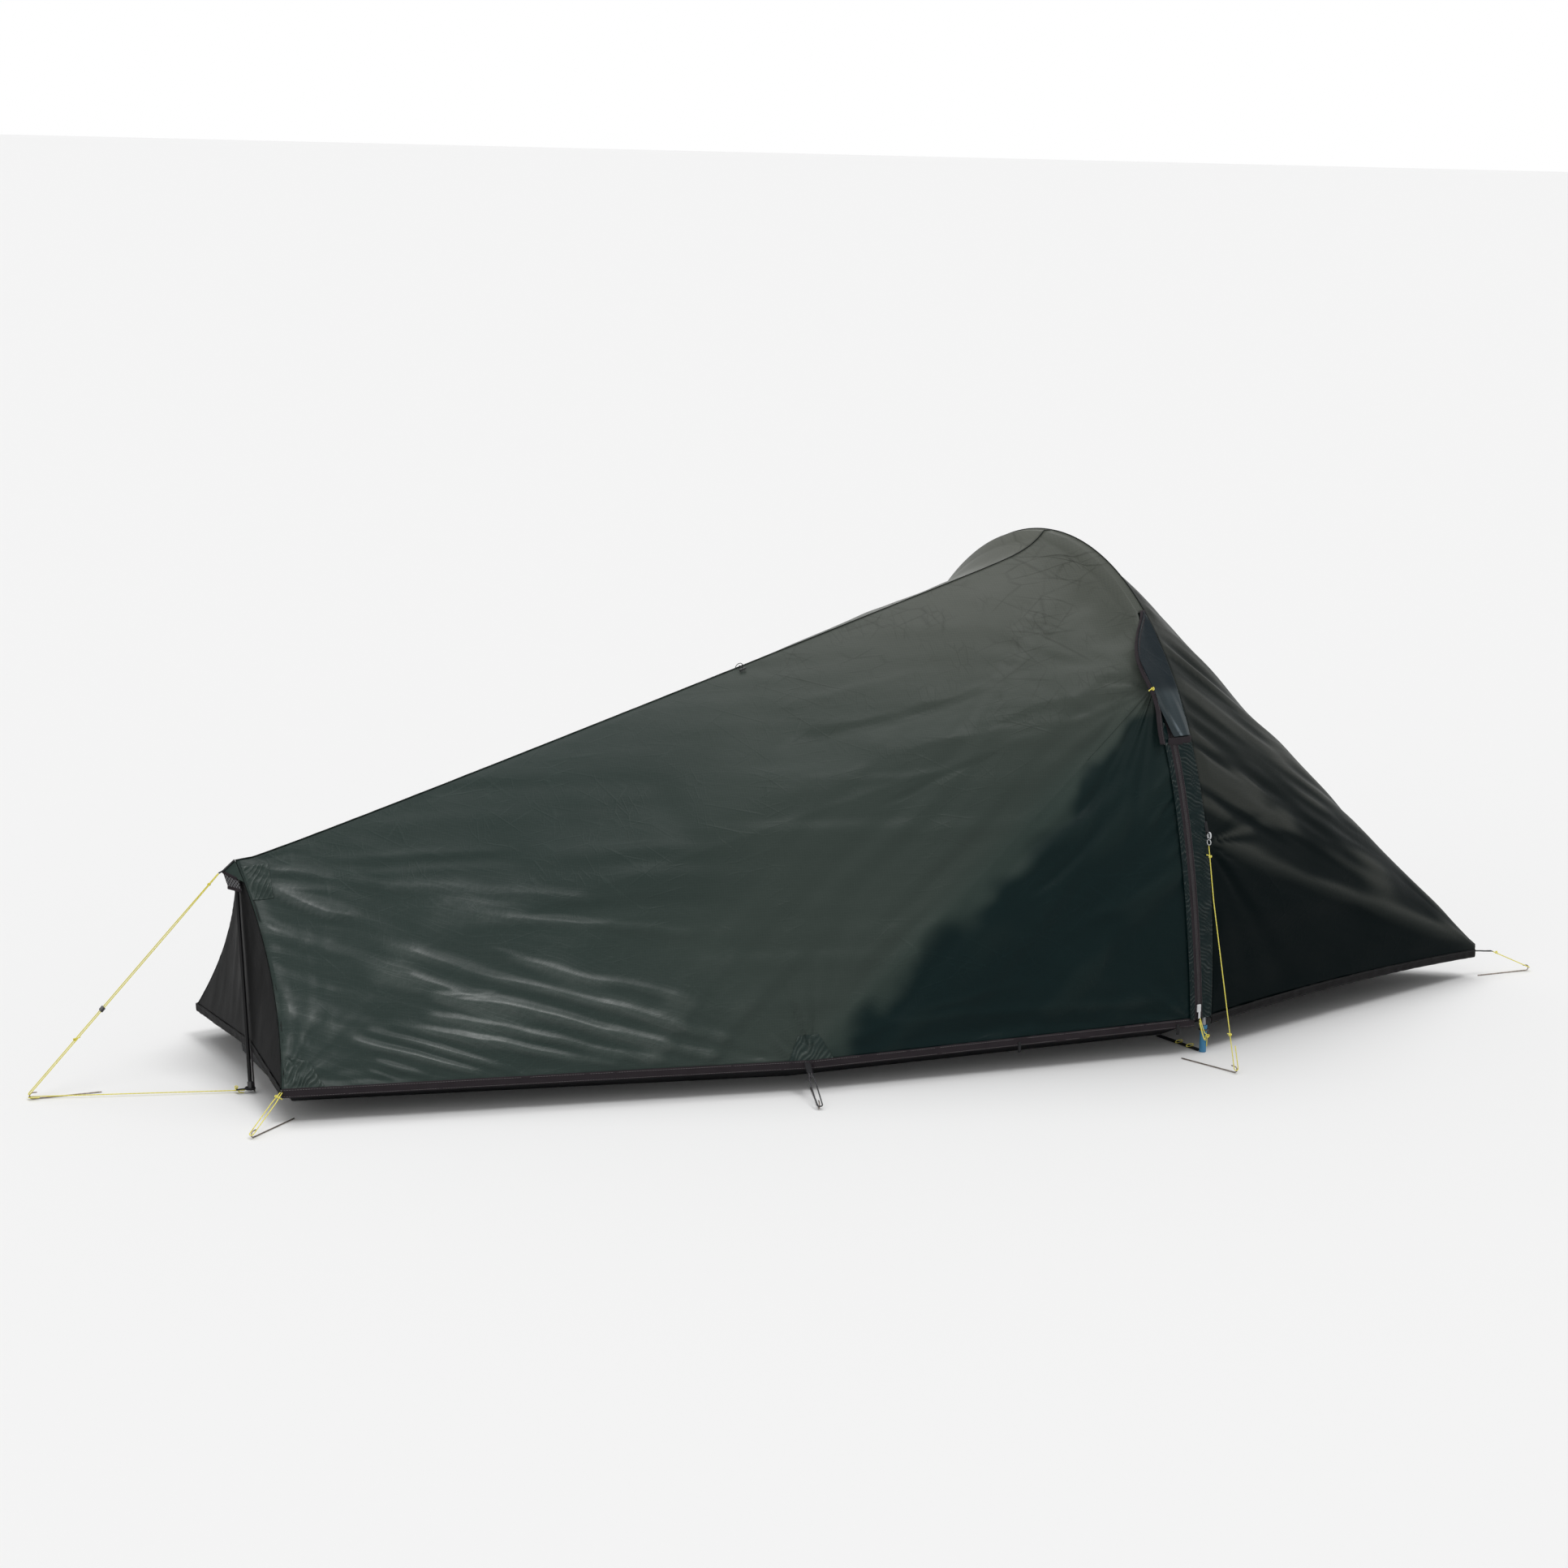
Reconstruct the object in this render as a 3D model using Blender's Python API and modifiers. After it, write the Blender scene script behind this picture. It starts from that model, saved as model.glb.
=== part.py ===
"""One-person ultralight tent: a single-hoop flysheet with a low strutted foot end and a pegged nose,
an inner tent with a tray floor, its pole, strut, zips, straps, cords and pegs.
Metres, +Z up. +X runs from the foot end to the nose, and the zipped door is on the -Y side."""
import math

import bpy
import bmesh
from mathutils import Matrix, Vector

# Flysheet, driving dimensions
FLY_LENGTH = 2.767
HOOP_TO_NOSE = 0.999
HOOP_HEIGHT = 1.000
HOOP_HALF_WIDTH = 0.548
HOOP_SIDE_POWER = 2.04
HOOP_CROWN_POWER = 2.385
HOOP_TURN = math.radians(12.1)
FOOT_HALF_WIDTH = 0.3085
FOOT_OFFSET_Y = -0.047
NOSE_OFFSET_Y = -0.232
NOSE_HEIGHT = 0.060
RIDGE_END_HEIGHT = 0.432
CORNER_HEIGHT = 0.066
HOOP_HEM_HEIGHT = 0.075
MID_HEM_HEIGHT = 0.061
MID_TO_HOOP_NEAR = 0.759
MID_TO_HOOP_FAR = 0.800
MID_HALF_WIDTH_NEAR = 0.506
MID_HALF_WIDTH_FAR = 0.470
END_EDGE_CURVE = 0.024
RIDGE_SAG = 0.030
RIDGE_SAG_POWER = 0.37
RIDGE_FALL = 0.030
SHOULDER_DIP = 0.025
NOSE_RIDGE_SAG = 0.014
NOSE_HEM_ARCH = 0.012
NOSE_TIP_CUT = 0.020
END_HEM_HEIGHT = 0.093

# Cloth, tapes and seams
CLOTH = 0.0008
TAPE = 0.0010
SEAM_GAP = 0.0006
TOUCH_GAP = 0.0003
JOIN_GAP = 0.0008
HEM_TAPE_WIDTH = 0.014
BAND_WIDTH = 0.0200

# Door, zip and vent
ZIP_TOP_DROP = 0.265
VENT_TOP_DROP = 0.133
VENT_BULGE = 0.030
ZIP_FOOT_RECESS = 0.034
ZIP_TOP_RECESS = 0.046
ZIP_MID_BOW = 0.010
ZIP_TAPE_HALF = 0.011
STRAP_BELOW_ZIP_TOP = 0.105
STRAP_WIDTH = 0.016
SLIDER_LENGTH = 0.016
SLIDER_WIDTH = 0.010
SLIDER_DEPTH = 0.004
SLIDER_ABOVE_HEM = 0.022
PULL_RING_RADIUS = 0.0055
PULL_RING_WIRE = 0.0010

# Poles
POLE_RADIUS = 0.00425
POLE_SECTIONS = 4
FERRULE_RADIUS = 0.0048
FERRULE_LENGTH = 0.040
SLEEVE_HALF_WIDTH = 0.0088
SLEEVE_HALF_DEPTH = 0.0070
SLEEVE_ABOVE_HEM = 0.006
CUP_WALL = 0.0022
CUP_HEIGHT = 0.056
CUP_FLOOR = 0.0020
BASE_STRAP_WIDTH = 0.015
BASE_STRAP_CLEAR = 0.0048
BASE_STRAP_LIFT = 0.0008
STRUT_RADIUS = 0.0040
STRUT_STRAP_WIDTH = 0.012
STRUT_FOOT_SHIFT_Y = -0.096
STRUT_TOP_DROP = 0.014
STRUT_CAP_RADIUS = 0.0056
STRUT_CAP_LENGTH = 0.014

# Inner tent
FLOOR_THICKNESS = 0.0012
TRAY_HEIGHT = 0.080
TRAY_LEAN = 0.020
FLOOR_FOOT_INSET = 0.058
FLOOR_FOOT_HALF_WIDTH = 0.175
FLOOR_MID_INSET = 0.110
FLOOR_HOOP_HALF_WIDTH = 0.403
FLOOR_HEAD_TO_HOOP = 0.440
FLOOR_HEAD_NEAR_Y = -0.335
FLOOR_HEAD_FAR_Y = 0.085
INNER_RIDGE_DROP = 0.055
INNER_HEAD_HEIGHT = 0.500
INNER_FOOT_HEIGHT = 0.340
INNER_DOOR_START = 0.560
INNER_DOOR_END = 0.930
INNER_DOOR_TOP = 0.840
INNER_DOOR_FOOT = 0.040
INNER_DOOR_GAP = 0.0009
HANGER_RADIUS = 0.0020
HANGER_SLOPE = 1.3
INNER_FOOT_SETBACK = 0.075
INNER_HEAD_TO_HOOP = 0.400
INNER_HEAD_Y = -0.125
INNER_SLIDER_SETBACK = 0.030

# Cords and pegs
CORD_RADIUS = 0.0010
ELASTIC_RADIUS = 0.0013
PEG_RADIUS = 0.00125
PEG_LENGTH = 0.130
PEG_HOOK_RADIUS = 0.0060
PEG_HOOK_TAIL = 0.008
FOOT_PEG_REACH = 0.393
CORNER_PEG_REACH = 0.0685
CORNER_PEG_ASIDE = 0.0565
MID_PEG_REACH = 0.102
MID_PEG_ASIDE = 0.0325
GUY_PEG_REACH = 0.144
GUY_PEG_ASIDE = 0.0294
NOSE_PEG_REACH = 0.1285
CLIP_DROP = 0.570
LINK_WIDTH = 0.008
LOOP_RADIUS = 0.0008
TOGGLE_RADIUS = 0.0022
TOGGLE_LENGTH = 0.014
STRAND_SPREAD = 0.0020
CORD_TURN = 0.0042
ELASTIC_TURN = 0.0054
STRUT_CORD_LEVEL = 0.0042
LOCK_SIZE = (0.0050, 0.0150, 0.0100)
LOCK_CLEARANCE = 0.0004
MID_TAB_WIDTH = 0.012
MID_TAB_LENGTH = 0.030
NOSE_WEBBING_WIDTH = 0.010
NOSE_WEBBING_REACH = 0.032

NEAR = -1
FAR = 1
UP = Vector((0, 0, 1))
HALF_TURN = math.pi
ZIP_TOP_HEIGHT = HOOP_HEIGHT - ZIP_TOP_DROP
VENT_TOP_HEIGHT = HOOP_HEIGHT - VENT_TOP_DROP
STRAP_HEIGHT = ZIP_TOP_HEIGHT - STRAP_BELOW_ZIP_TOP
SLIDER_FOOT_HEIGHT = HOOP_HEM_HEIGHT + SLIDER_ABOVE_HEM
SLEEVE_FOOT_HEIGHT = HOOP_HEM_HEIGHT + SLEEVE_ABOVE_HEM
CLIP_HEIGHT = HOOP_HEIGHT - CLIP_DROP

FOOT_X = -FLY_LENGTH / 2
NOSE_X = FLY_LENGTH / 2
HOOP_X = NOSE_X - HOOP_TO_NOSE
HOOP_AHEAD = Vector((math.cos(HOOP_TURN), math.sin(HOOP_TURN), 0))
HOOP_ACROSS = Vector((-math.sin(HOOP_TURN), math.cos(HOOP_TURN), 0))
HOOP_FOOT_CENTRE = Vector((HOOP_X, 0, 0))
NOSE = Vector((NOSE_X, NOSE_OFFSET_Y, NOSE_HEIGHT))
RIDGE_END = Vector((FOOT_X, FOOT_OFFSET_Y, RIDGE_END_HEIGHT))
CORNERS = {side: Vector((FOOT_X, FOOT_OFFSET_Y + side * FOOT_HALF_WIDTH, CORNER_HEIGHT)) for side in (NEAR, FAR)}
MID_POINTS = {
    NEAR: Vector((HOOP_X - MID_TO_HOOP_NEAR, -MID_HALF_WIDTH_NEAR, MID_HEM_HEIGHT)),
    FAR: Vector((HOOP_X - MID_TO_HOOP_FAR, MID_HALF_WIDTH_FAR, MID_HEM_HEIGHT)),
}
POLE_INSET = CLOTH + 2 * TOUCH_GAP + SLEEVE_HALF_DEPTH
POLE_AHEAD = -BAND_WIDTH / 2

for scene_object in list(bpy.data.objects):
    bpy.data.objects.remove(scene_object, do_unlink=True)
TENT = bpy.data.collections.new("ultralight_tent")
bpy.context.scene.collection.children.link(TENT)


def material(name, colour, roughness, metallic=0.0):
    """A plain Principled finish."""
    finish = bpy.data.materials.new(name)
    finish.use_nodes = True
    shader = finish.node_tree.nodes["Principled BSDF"]
    shader.inputs["Base Color"].default_value = (*colour, 1)
    shader.inputs["Roughness"].default_value = roughness
    shader.inputs["Metallic"].default_value = metallic
    return finish


FLY_CLOTH = material("fly_cloth", (0.055, 0.085, 0.075), 0.35)
END_CLOTH = material("end_cloth", (0.035, 0.036, 0.038), 0.55)
MESH_CLOTH = material("vent_mesh", (0.020, 0.020, 0.022), 0.80)
TAPE_CLOTH = material("binding_tape", (0.075, 0.058, 0.065), 0.70)
INNER_CLOTH = material("inner_cloth", (0.300, 0.310, 0.300), 0.60)
FLOOR_CLOTH = material("floor_cloth", (0.030, 0.032, 0.035), 0.45)
WEBBING = material("black_webbing", (0.015, 0.015, 0.016), 0.75)
BLUE_WEBBING = material("blue_webbing", (0.050, 0.230, 0.420), 0.65)
POLE_METAL = material("pole_alloy", (0.250, 0.260, 0.270), 0.30, 1.0)
CARBON = material("carbon_strut", (0.012, 0.012, 0.013), 0.30)
PLASTIC = material("black_plastic", (0.018, 0.018, 0.020), 0.45)
PALE_PLASTIC = material("pale_plastic", (0.620, 0.630, 0.640), 0.40)
ZIP_METAL = material("zip_metal", (0.300, 0.300, 0.310), 0.35, 1.0)
CORD = material("yellow_cord", (0.620, 0.600, 0.090), 0.75)
ELASTIC = material("grey_elastic", (0.070, 0.070, 0.075), 0.80)
PEG_METAL = material("peg_titanium", (0.240, 0.210, 0.180), 0.40, 1.0)


def lerp(start, end, share):
    return start + (end - start) * share


def step_values(start, end, steps):
    return [start + (end - start) * index / steps for index in range(steps + 1)]


def place(name, mesh, finish):
    """Put a finished mesh in the tent's collection as one named piece."""
    mesh.materials.clear()
    mesh.materials.append(finish)
    piece = bpy.data.objects.new(name, mesh)
    TENT.objects.link(piece)
    return piece


def grid_mesh(name, *grids):
    """An open surface through one or more grids of points that share edges; points that meet are merged."""
    shape = bmesh.new()
    for grid in grids:
        lattice = [[shape.verts.new(point) for point in row] for row in grid]
        for low, high in zip(lattice, lattice[1:]):
            for index in range(len(low) - 1):
                shape.faces.new((low[index], low[index + 1], high[index + 1], high[index]))
    bmesh.ops.remove_doubles(shape, verts=shape.verts, dist=0.00005)
    bmesh.ops.recalc_face_normals(shape, faces=shape.faces)
    mesh = bpy.data.meshes.new(name)
    shape.to_mesh(mesh)
    shape.free()
    return mesh


def thicken(piece, thickness, side):
    """Solidify an open surface: side -1 grows it towards the back of its faces, 0 both ways."""
    wall = piece.modifiers.new("wall", "SOLIDIFY")
    wall.thickness = thickness
    wall.offset = side
    wall.use_even_offset = False
    return piece


def face_towards(mesh, centre):
    """Turn the surface so that its faces look away from an inside point."""
    shape = bmesh.new()
    shape.from_mesh(mesh)
    outward = sum((face.normal.dot(face.calc_center_median() - centre) * face.calc_area() for face in shape.faces))
    if outward < 0:
        bmesh.ops.reverse_faces(shape, faces=shape.faces)
    shape.to_mesh(mesh)
    shape.free()


def cloth(name, rows, finish=FLY_CLOTH, thickness=CLOTH, inside=None, more_grids=()):
    """A panel of cloth through rows of points, with its thickness inside the surface."""
    mesh = grid_mesh(name, rows, *more_grids)
    face_towards(mesh, inside or Vector((HOOP_X - 0.2, 0, 0.15)))
    return thicken(place(name, mesh, finish), thickness, -1)


def strip(name, path, wide, finish, thickness=TAPE):
    """A flat tape along a path; wide gives the vector from its first to its second edge."""
    edges = [[point, point + wide(point) if callable(wide) else point + wide] for point in path]
    return thicken(place(name, grid_mesh(name, edges), finish), thickness, 0)


def tube(name, points, radius, finish, sides=2, radii=None):
    """A round bar or cord along points: a POLY curve with a bevel and filled caps."""
    curve = bpy.data.curves.new(name, "CURVE")
    curve.dimensions = "3D"
    curve.bevel_depth = radius
    curve.bevel_resolution = sides
    curve.use_fill_caps = True
    spline = curve.splines.new("POLY")
    spline.points.add(len(points) - 1)
    for slot, point, size in zip(spline.points, points, radii or [radius] * len(points)):
        slot.co = (*point, 1)
        slot.radius = size / radius
    curve.materials.append(finish)
    piece = bpy.data.objects.new(name, curve)
    TENT.objects.link(piece)
    return piece


def smooth(points, steps):
    """Points read from a smooth curve through hand-chosen ones."""
    ends = [points[0] * 2 - points[1]] + list(points) + [points[-1] * 2 - points[-2]]
    out = []
    for before, start, end, after in zip(ends, ends[1:], ends[2:], ends[3:]):
        for index in range(steps):
            t = index / steps
            out.append(0.5 * (2 * start + (end - before) * t + (2 * before - 5 * start + 4 * end - after) * t ** 2
                              + (3 * start - before - 3 * end + after) * t ** 3))
    return out + [points[-1]]


def block(name, size, turn, centre, finish, round_edge=0.0):
    """A box with its own directions, the edges rounded a little."""
    shape = bmesh.new()
    bmesh.ops.create_cube(shape, size=1.0)
    bmesh.ops.scale(shape, vec=size, verts=shape.verts)
    mesh = bpy.data.meshes.new(name)
    shape.to_mesh(mesh)
    shape.free()
    piece = place(name, mesh, finish)
    piece.matrix_world = Matrix.Translation(centre) @ turn.to_4x4()
    if round_edge:
        edge = piece.modifiers.new("round", "BEVEL")
        edge.width = round_edge
        edge.segments = 1
    return piece


def frame_from(along, outward):
    """A rotation whose X is outward, Y across and Z along."""
    z_axis = along.normalized()
    x_axis = (outward - z_axis * outward.dot(z_axis)).normalized()
    y_axis = z_axis.cross(x_axis)
    return Matrix((x_axis, y_axis, z_axis)).transposed()


def turned(name, profile, location, finish, steps=16, axis=UP):
    """A turned piece: its half profile, top to bottom on the outside, under a Screw modifier."""
    mesh = bpy.data.meshes.new(name)
    mesh.from_pydata([(radius, 0, height) for radius, height in profile], [(i, i + 1) for i in range(len(profile) - 1)], [])
    piece = place(name, mesh, finish)
    screw = piece.modifiers.new("turn", "SCREW")
    screw.steps = steps
    screw.render_steps = steps
    screw.use_merge_vertices = True
    screw.merge_threshold = 0.00005
    piece.matrix_world = Matrix.Translation(location) @ UP.rotation_difference(axis).to_matrix().to_4x4()
    return piece


def hoop_point(side, angle, inset=0.0, ahead=0.0):
    """A point on the hoop's outer line, from angle 0 at that side's foot to 90 degrees at the crown."""
    across = (HOOP_HALF_WIDTH - inset) * abs(math.cos(angle)) ** (2 / HOOP_SIDE_POWER)
    height = (HOOP_HEIGHT - inset) * abs(math.sin(angle)) ** (2 / HOOP_CROWN_POWER)
    return HOOP_FOOT_CENTRE + HOOP_AHEAD * ahead + HOOP_ACROSS * side * across + UP * height


def hoop_angle(height, inset=0.0):
    return math.asin(min(1.0, height / (HOOP_HEIGHT - inset)) ** (HOOP_CROWN_POWER / 2))


def hoop_at(side, height, inset=0.0, ahead=0.0):
    return hoop_point(side, hoop_angle(height, inset), inset, ahead)


def hoop_run(inset, ahead, near_height, far_height, steps):
    """Points over the whole hoop from the near side to the far side."""
    near_angle = hoop_angle(near_height, inset)
    far_angle = HALF_TURN - hoop_angle(far_height, inset)
    out = []
    for angle in step_values(near_angle, far_angle, steps):
        side = NEAR if angle <= HALF_TURN / 2 else FAR
        out.append(hoop_point(side, angle if side == NEAR else HALF_TURN - angle, inset, ahead))
    return out


def zip_recess(height):
    """How far the zip's centre line lies behind the front seam."""
    share = (height - HOOP_HEM_HEIGHT) / (ZIP_TOP_HEIGHT - HOOP_HEM_HEIGHT)
    return lerp(ZIP_FOOT_RECESS, ZIP_TOP_RECESS, share) + ZIP_MID_BOW * math.sin(math.pi * min(max(share, 0), 1))


def vent_recess(height):
    """How far the vent's rear edge lies behind the front seam."""
    share = (height - ZIP_TOP_HEIGHT) / (VENT_TOP_HEIGHT - ZIP_TOP_HEIGHT)
    straight = lerp(ZIP_TOP_RECESS + ZIP_TAPE_HALF, BAND_WIDTH, share)
    return straight + VENT_BULGE * math.sin(math.pi * share) ** 2 * (1 - share / 2)


def zip_point(height, behind):
    """A point beside the zip's centre line, behind it towards the foot end."""
    return hoop_at(NEAR, height, 0, -zip_recess(height) - behind)


FOLD_TOP = zip_point(ZIP_TOP_HEIGHT, ZIP_TAPE_HALF)
FAR_FOLD_TOP = hoop_at(FAR, ZIP_TOP_HEIGHT, 0, -BAND_WIDTH)
VENT_HEIGHTS = step_values(ZIP_TOP_HEIGHT, VENT_TOP_HEIGHT, 5)
FOLD_STEPS = 7
CROWN_STEPS = 6


def end_edge(side, share):
    """The sewn edge of the foot end, from its corner up to the ridge's end."""
    curve = Vector((END_EDGE_CURVE, 0, 0)) * 4 * share * (1 - share)
    return lerp(CORNERS[side], RIDGE_END, share) + curve


def front_edge(side):
    """The line on which a side panel ends: up the fold, then over the crown."""
    fold_top = FOLD_TOP if side == NEAR else FAR_FOLD_TOP
    line = [lerp(MID_POINTS[side], fold_top, share) for share in step_values(0, 1, FOLD_STEPS)]
    if side == NEAR:
        line += [hoop_at(NEAR, height, 0, -vent_recess(height)) for height in VENT_HEIGHTS[1:]]
        first_angle = hoop_angle(VENT_TOP_HEIGHT)
    else:
        first_angle = hoop_angle(ZIP_TOP_HEIGHT)
    angles = step_values(first_angle, HALF_TURN / 2, CROWN_STEPS)[1:]
    return line + [hoop_point(side, angle, 0, -BAND_WIDTH) for angle in angles]


def ridge_sag(part, reach):
    """How far the ridge hangs below the straight line from the strut's top to the crown."""
    return RIDGE_SAG * part ** RIDGE_SAG_POWER * min(1, part * reach / RIDGE_FALL, (1 - part) * reach / RIDGE_FALL)


def shoulder_dip(part, reach, share):
    """How far a panel is drawn in between its ridge and the hoop's shoulder, most at four fifths of its height."""
    return SHOULDER_DIP * 12.2 * share ** 4 * (1 - share) * part ** 2 * min(1, (1 - part) * reach / RIDGE_FALL)


def side_panel_rows(side, columns=10, start_gap=SEAM_GAP):
    """Rows from the hem to the ridge, each running from the foot end to the front edge."""
    front = front_edge(side)
    rows = []
    ridge_gap = Vector((0, side * SEAM_GAP, 0))
    for index, target in enumerate(front):
        share = index / (len(front) - 1)
        source = end_edge(side, share)
        reach = (target - source).length
        row = []
        parts = step_values(start_gap / reach, 1 - SEAM_GAP / reach, columns)
        parts.insert(-1, 1 - RIDGE_FALL / reach)
        for part in parts:
            row.append(lerp(source, target, part) - UP * (ridge_sag(part, reach) * share + shoulder_dip(part, reach, share)))
        rows.append(row)
    rows[-1] = [point + ridge_gap for point in rows[-1]]
    return rows


def triangle_rows(fold_low, fold_high, hoop_line, columns=6):
    """Rows of a triangular panel between its fold line and a line on the hoop."""
    rows = []
    for index, target in enumerate(hoop_line):
        share = index / (len(hoop_line) - 1)
        source = lerp(fold_low, fold_high, share)
        rows.append([lerp(source, target, part) for part in step_values(0, 1, columns)])
    return rows


# Flysheet: side panels, door and bands

near_rows = side_panel_rows(NEAR)
cloth("fly_near_panel", near_rows)

door_heights = step_values(HOOP_HEM_HEIGHT, ZIP_TOP_HEIGHT, 9)
door_front = [zip_point(height, ZIP_TAPE_HALF + JOIN_GAP) for height in door_heights]
fold_along = (FOLD_TOP - MID_POINTS[NEAR]).normalized()
fold_ahead = (door_front[0] - MID_POINTS[NEAR] - fold_along * (door_front[0] - MID_POINTS[NEAR]).dot(fold_along)).normalized()
FOLD_GAP = fold_ahead * 2 * SEAM_GAP
door_fold_low = MID_POINTS[NEAR] + FOLD_GAP
door_fold_high = lerp(FOLD_TOP, MID_POINTS[NEAR], 0.02) + FOLD_GAP
door_rows = triangle_rows(door_fold_low, door_fold_high, door_front[:-1] + [zip_point(ZIP_TOP_HEIGHT - 0.012, ZIP_TAPE_HALF + JOIN_GAP)])
cloth("fly_door", door_rows)

far_low_heights = step_values(HOOP_HEM_HEIGHT, ZIP_TOP_HEIGHT, FOLD_STEPS)
far_low_line = [hoop_at(FAR, height, 0, -BAND_WIDTH - SEAM_GAP) for height in far_low_heights]
far_rows = side_panel_rows(FAR)
far_low_rows = []
for far_row, front_point in zip(far_rows, far_low_line):
    far_low_rows.append([lerp(far_row[-1], front_point, share) for share in step_values(0, 1, 5)])
cloth("fly_far_panel", far_rows, more_grids=(far_low_rows,))

band_steps = 26
crown_line_back = hoop_run(0, -BAND_WIDTH + SEAM_GAP, VENT_TOP_HEIGHT + SEAM_GAP, HOOP_HEM_HEIGHT, band_steps)
crown_line_front = hoop_run(0, -SEAM_GAP, VENT_TOP_HEIGHT + SEAM_GAP, HOOP_HEM_HEIGHT, band_steps)
cloth("crown_band", [crown_line_back, crown_line_front])

band_heights = step_values(HOOP_HEM_HEIGHT, ZIP_TOP_HEIGHT, 10)
zip_band_rows = [[hoop_at(NEAR, height, 0, -zip_recess(height) + ZIP_TAPE_HALF + JOIN_GAP),
                  hoop_at(NEAR, height, 0, -SEAM_GAP)] for height in band_heights]
cloth("zip_band", zip_band_rows)

gusset_heights = [ZIP_TOP_HEIGHT + SEAM_GAP] + VENT_HEIGHTS[1:-1] + [VENT_TOP_HEIGHT - SEAM_GAP]
gusset_rows = [[hoop_at(NEAR, height, 0, -vent_recess(height) + 2 * SEAM_GAP),
                hoop_at(NEAR, height, 0, -SEAM_GAP)] for height in gusset_heights]
cloth("vent_gusset", gusset_rows, MESH_CLOTH)


def zip_tape(name, inner, outer):
    """Half of the zip, beside the centre line."""
    rows = [[zip_point(height, inner), zip_point(height, outer)] for height in step_values(HOOP_HEM_HEIGHT, ZIP_TOP_HEIGHT - 0.014, 12)]
    return cloth(name, rows, TAPE_CLOTH, TAPE)


zip_tape("zip_tape_door", TOUCH_GAP, ZIP_TAPE_HALF)
zip_tape("zip_tape_hoop", -ZIP_TAPE_HALF, -TOUCH_GAP)

# Nose


def nose_sag(part):
    """How far the nose's ridge hangs below the straight line from the crown to the tip."""
    return NOSE_RIDGE_SAG * 4 * part * (1 - part)


def nose_rows(side, columns=8):
    """Rows from the hem to the crown, each running from the front seam to the nose."""
    rows = []
    steps = 12
    low = hoop_angle(HOOP_HEM_HEIGHT)
    for index, angle in enumerate(step_values(low, HALF_TURN / 2, steps)):
        source = hoop_point(side, angle, 0, SEAM_GAP)
        reach = (NOSE - source).length
        row = []
        for part in step_values(0, 1 - NOSE_TIP_CUT / reach, columns):
            arch = UP * NOSE_HEM_ARCH * 4 * part * (1 - part) * (1 - index / steps) ** 3
            sag = UP * nose_sag(part) * (index / steps) ** 2
            row.append(lerp(source, NOSE, part) + arch - sag)
        rows.append(row)
    seam = (NOSE - hoop_point(side, HALF_TURN / 2)).cross(UP).normalized() * -side * SEAM_GAP
    rows[-1] = [point + seam for point in rows[-1]]
    return rows


NOSE_INSIDE = Vector((HOOP_X + 0.2, -0.05, 0.1))
nose_near = nose_rows(NEAR)
nose_far = nose_rows(FAR)
cloth("nose_near_panel", nose_near, inside=NOSE_INSIDE)
cloth("nose_far_panel", nose_far, inside=NOSE_INSIDE)

# Foot end: the strut, its panel, the hood and the vent

STRUT_TOP = RIDGE_END - UP * STRUT_TOP_DROP
STRUT_FOOT = Vector((FOOT_X, FOOT_OFFSET_Y + STRUT_FOOT_SHIFT_Y, STRUT_CAP_LENGTH * 0.2))
STRUT_AXIS = (STRUT_TOP - STRUT_FOOT).normalized()
PANEL_BEHIND_STRUT = Vector((STRUT_CAP_RADIUS + 2 * TOUCH_GAP + CLOTH, 0, 0))


def strut_line(height):
    share = (height - STRUT_FOOT.z) / (STRUT_TOP.z - STRUT_FOOT.z)
    return lerp(STRUT_FOOT, STRUT_TOP, share)


END_TOP_SHARE = 0.90
end_rows = []
for share in step_values(0, END_TOP_SHARE, 8):
    near_edge = end_edge(NEAR, share)
    far_edge = end_edge(FAR, share)
    centre_height = lerp(END_HEM_HEIGHT, RIDGE_END_HEIGHT, share)
    centre = strut_line(centre_height) + PANEL_BEHIND_STRUT
    near_in = lerp(near_edge, centre, 3 * SEAM_GAP / (centre - near_edge).length)
    far_in = lerp(far_edge, centre, 3 * SEAM_GAP / (centre - far_edge).length)
    end_rows.append([near_in, lerp(near_in, centre, 0.5), centre, lerp(centre, far_in, 0.5), far_in])
cloth("foot_end_panel", end_rows, END_CLOTH, inside=Vector((0, 0, 0.2)))

HOOD_REACH = 0.024
HOOD_SHARE = 0.90
hood_tip = RIDGE_END + Vector((-HOOD_REACH, 0, -0.020))
hood_back = [end_edge(NEAR, HOOD_SHARE), RIDGE_END, end_edge(FAR, HOOD_SHARE)]
hood_back = [point - Vector((TOUCH_GAP, 0, 0)) for point in hood_back]
hood_front = [lerp(hood_back[0], hood_tip, 0.30), hood_tip, lerp(hood_back[2], hood_tip, 0.30)]
cloth("foot_hood", [hood_back, hood_front], FLY_CLOTH, inside=Vector((FOOT_X, FOOT_OFFSET_Y, 0.36)))
VENT_DROP = 0.030
vent_top = [point - UP * (CLOTH + 3 * TOUCH_GAP) for point in hood_front]
vent_low = [lerp(vent_top[0], hood_back[0], 0.6) - UP * VENT_DROP * 0.6, vent_top[1] + Vector((0.010, 0, -VENT_DROP)),
            lerp(vent_top[2], hood_back[2], 0.6) - UP * VENT_DROP * 0.6]
cloth("foot_vent_mesh", [vent_top, vent_low], MESH_CLOTH, inside=Vector((0, FOOT_OFFSET_Y, 0.40)))

tube("foot_strut", [STRUT_FOOT + STRUT_AXIS * 0.004, STRUT_TOP], STRUT_RADIUS, CARBON, 4)


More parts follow.
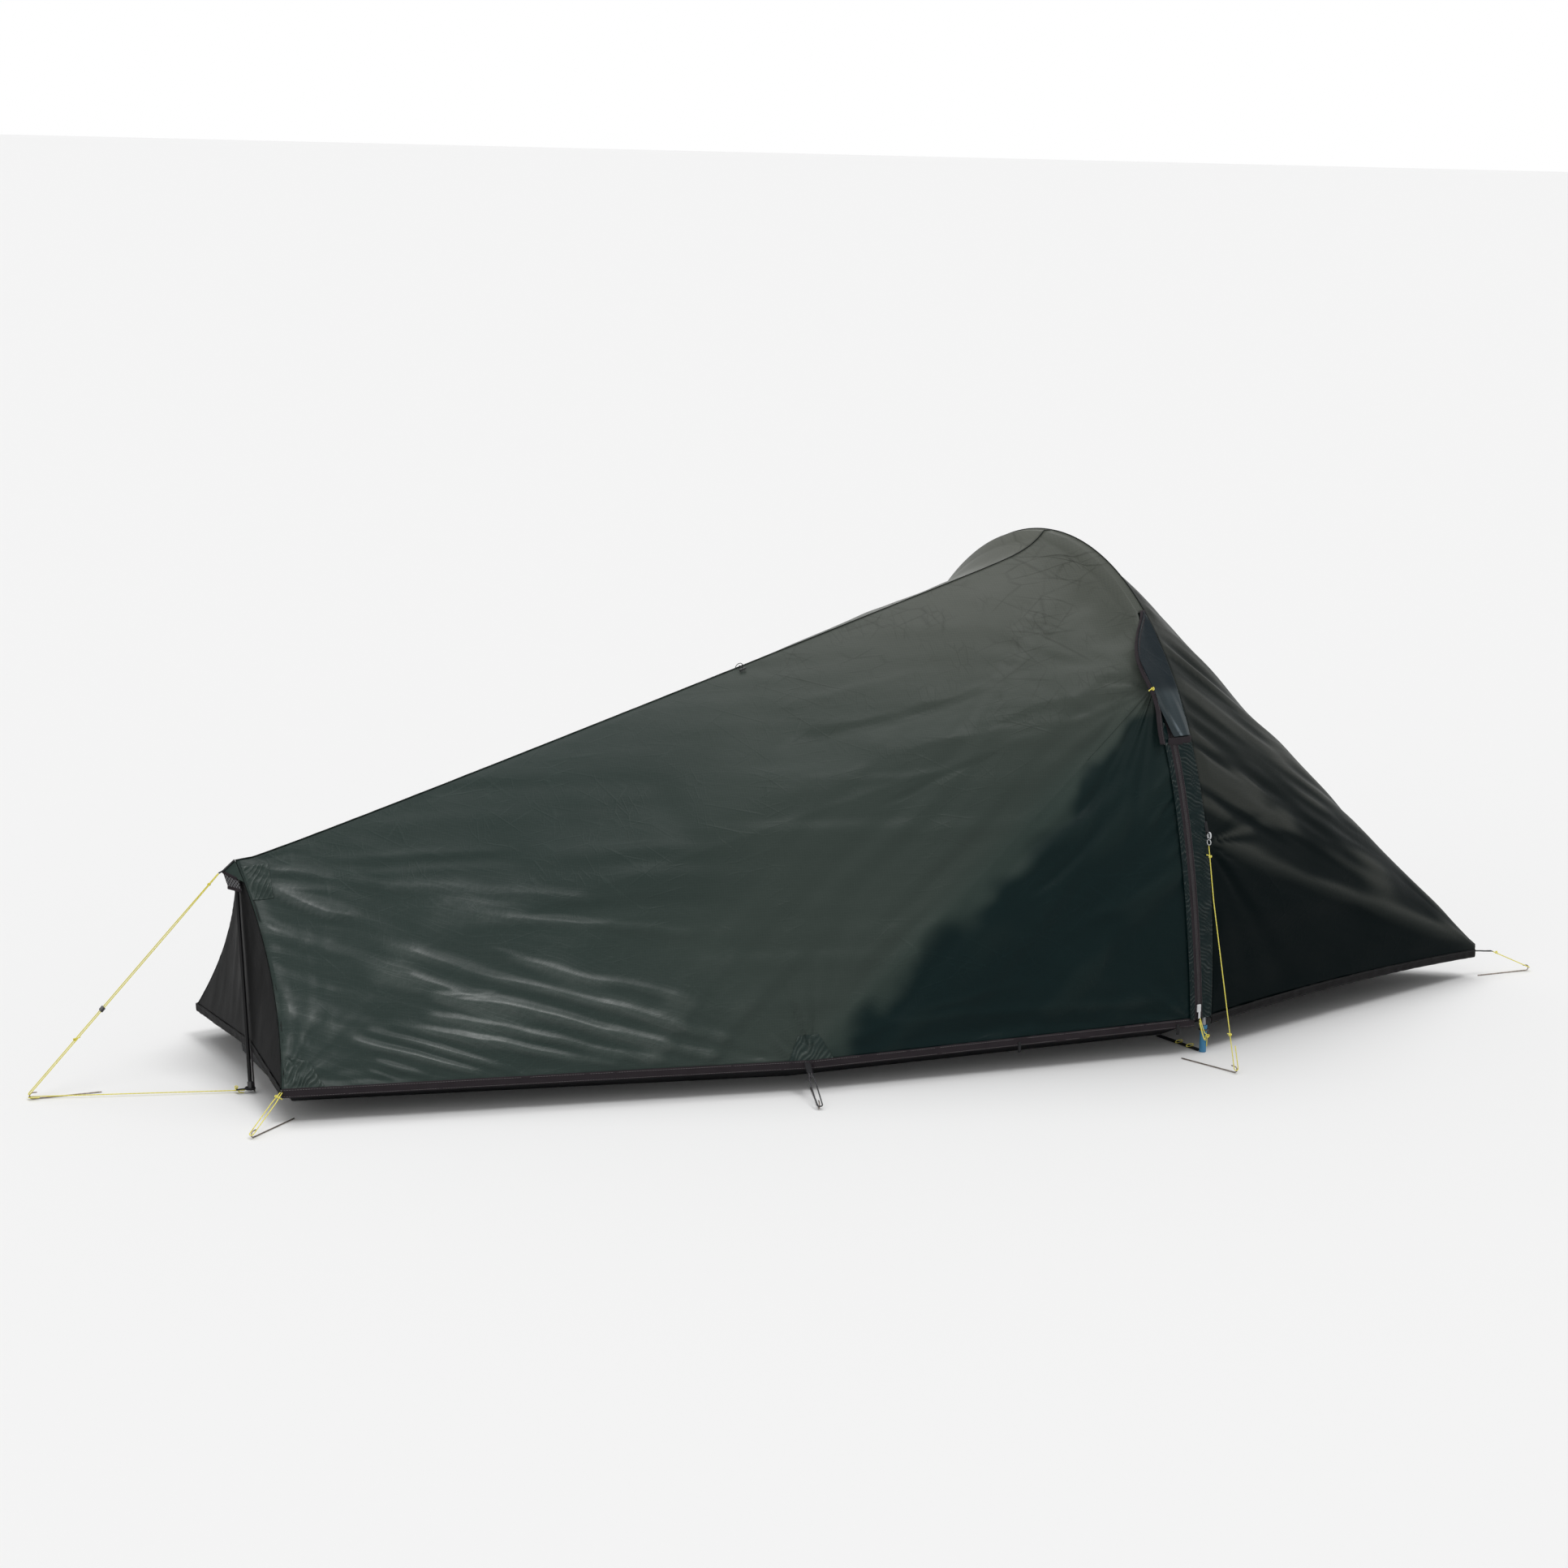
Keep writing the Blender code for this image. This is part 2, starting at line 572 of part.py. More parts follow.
def strut_cap(name, location, axis):
    """A turned plastic cap with a blind socket for the strut's end."""
    socket = STRUT_RADIUS + TOUCH_GAP
    depth = STRUT_CAP_LENGTH - 0.004
    profile = [(0, 0.004 + TOUCH_GAP), (socket, 0.004 + TOUCH_GAP), (socket, -depth), (STRUT_CAP_RADIUS, -depth),
               (STRUT_CAP_RADIUS, 0.0035), (STRUT_CAP_RADIUS * 0.6, 0.0058), (0, 0.0058)]
    return turned(name, profile[::-1], location, PLASTIC, 12, axis)


strut_top_cap = strut_cap("strut_top_cap", STRUT_TOP - STRUT_AXIS * 0.004, STRUT_AXIS)
strut_foot_cap = strut_cap("strut_foot_cap", STRUT_FOOT + STRUT_AXIS * 0.008, -STRUT_AXIS)

# Hem tapes


def hem_tape(name, path, finish=TAPE_CLOTH):
    """A tape that hangs just under a panel's lower edge."""
    lowered = [point - UP * JOIN_GAP for point in path]
    return strip(name, lowered, -UP * HEM_TAPE_WIDTH, finish)


hem_inset = {side: Vector((0, -side * CLOTH, 0)) for side in (NEAR, FAR)}
end_inset = Vector((CLOTH, 0, 0))
near_low = [point + hem_inset[NEAR] for point in near_rows[0]]
far_low = [point + hem_inset[FAR] for point in far_rows[0] + far_low_rows[0][1:]]
end_low = [point + end_inset for point in end_rows[0][1:4]]
hem_tape("fly_hem_tape", far_low[::-1] + end_low[::-1] + near_low)
door_low = [point + hem_inset[NEAR] for point in door_rows[0]]
door_low = [point - UP * TOUCH_GAP for point in door_low]
hem_tape("door_hem_tape", [door_low[0] + FOLD_GAP] + door_low[1:-1] + [door_low[-1] - FOLD_GAP])
nose_near_low = [point + hem_inset[NEAR] for point in nose_near[0]]
nose_far_low = [point + hem_inset[FAR] for point in nose_far[0]]
hem_tape("nose_hem_tape", nose_near_low + nose_far_low[::-1])

# Hoop: the pole in its sleeve, the foot cups and their straps

sleeve_points = 44
sleeve_rows = []
section_steps = 10
for index in range(section_steps + 1):
    turn = 2 * math.pi * index / section_steps
    ahead = POLE_AHEAD + SLEEVE_HALF_WIDTH * math.cos(turn)
    inset = POLE_INSET - SLEEVE_HALF_DEPTH * math.sin(turn)
    sleeve_rows.append(hoop_run(inset, ahead, SLEEVE_FOOT_HEIGHT, SLEEVE_FOOT_HEIGHT, sleeve_points))
sleeve_mesh = grid_mesh("pole_sleeve", sleeve_rows)
pole_sleeve = thicken(place("pole_sleeve", sleeve_mesh, FLY_CLOTH), CLOTH, -1)

angle_marks = step_values(0, HALF_TURN, 400)


def pole_point(angle):
    side = NEAR if angle <= HALF_TURN / 2 else FAR
    return hoop_point(side, angle if side == NEAR else HALF_TURN - angle, POLE_INSET, POLE_AHEAD)


pole_marks = [pole_point(angle) for angle in angle_marks]
run_lengths = [0.0]
for start, end in zip(pole_marks, pole_marks[1:]):
    run_lengths.append(run_lengths[-1] + (end - start).length)


def pole_at(distance):
    """The pole's centre line at a distance from its near foot."""
    for index in range(1, len(run_lengths)):
        if run_lengths[index] >= distance:
            share = (distance - run_lengths[index - 1]) / (run_lengths[index] - run_lengths[index - 1])
            return lerp(pole_marks[index - 1], pole_marks[index], share)
    return pole_marks[-1]


POLE_FOOT_LIFT = CUP_FLOOR + TOUCH_GAP
section_length = (run_lengths[-1] - 2 * POLE_FOOT_LIFT) / POLE_SECTIONS
for number in range(POLE_SECTIONS):
    start = POLE_FOOT_LIFT + number * section_length + TOUCH_GAP / 2
    end = POLE_FOOT_LIFT + (number + 1) * section_length - TOUCH_GAP / 2
    swell_from = end - FERRULE_LENGTH if number < POLE_SECTIONS - 1 else end
    line = [pole_at(start)] + [pole_at(distance) for distance in step_values(start + 0.002, swell_from - 0.002, 12)]
    radii = [POLE_RADIUS] * len(line)
    if swell_from < end:
        line += [pole_at(swell_from), pole_at(end - 0.002)]
        radii += [FERRULE_RADIUS, FERRULE_RADIUS]
    line.append(pole_at(end))
    radii.append(radii[-1])
    tube("hoop_pole_section_" + str(number + 1), line, POLE_RADIUS, POLE_METAL, 2, radii)

for side, label in ((NEAR, "near"), (FAR, "far")):
    foot = hoop_point(side, 0, POLE_INSET, POLE_AHEAD)
    bore = POLE_RADIUS + 2 * TOUCH_GAP
    rim = bore + CUP_WALL
    profile = [(0, CUP_FLOOR), (bore, CUP_FLOOR), (bore, CUP_HEIGHT), (rim, CUP_HEIGHT), (rim, 0), (0, 0)]
    turned("pole_cup_" + label, profile, foot, BLUE_WEBBING, 14)
    strap_start = foot - HOOP_ACROSS * side * (rim + TOUCH_GAP)
    strap_run = -HOOP_ACROSS * side * ((strap_start - HOOP_FOOT_CENTRE).length - FLOOR_HOOP_HALF_WIDTH - BASE_STRAP_CLEAR)
    strap_path = [strap_start + UP * BASE_STRAP_LIFT, strap_start + strap_run + UP * BASE_STRAP_LIFT]
    half_width = HOOP_AHEAD * BASE_STRAP_WIDTH / 2
    strip("base_strap_" + label, [point - half_width for point in strap_path], half_width * 2, WEBBING)

strut_strap_top = strut_line(END_HEM_HEIGHT - HEM_TAPE_WIDTH) + PANEL_BEHIND_STRUT
strut_strap_foot = strut_line(0.002) + PANEL_BEHIND_STRUT
half_strap = Vector((0, STRUT_STRAP_WIDTH / 2, 0))
strip("strut_foot_strap", [strut_strap_top - half_strap - UP * 0.002, strut_strap_foot - half_strap], half_strap * 2, TAPE_CLOTH)

# Zip sliders and the vent's strap


def ring_around(shape, centre, turn, radius, wire, segments=12, sides=6):
    """Add a closed ring to a mesh that is being built."""
    loops = []
    for index in range(segments):
        around = 2 * math.pi * index / segments
        loop = []
        for corner in range(sides):
            about = 2 * math.pi * corner / sides
            reach = radius + wire * math.cos(about)
            spot = Vector((wire * math.sin(about), reach * math.cos(around), reach * math.sin(around)))
            loop.append(shape.verts.new(centre + turn @ spot))
        loops.append(loop)
    for first, second in zip(loops, loops[1:] + loops[:1]):
        for corner in range(sides):
            following = (corner + 1) % sides
            shape.faces.new((first[corner], first[following], second[following], second[corner]))


def slider_piece(name, side_turn, centre, finish):
    """A zip slider with its pull tab hanging down its front, as one body."""
    body = block(name + "_body", (SLIDER_DEPTH, SLIDER_WIDTH, SLIDER_LENGTH), side_turn, centre, finish, 0.0012)
    tab_centre = centre + side_turn @ Vector((SLIDER_DEPTH * 0.5, 0, -SLIDER_LENGTH * 0.55))
    tab = block(name + "_tab", (SLIDER_DEPTH * 0.4, SLIDER_WIDTH * 0.55, SLIDER_LENGTH * 1.5), side_turn, tab_centre, finish, 0.0006)
    union = body.modifiers.new("tab", "BOOLEAN")
    union.operation = "UNION"
    union.object = tab
    union.solver = "EXACT"
    graph = bpy.context.evaluated_depsgraph_get()
    mesh = bpy.data.meshes.new_from_object(body.evaluated_get(graph))
    mesh.transform(body.matrix_world)
    bpy.data.objects.remove(body, do_unlink=True)
    bpy.data.objects.remove(tab, do_unlink=True)
    mesh.transform(Matrix.Translation(-centre))
    piece = place(name, mesh, finish)
    piece.location = centre
    return piece


def hoop_frame(height, recess):
    """Axes on the hoop's near side: X out of the cloth, Y across the zip, Z up the hoop."""
    above = hoop_at(NEAR, height + 0.01, 0, -recess)
    below = hoop_at(NEAR, height - 0.01, 0, -recess)
    return frame_from(above - below, -HOOP_ACROSS)


slider_lift = SLIDER_DEPTH / 2 + TOUCH_GAP
lower_turn = hoop_frame(SLIDER_FOOT_HEIGHT, zip_recess(SLIDER_FOOT_HEIGHT))
lower_spot = zip_point(SLIDER_FOOT_HEIGHT, 0) + lower_turn @ Vector((slider_lift, 0, 0))
slider_piece("zip_slider_lower", lower_turn, lower_spot, PALE_PLASTIC)
upper_height = ZIP_TOP_HEIGHT - 0.026
upper_turn = hoop_frame(upper_height, zip_recess(upper_height))
upper_spot = zip_point(upper_height, 0) + upper_turn @ Vector((slider_lift, 0, 0))
slider_piece("zip_slider_upper", upper_turn, upper_spot, ZIP_METAL)

strap_turn = hoop_frame(STRAP_HEIGHT, zip_recess(STRAP_HEIGHT))
strap_from = zip_point(STRAP_HEIGHT, ZIP_TAPE_HALF + 0.004)
strap_to = hoop_at(NEAR, STRAP_HEIGHT, 0, -0.002)
strap_out = strap_turn @ Vector((TAPE / 2 + TOUCH_GAP, 0, 0))
strap_up = strap_turn @ Vector((0, 0, STRAP_WIDTH))
strip("vent_strap", [lerp(strap_from, strap_to, share) + strap_out - strap_up / 2 for share in step_values(0, 1, 3)],
      strap_up, TAPE_CLOTH)

# Small fittings on the flysheet


def ring_piece(name, centre, turn, radius, wire, finish):
    """A closed ring of round wire; it turns about its frame's X."""
    shape = bmesh.new()
    ring_around(shape, Vector((0, 0, 0)), turn, radius, wire)
    bmesh.ops.recalc_face_normals(shape, faces=shape.faces)
    mesh = bpy.data.meshes.new(name)
    shape.to_mesh(mesh)
    shape.free()
    piece = place(name, mesh, finish)
    piece.location = centre
    return piece


RING_CENTRES = {}
for side, label in ((NEAR, "near"), (FAR, "far")):
    seam = hoop_at(side, CLIP_HEIGHT)
    RING_CENTRES[side] = seam + HOOP_ACROSS * side * (PULL_RING_RADIUS + PULL_RING_WIRE)
    ring_piece("guy_ring_" + label, RING_CENTRES[side], Matrix.Rotation(HOOP_TURN, 3, "Z"),
               PULL_RING_RADIUS, PULL_RING_WIRE, PALE_PLASTIC)

link_lift = UP * (TAPE / 2 + 2 * TOUCH_GAP)
link_half = Vector((0, LINK_WIDTH / 2, 0))
LINK_END = hood_tip + Vector((-0.008, 0, -0.004)) + link_lift
link_path = [RIDGE_END + Vector((-0.001, 0, 0)) + link_lift, hood_tip + link_lift, LINK_END]
strip("foot_guy_link", [point - link_half for point in link_path], link_half * 2, WEBBING)

toggle_place = 0.62 * (len(near_rows[-1]) - 1)
toggle_column = int(toggle_place)
ridge_here = near_rows[-1][toggle_column]
ridge_along = (near_rows[-1][toggle_column + 1] - ridge_here).normalized()
panel_down = (near_rows[-2][toggle_column] - ridge_here).normalized()
panel_out = ridge_along.cross(panel_down).normalized()
panel_out = panel_out if panel_out.z > 0 else -panel_out
LOOP_SPAN = 0.008
LOOP_RISE = 0.006
loop_points = [ridge_here + ridge_along * LOOP_SPAN * math.cos(turn) + UP * (LOOP_RISE * math.sin(turn) + LOOP_RADIUS + TOUCH_GAP)
               for turn in step_values(0, HALF_TURN, 8)]
tube("ridge_loop", loop_points, LOOP_RADIUS, WEBBING, 1)
TOGGLE_DROP = 0.014
toggle_centre = ridge_here + panel_down * TOGGLE_DROP + panel_out * (TOGGLE_RADIUS + 2 * TOUCH_GAP)
tube("ridge_toggle", [toggle_centre - ridge_along * TOGGLE_LENGTH / 2, toggle_centre + ridge_along * TOGGLE_LENGTH / 2],
     TOGGLE_RADIUS, PLASTIC, 2)

# Inner tent: the tray floor, two walls with a door, its slider and the hangers

floor_hoop = {side: HOOP_FOOT_CENTRE + HOOP_ACROSS * side * FLOOR_HOOP_HALF_WIDTH for side in (NEAR, FAR)}
floor_foot = {side: Vector((FOOT_X + FLOOR_FOOT_INSET, FOOT_OFFSET_Y + side * FLOOR_FOOT_HALF_WIDTH, 0))
              for side in (NEAR, FAR)}
floor_mid = {side: Vector((MID_POINTS[side].x, MID_POINTS[side].y - side * FLOOR_MID_INSET, 0)) for side in (NEAR, FAR)}
floor_head = {NEAR: Vector((HOOP_X + FLOOR_HEAD_TO_HOOP, FLOOR_HEAD_NEAR_Y, 0)),
              FAR: Vector((HOOP_X + FLOOR_HEAD_TO_HOOP, FLOOR_HEAD_FAR_Y, 0))}
floor_outline = [floor_foot[NEAR], floor_mid[NEAR], floor_hoop[NEAR], floor_head[NEAR],
                 floor_head[FAR], floor_hoop[FAR], floor_mid[FAR], floor_foot[FAR]]
floor_middle = sum(floor_outline, Vector((0, 0, 0))) / len(floor_outline)


def tray_rim(point, height=TRAY_HEIGHT):
    """A point of the floor's outline, raised to the tray's rim and leaned out."""
    return point + (point - floor_middle).normalized() * TRAY_LEAN + UP * height


floor_shape = bmesh.new()
whole_floor = floor_shape.faces.new([floor_shape.verts.new(point) for point in floor_outline[::-1]])
floor_shape.normal_update()
rim_strip = bmesh.ops.inset_region(floor_shape, faces=[whole_floor], thickness=FLOOR_THICKNESS + TOUCH_GAP,
                                    use_boundary=True, use_even_offset=True)
bmesh.ops.delete(floor_shape, geom=rim_strip["faces"], context="FACES")
floor_mesh = bpy.data.meshes.new("inner_groundsheet")
floor_shape.to_mesh(floor_mesh)
floor_shape.free()
thicken(place("inner_groundsheet", floor_mesh, FLOOR_CLOTH), FLOOR_THICKNESS, -1)

tray_rows = [floor_outline + floor_outline[:1], [tray_rim(point) for point in floor_outline + floor_outline[:1]]]
tray_wall = cloth("inner_tray_wall", tray_rows, FLOOR_CLOTH, FLOOR_THICKNESS, inside=floor_middle)
tray_wall.modifiers["wall"].use_even_offset = True

RIDGE_FOOT = Vector((FOOT_X + INNER_FOOT_SETBACK, FOOT_OFFSET_Y, INNER_FOOT_HEIGHT))
RIDGE_HEAD = Vector((HOOP_X + INNER_HEAD_TO_HOOP, INNER_HEAD_Y, INNER_HEAD_HEIGHT))
WALL_FOOT_HEIGHT = TRAY_HEIGHT + JOIN_GAP


def inner_line(side, station):
    """A wall's section as a function of its height share: 0 the foot end, 1 the hoop, 2 the head end."""
    def at(share):
        low_foot = tray_rim(floor_foot[side], WALL_FOOT_HEIGHT)
        low_head = tray_rim(floor_head[side], WALL_FOOT_HEIGHT)
        low_hoop = tray_rim(floor_hoop[side], WALL_FOOT_HEIGHT)
        arch = hoop_point(side, share * HALF_TURN / 2, INNER_RIDGE_DROP)
        crown = hoop_point(side, HALF_TURN / 2, INNER_RIDGE_DROP)
        low_mid = tray_rim(floor_mid[side], WALL_FOOT_HEIGHT)
        mid_station = (low_mid.x - low_foot.x) / (low_hoop.x - low_foot.x)
        foot_line = lerp(low_foot, RIDGE_FOOT, share)
        head_line = lerp(low_head, RIDGE_HEAD, share)
        rise = (arch.z - 0) / crown.z
        across = (arch - HOOP_FOOT_CENTRE).dot(HOOP_ACROSS) / ((HOOP_HALF_WIDTH - INNER_RIDGE_DROP) * side)
        reach = (low_hoop - HOOP_FOOT_CENTRE).dot(HOOP_ACROSS)
        hoop_line = HOOP_FOOT_CENTRE + HOOP_ACROSS * reach * across + UP * lerp(WALL_FOOT_HEIGHT, crown.z, rise)
        if station > 1:
            return lerp(hoop_line, head_line, station - 1)
        swell = min(station / mid_station, (1 - station) / (1 - mid_station)) * (1 - share)
        return lerp(foot_line, hoop_line, station) + (low_mid - lerp(low_foot, low_hoop, mid_station)) * swell
    return at


def inner_grid(side, stations, shares):
    """Rows of a wall from its foot to its ridge; the ridge row keeps clear of the other wall."""
    rows = []
    for share in shares:
        row = [inner_line(side, station)(share) for station in stations]
        if share == 1:
            row = [point + Vector((0, side * SEAM_GAP, 0)) for point in row]
        rows.append(row)
    return rows


door_stations = step_values(INNER_DOOR_START, INNER_DOOR_END, 4)
door_shares = step_values(INNER_DOOR_FOOT, INNER_DOOR_TOP, 5)
mid_stations = {side: (floor_mid[side].x - floor_foot[side].x) / (floor_hoop[side].x - floor_foot[side].x) for side in (NEAR, FAR)}
wall_stations = [0, mid_stations[NEAR] / 2, mid_stations[NEAR]] + door_stations + [1, 1.5, 2]
wall_shares = [0] + door_shares + [(1 + INNER_DOOR_TOP) / 2, 1]


def cut_door(mesh):
    """Take the door's cells out of the near wall."""
    shape = bmesh.new()
    shape.from_mesh(mesh)
    corner = {(round(point.x, 5), round(point.y, 5), round(point.z, 5))
              for row in inner_grid(NEAR, door_stations, door_shares) for point in row}
    inside = [face for face in shape.faces
              if all((round(v.co.x, 5), round(v.co.y, 5), round(v.co.z, 5)) in corner for v in face.verts)]
    bmesh.ops.delete(shape, geom=inside, context="FACES")
    shape.to_mesh(mesh)
    shape.free()


near_wall = cloth("inner_near_wall", inner_grid(NEAR, wall_stations, wall_shares), INNER_CLOTH)
cut_door(near_wall.data)

door_size_x = (inner_line(NEAR, INNER_DOOR_END)(0.4) - inner_line(NEAR, INNER_DOOR_START)(0.4)).length
door_size_z = (inner_line(NEAR, 0.7)(INNER_DOOR_TOP) - inner_line(NEAR, 0.7)(INNER_DOOR_FOOT)).length
gap_x = INNER_DOOR_GAP / door_size_x * (INNER_DOOR_END - INNER_DOOR_START)
gap_z = INNER_DOOR_GAP / door_size_z * (INNER_DOOR_TOP - INNER_DOOR_FOOT)
leaf_stations = [door_stations[0] + gap_x] + door_stations[1:-1] + [door_stations[-1] - gap_x]
leaf_shares = [door_shares[0] + gap_z] + door_shares[1:-1] + [door_shares[-1] - gap_z]
inner_door_rows = inner_grid(NEAR, leaf_stations, leaf_shares)
cloth("inner_door", inner_door_rows, INNER_CLOTH)

far_stations = [0, mid_stations[FAR] / 2, mid_stations[FAR], 0.75, 1, 1.5, 2]
far_shares = step_values(0, 1, 6)
far_inner = inner_grid(FAR, far_stations, far_shares)
head_rows = []
foot_rows = []
for far_row, share in zip(far_inner, far_shares):
    near_head = inner_line(NEAR, 2)(share)
    near_foot = inner_line(NEAR, 0)(share)
    inward = Vector((0, 2 * SEAM_GAP, 0))
    head_rows.append([far_row[-1], lerp(far_row[-1], near_head + inward, 0.5), near_head + inward + Vector((SEAM_GAP, 0, 0))])
    foot_rows.append([far_row[0], lerp(far_row[0], near_foot + inward, 0.5), near_foot + inward - Vector((SEAM_GAP, 0, 0))])
cloth("inner_far_wall", far_inner, INNER_CLOTH, more_grids=(head_rows[:-1], foot_rows[:-1]), inside=Vector((0, -0.02, 0.1)))

slider_along = (inner_door_rows[-1][0] - inner_door_rows[-1][-1]).normalized()
top_down = (inner_door_rows[-2][-2] - inner_door_rows[-1][-2]).normalized()
slider_out = slider_along.cross(top_down).normalized()
slider_out = slider_out if slider_out.y < 0 else -slider_out
inner_slider_spot = inner_door_rows[-1][-1] + slider_along * INNER_SLIDER_SETBACK + slider_out * (SLIDER_DEPTH / 2 + 2 * TOUCH_GAP)
slider_piece("inner_zip_slider", frame_from(slider_along, slider_out), inner_slider_spot, ZIP_METAL)


def hanger(name, ridge_low, above):
    """An elastic cord between the inner tent's ridge and what it hangs from; its flat ends keep off the slopes."""
    keep_off = UP * (HANGER_RADIUS * HANGER_SLOPE + TOUCH_GAP)
    tube(name, [ridge_low + keep_off, above - keep_off], HANGER_RADIUS, ELASTIC, 1)


def ridge_share(point, start, end):
    return (point.x - start.x) / (end.x - start.x)


inner_crown = inner_line(NEAR, 1)(1)
sleeve_low = hoop_point(NEAR, HALF_TURN / 2, POLE_INSET + SLEEVE_HALF_DEPTH, POLE_AHEAD)
below_sleeve = lerp(RIDGE_FOOT, inner_crown, ridge_share(sleeve_low, RIDGE_FOOT, inner_crown))
tube("inner_hanger_hoop", [Vector((sleeve_low.x, sleeve_low.y, below_sleeve.z + HANGER_RADIUS * 0.5 + TOUCH_GAP)),
                           sleeve_low - UP * TOUCH_GAP * 2], HANGER_RADIUS, ELASTIC, 1)
fly_crown = hoop_point(NEAR, HALF_TURN / 2, 0, -BAND_WIDTH)
hang_foot = RIDGE_FOOT + Vector((2 * HANGER_RADIUS, 0, 0))
foot_part = ridge_share(hang_foot, RIDGE_END, fly_crown)
ridge_over_foot = lerp(RIDGE_END, fly_crown, foot_part) - UP * ridge_sag(foot_part, (fly_crown - RIDGE_END).length)
hanger("inner_hanger_foot", hang_foot, Vector((hang_foot.x, hang_foot.y, ridge_over_foot.z - CLOTH * 4)))
hang_head = lerp(RIDGE_HEAD, inner_crown, 2 * HANGER_RADIUS / (inner_crown - RIDGE_HEAD).length)
nose_crown = hoop_point(NEAR, HALF_TURN / 2)
head_part = ridge_share(hang_head, nose_crown, NOSE)
ridge_over_head = lerp(nose_crown, NOSE, head_part) - UP * nose_sag(head_part)
hanger("inner_hanger_head", hang_head, ridge_over_head - UP * CLOTH * 2)

# Pegs and cords


def peg(name, head, towards):
    """A wire peg that lies on the ground with its hook up, its point towards the tent."""
    run = Vector((towards.x - head.x, towards.y - head.y, 0)).normalized()
    low = Vector((head.x, head.y, PEG_RADIUS))
    line = [low + run * PEG_LENGTH, low + run * PEG_LENGTH * 0.5, low]
    for turn in step_values(0, HALF_TURN, 6)[1:]:
        line.append(low - run * PEG_HOOK_RADIUS * math.sin(turn) + UP * PEG_HOOK_RADIUS * (1 - math.cos(turn)))
    line.append(line[-1] + run * PEG_HOOK_TAIL)
    return tube(name, line, PEG_RADIUS, PEG_METAL, 2)


GROUND = Vector((1, 1, 0))
FOOT_PEG = (RIDGE_END + Vector((-FOOT_PEG_REACH, 0, 0))) * GROUND
CORNER_PEG = (CORNERS[NEAR] + Vector((-CORNER_PEG_REACH, -CORNER_PEG_ASIDE, 0))) * GROUND
MID_PEG = (MID_POINTS[NEAR] + Vector((-MID_PEG_ASIDE, -MID_PEG_REACH, 0))) * GROUND
GUY_PEG = hoop_point(NEAR, 0) - Vector((GUY_PEG_ASIDE, GUY_PEG_REACH, 0))
NOSE_PEG = (NOSE + Vector((NOSE_PEG_REACH, 0, 0))) * GROUND
peg("peg_foot", FOOT_PEG, RIDGE_END)
peg("peg_corner", CORNER_PEG, CORNERS[NEAR])
peg("peg_mid", MID_PEG, MID_POINTS[NEAR])
peg("peg_hoop", GUY_PEG, GUY_PEG + Vector((-GUY_PEG_ASIDE * 2, GUY_PEG_REACH, 0)))
peg("peg_nose", NOSE_PEG, NOSE)


def round_peg(start, peg_head, height, radius, spread, turn, back=1.0, steps=12):
    """A cord's route out to a peg's hook and back: two strands with a round turn behind the hook's wire.
    The strands leave the start close together, lie apart by the turn after a quarter of the way,
    and the second ends a share of the way back."""
    level = height - PEG_RADIUS - PEG_HOOK_RADIUS
    hook_reach = PEG_RADIUS + math.sqrt(PEG_HOOK_RADIUS ** 2 - level ** 2)
    ground_run = Vector((peg_head.x - start.x, peg_head.y - start.y, 0)).normalized()
    far_point = Vector((peg_head.x, peg_head.y, height)) + ground_run * (hook_reach + radius + TOUCH_GAP)
    run = (far_point - start).normalized()
    across = run.cross(UP).normalized()
    bend = far_point - run * turn
    shares = step_values(0, 1, steps)
    widths = [lerp(spread, turn, min(1, share * 4)) for share in shares]
    out = [lerp(start, bend, share) + across * width for share, width in zip(shares, widths)]
    around = [bend + across * turn * math.cos(angle) + run * turn * math.sin(angle)
              for angle in step_values(0, HALF_TURN, 8)[1:-1]]
    home = [lerp(start, bend, share) - across * width for share, width in zip(shares, widths) if share >= 1 - back]
    return out + around + home[::-1]


HOOK_LEVEL = PEG_RADIUS + PEG_HOOK_RADIUS
guy_run = (FOOT_PEG + UP * HOOK_LEVEL - LINK_END).normalized()
foot_guy_start = LINK_END + guy_run * (CORD_RADIUS * 0.5 + TOUCH_GAP)
foot_guy = round_peg(foot_guy_start, FOOT_PEG, HOOK_LEVEL + 0.003, CORD_RADIUS, STRAND_SPREAD, CORD_TURN, steps=20)
tube("foot_guy_cord", foot_guy, CORD_RADIUS, CORD, 2)

lock_spots = [lerp(foot_guy[12], foot_guy[13], 0.4), lerp(foot_guy[-13], foot_guy[-14], 0.4)]
lock_centre = lerp(lock_spots[0], lock_spots[1], 0.5)
lock_along = (foot_guy[13] - foot_guy[12]).normalized()
lock_turn = frame_from(lock_along, UP)
line_lock = block("foot_line_lock", LOCK_SIZE, lock_turn, lock_centre, PLASTIC, 0.0008)
bores = bpy.data.collections.new("line_lock_bores")
bpy.context.scene.collection.children.link(bores)
for number, spot in enumerate(lock_spots):
    bore_mesh = bpy.data.meshes.new("bore_" + str(number))
    bore_shape = bmesh.new()
    bmesh.ops.create_cone(bore_shape, cap_ends=True, segments=10, radius1=CORD_RADIUS + LOCK_CLEARANCE,
                          radius2=CORD_RADIUS + LOCK_CLEARANCE, depth=LOCK_SIZE[2] * 2)
    bore_shape.to_mesh(bore_mesh)
    bore_shape.free()
    bore = bpy.data.objects.new("bore_" + str(number), bore_mesh)
    bores.objects.link(bore)
    bore.matrix_world = Matrix.Translation(spot) @ lock_turn.to_4x4()
    bore.hide_render = True
    bore.display_type = "WIRE"
    cut = line_lock.modifiers.new("bore", "BOOLEAN")
    cut.operation = "DIFFERENCE"
    cut.solver = "EXACT"
    cut.object = bore

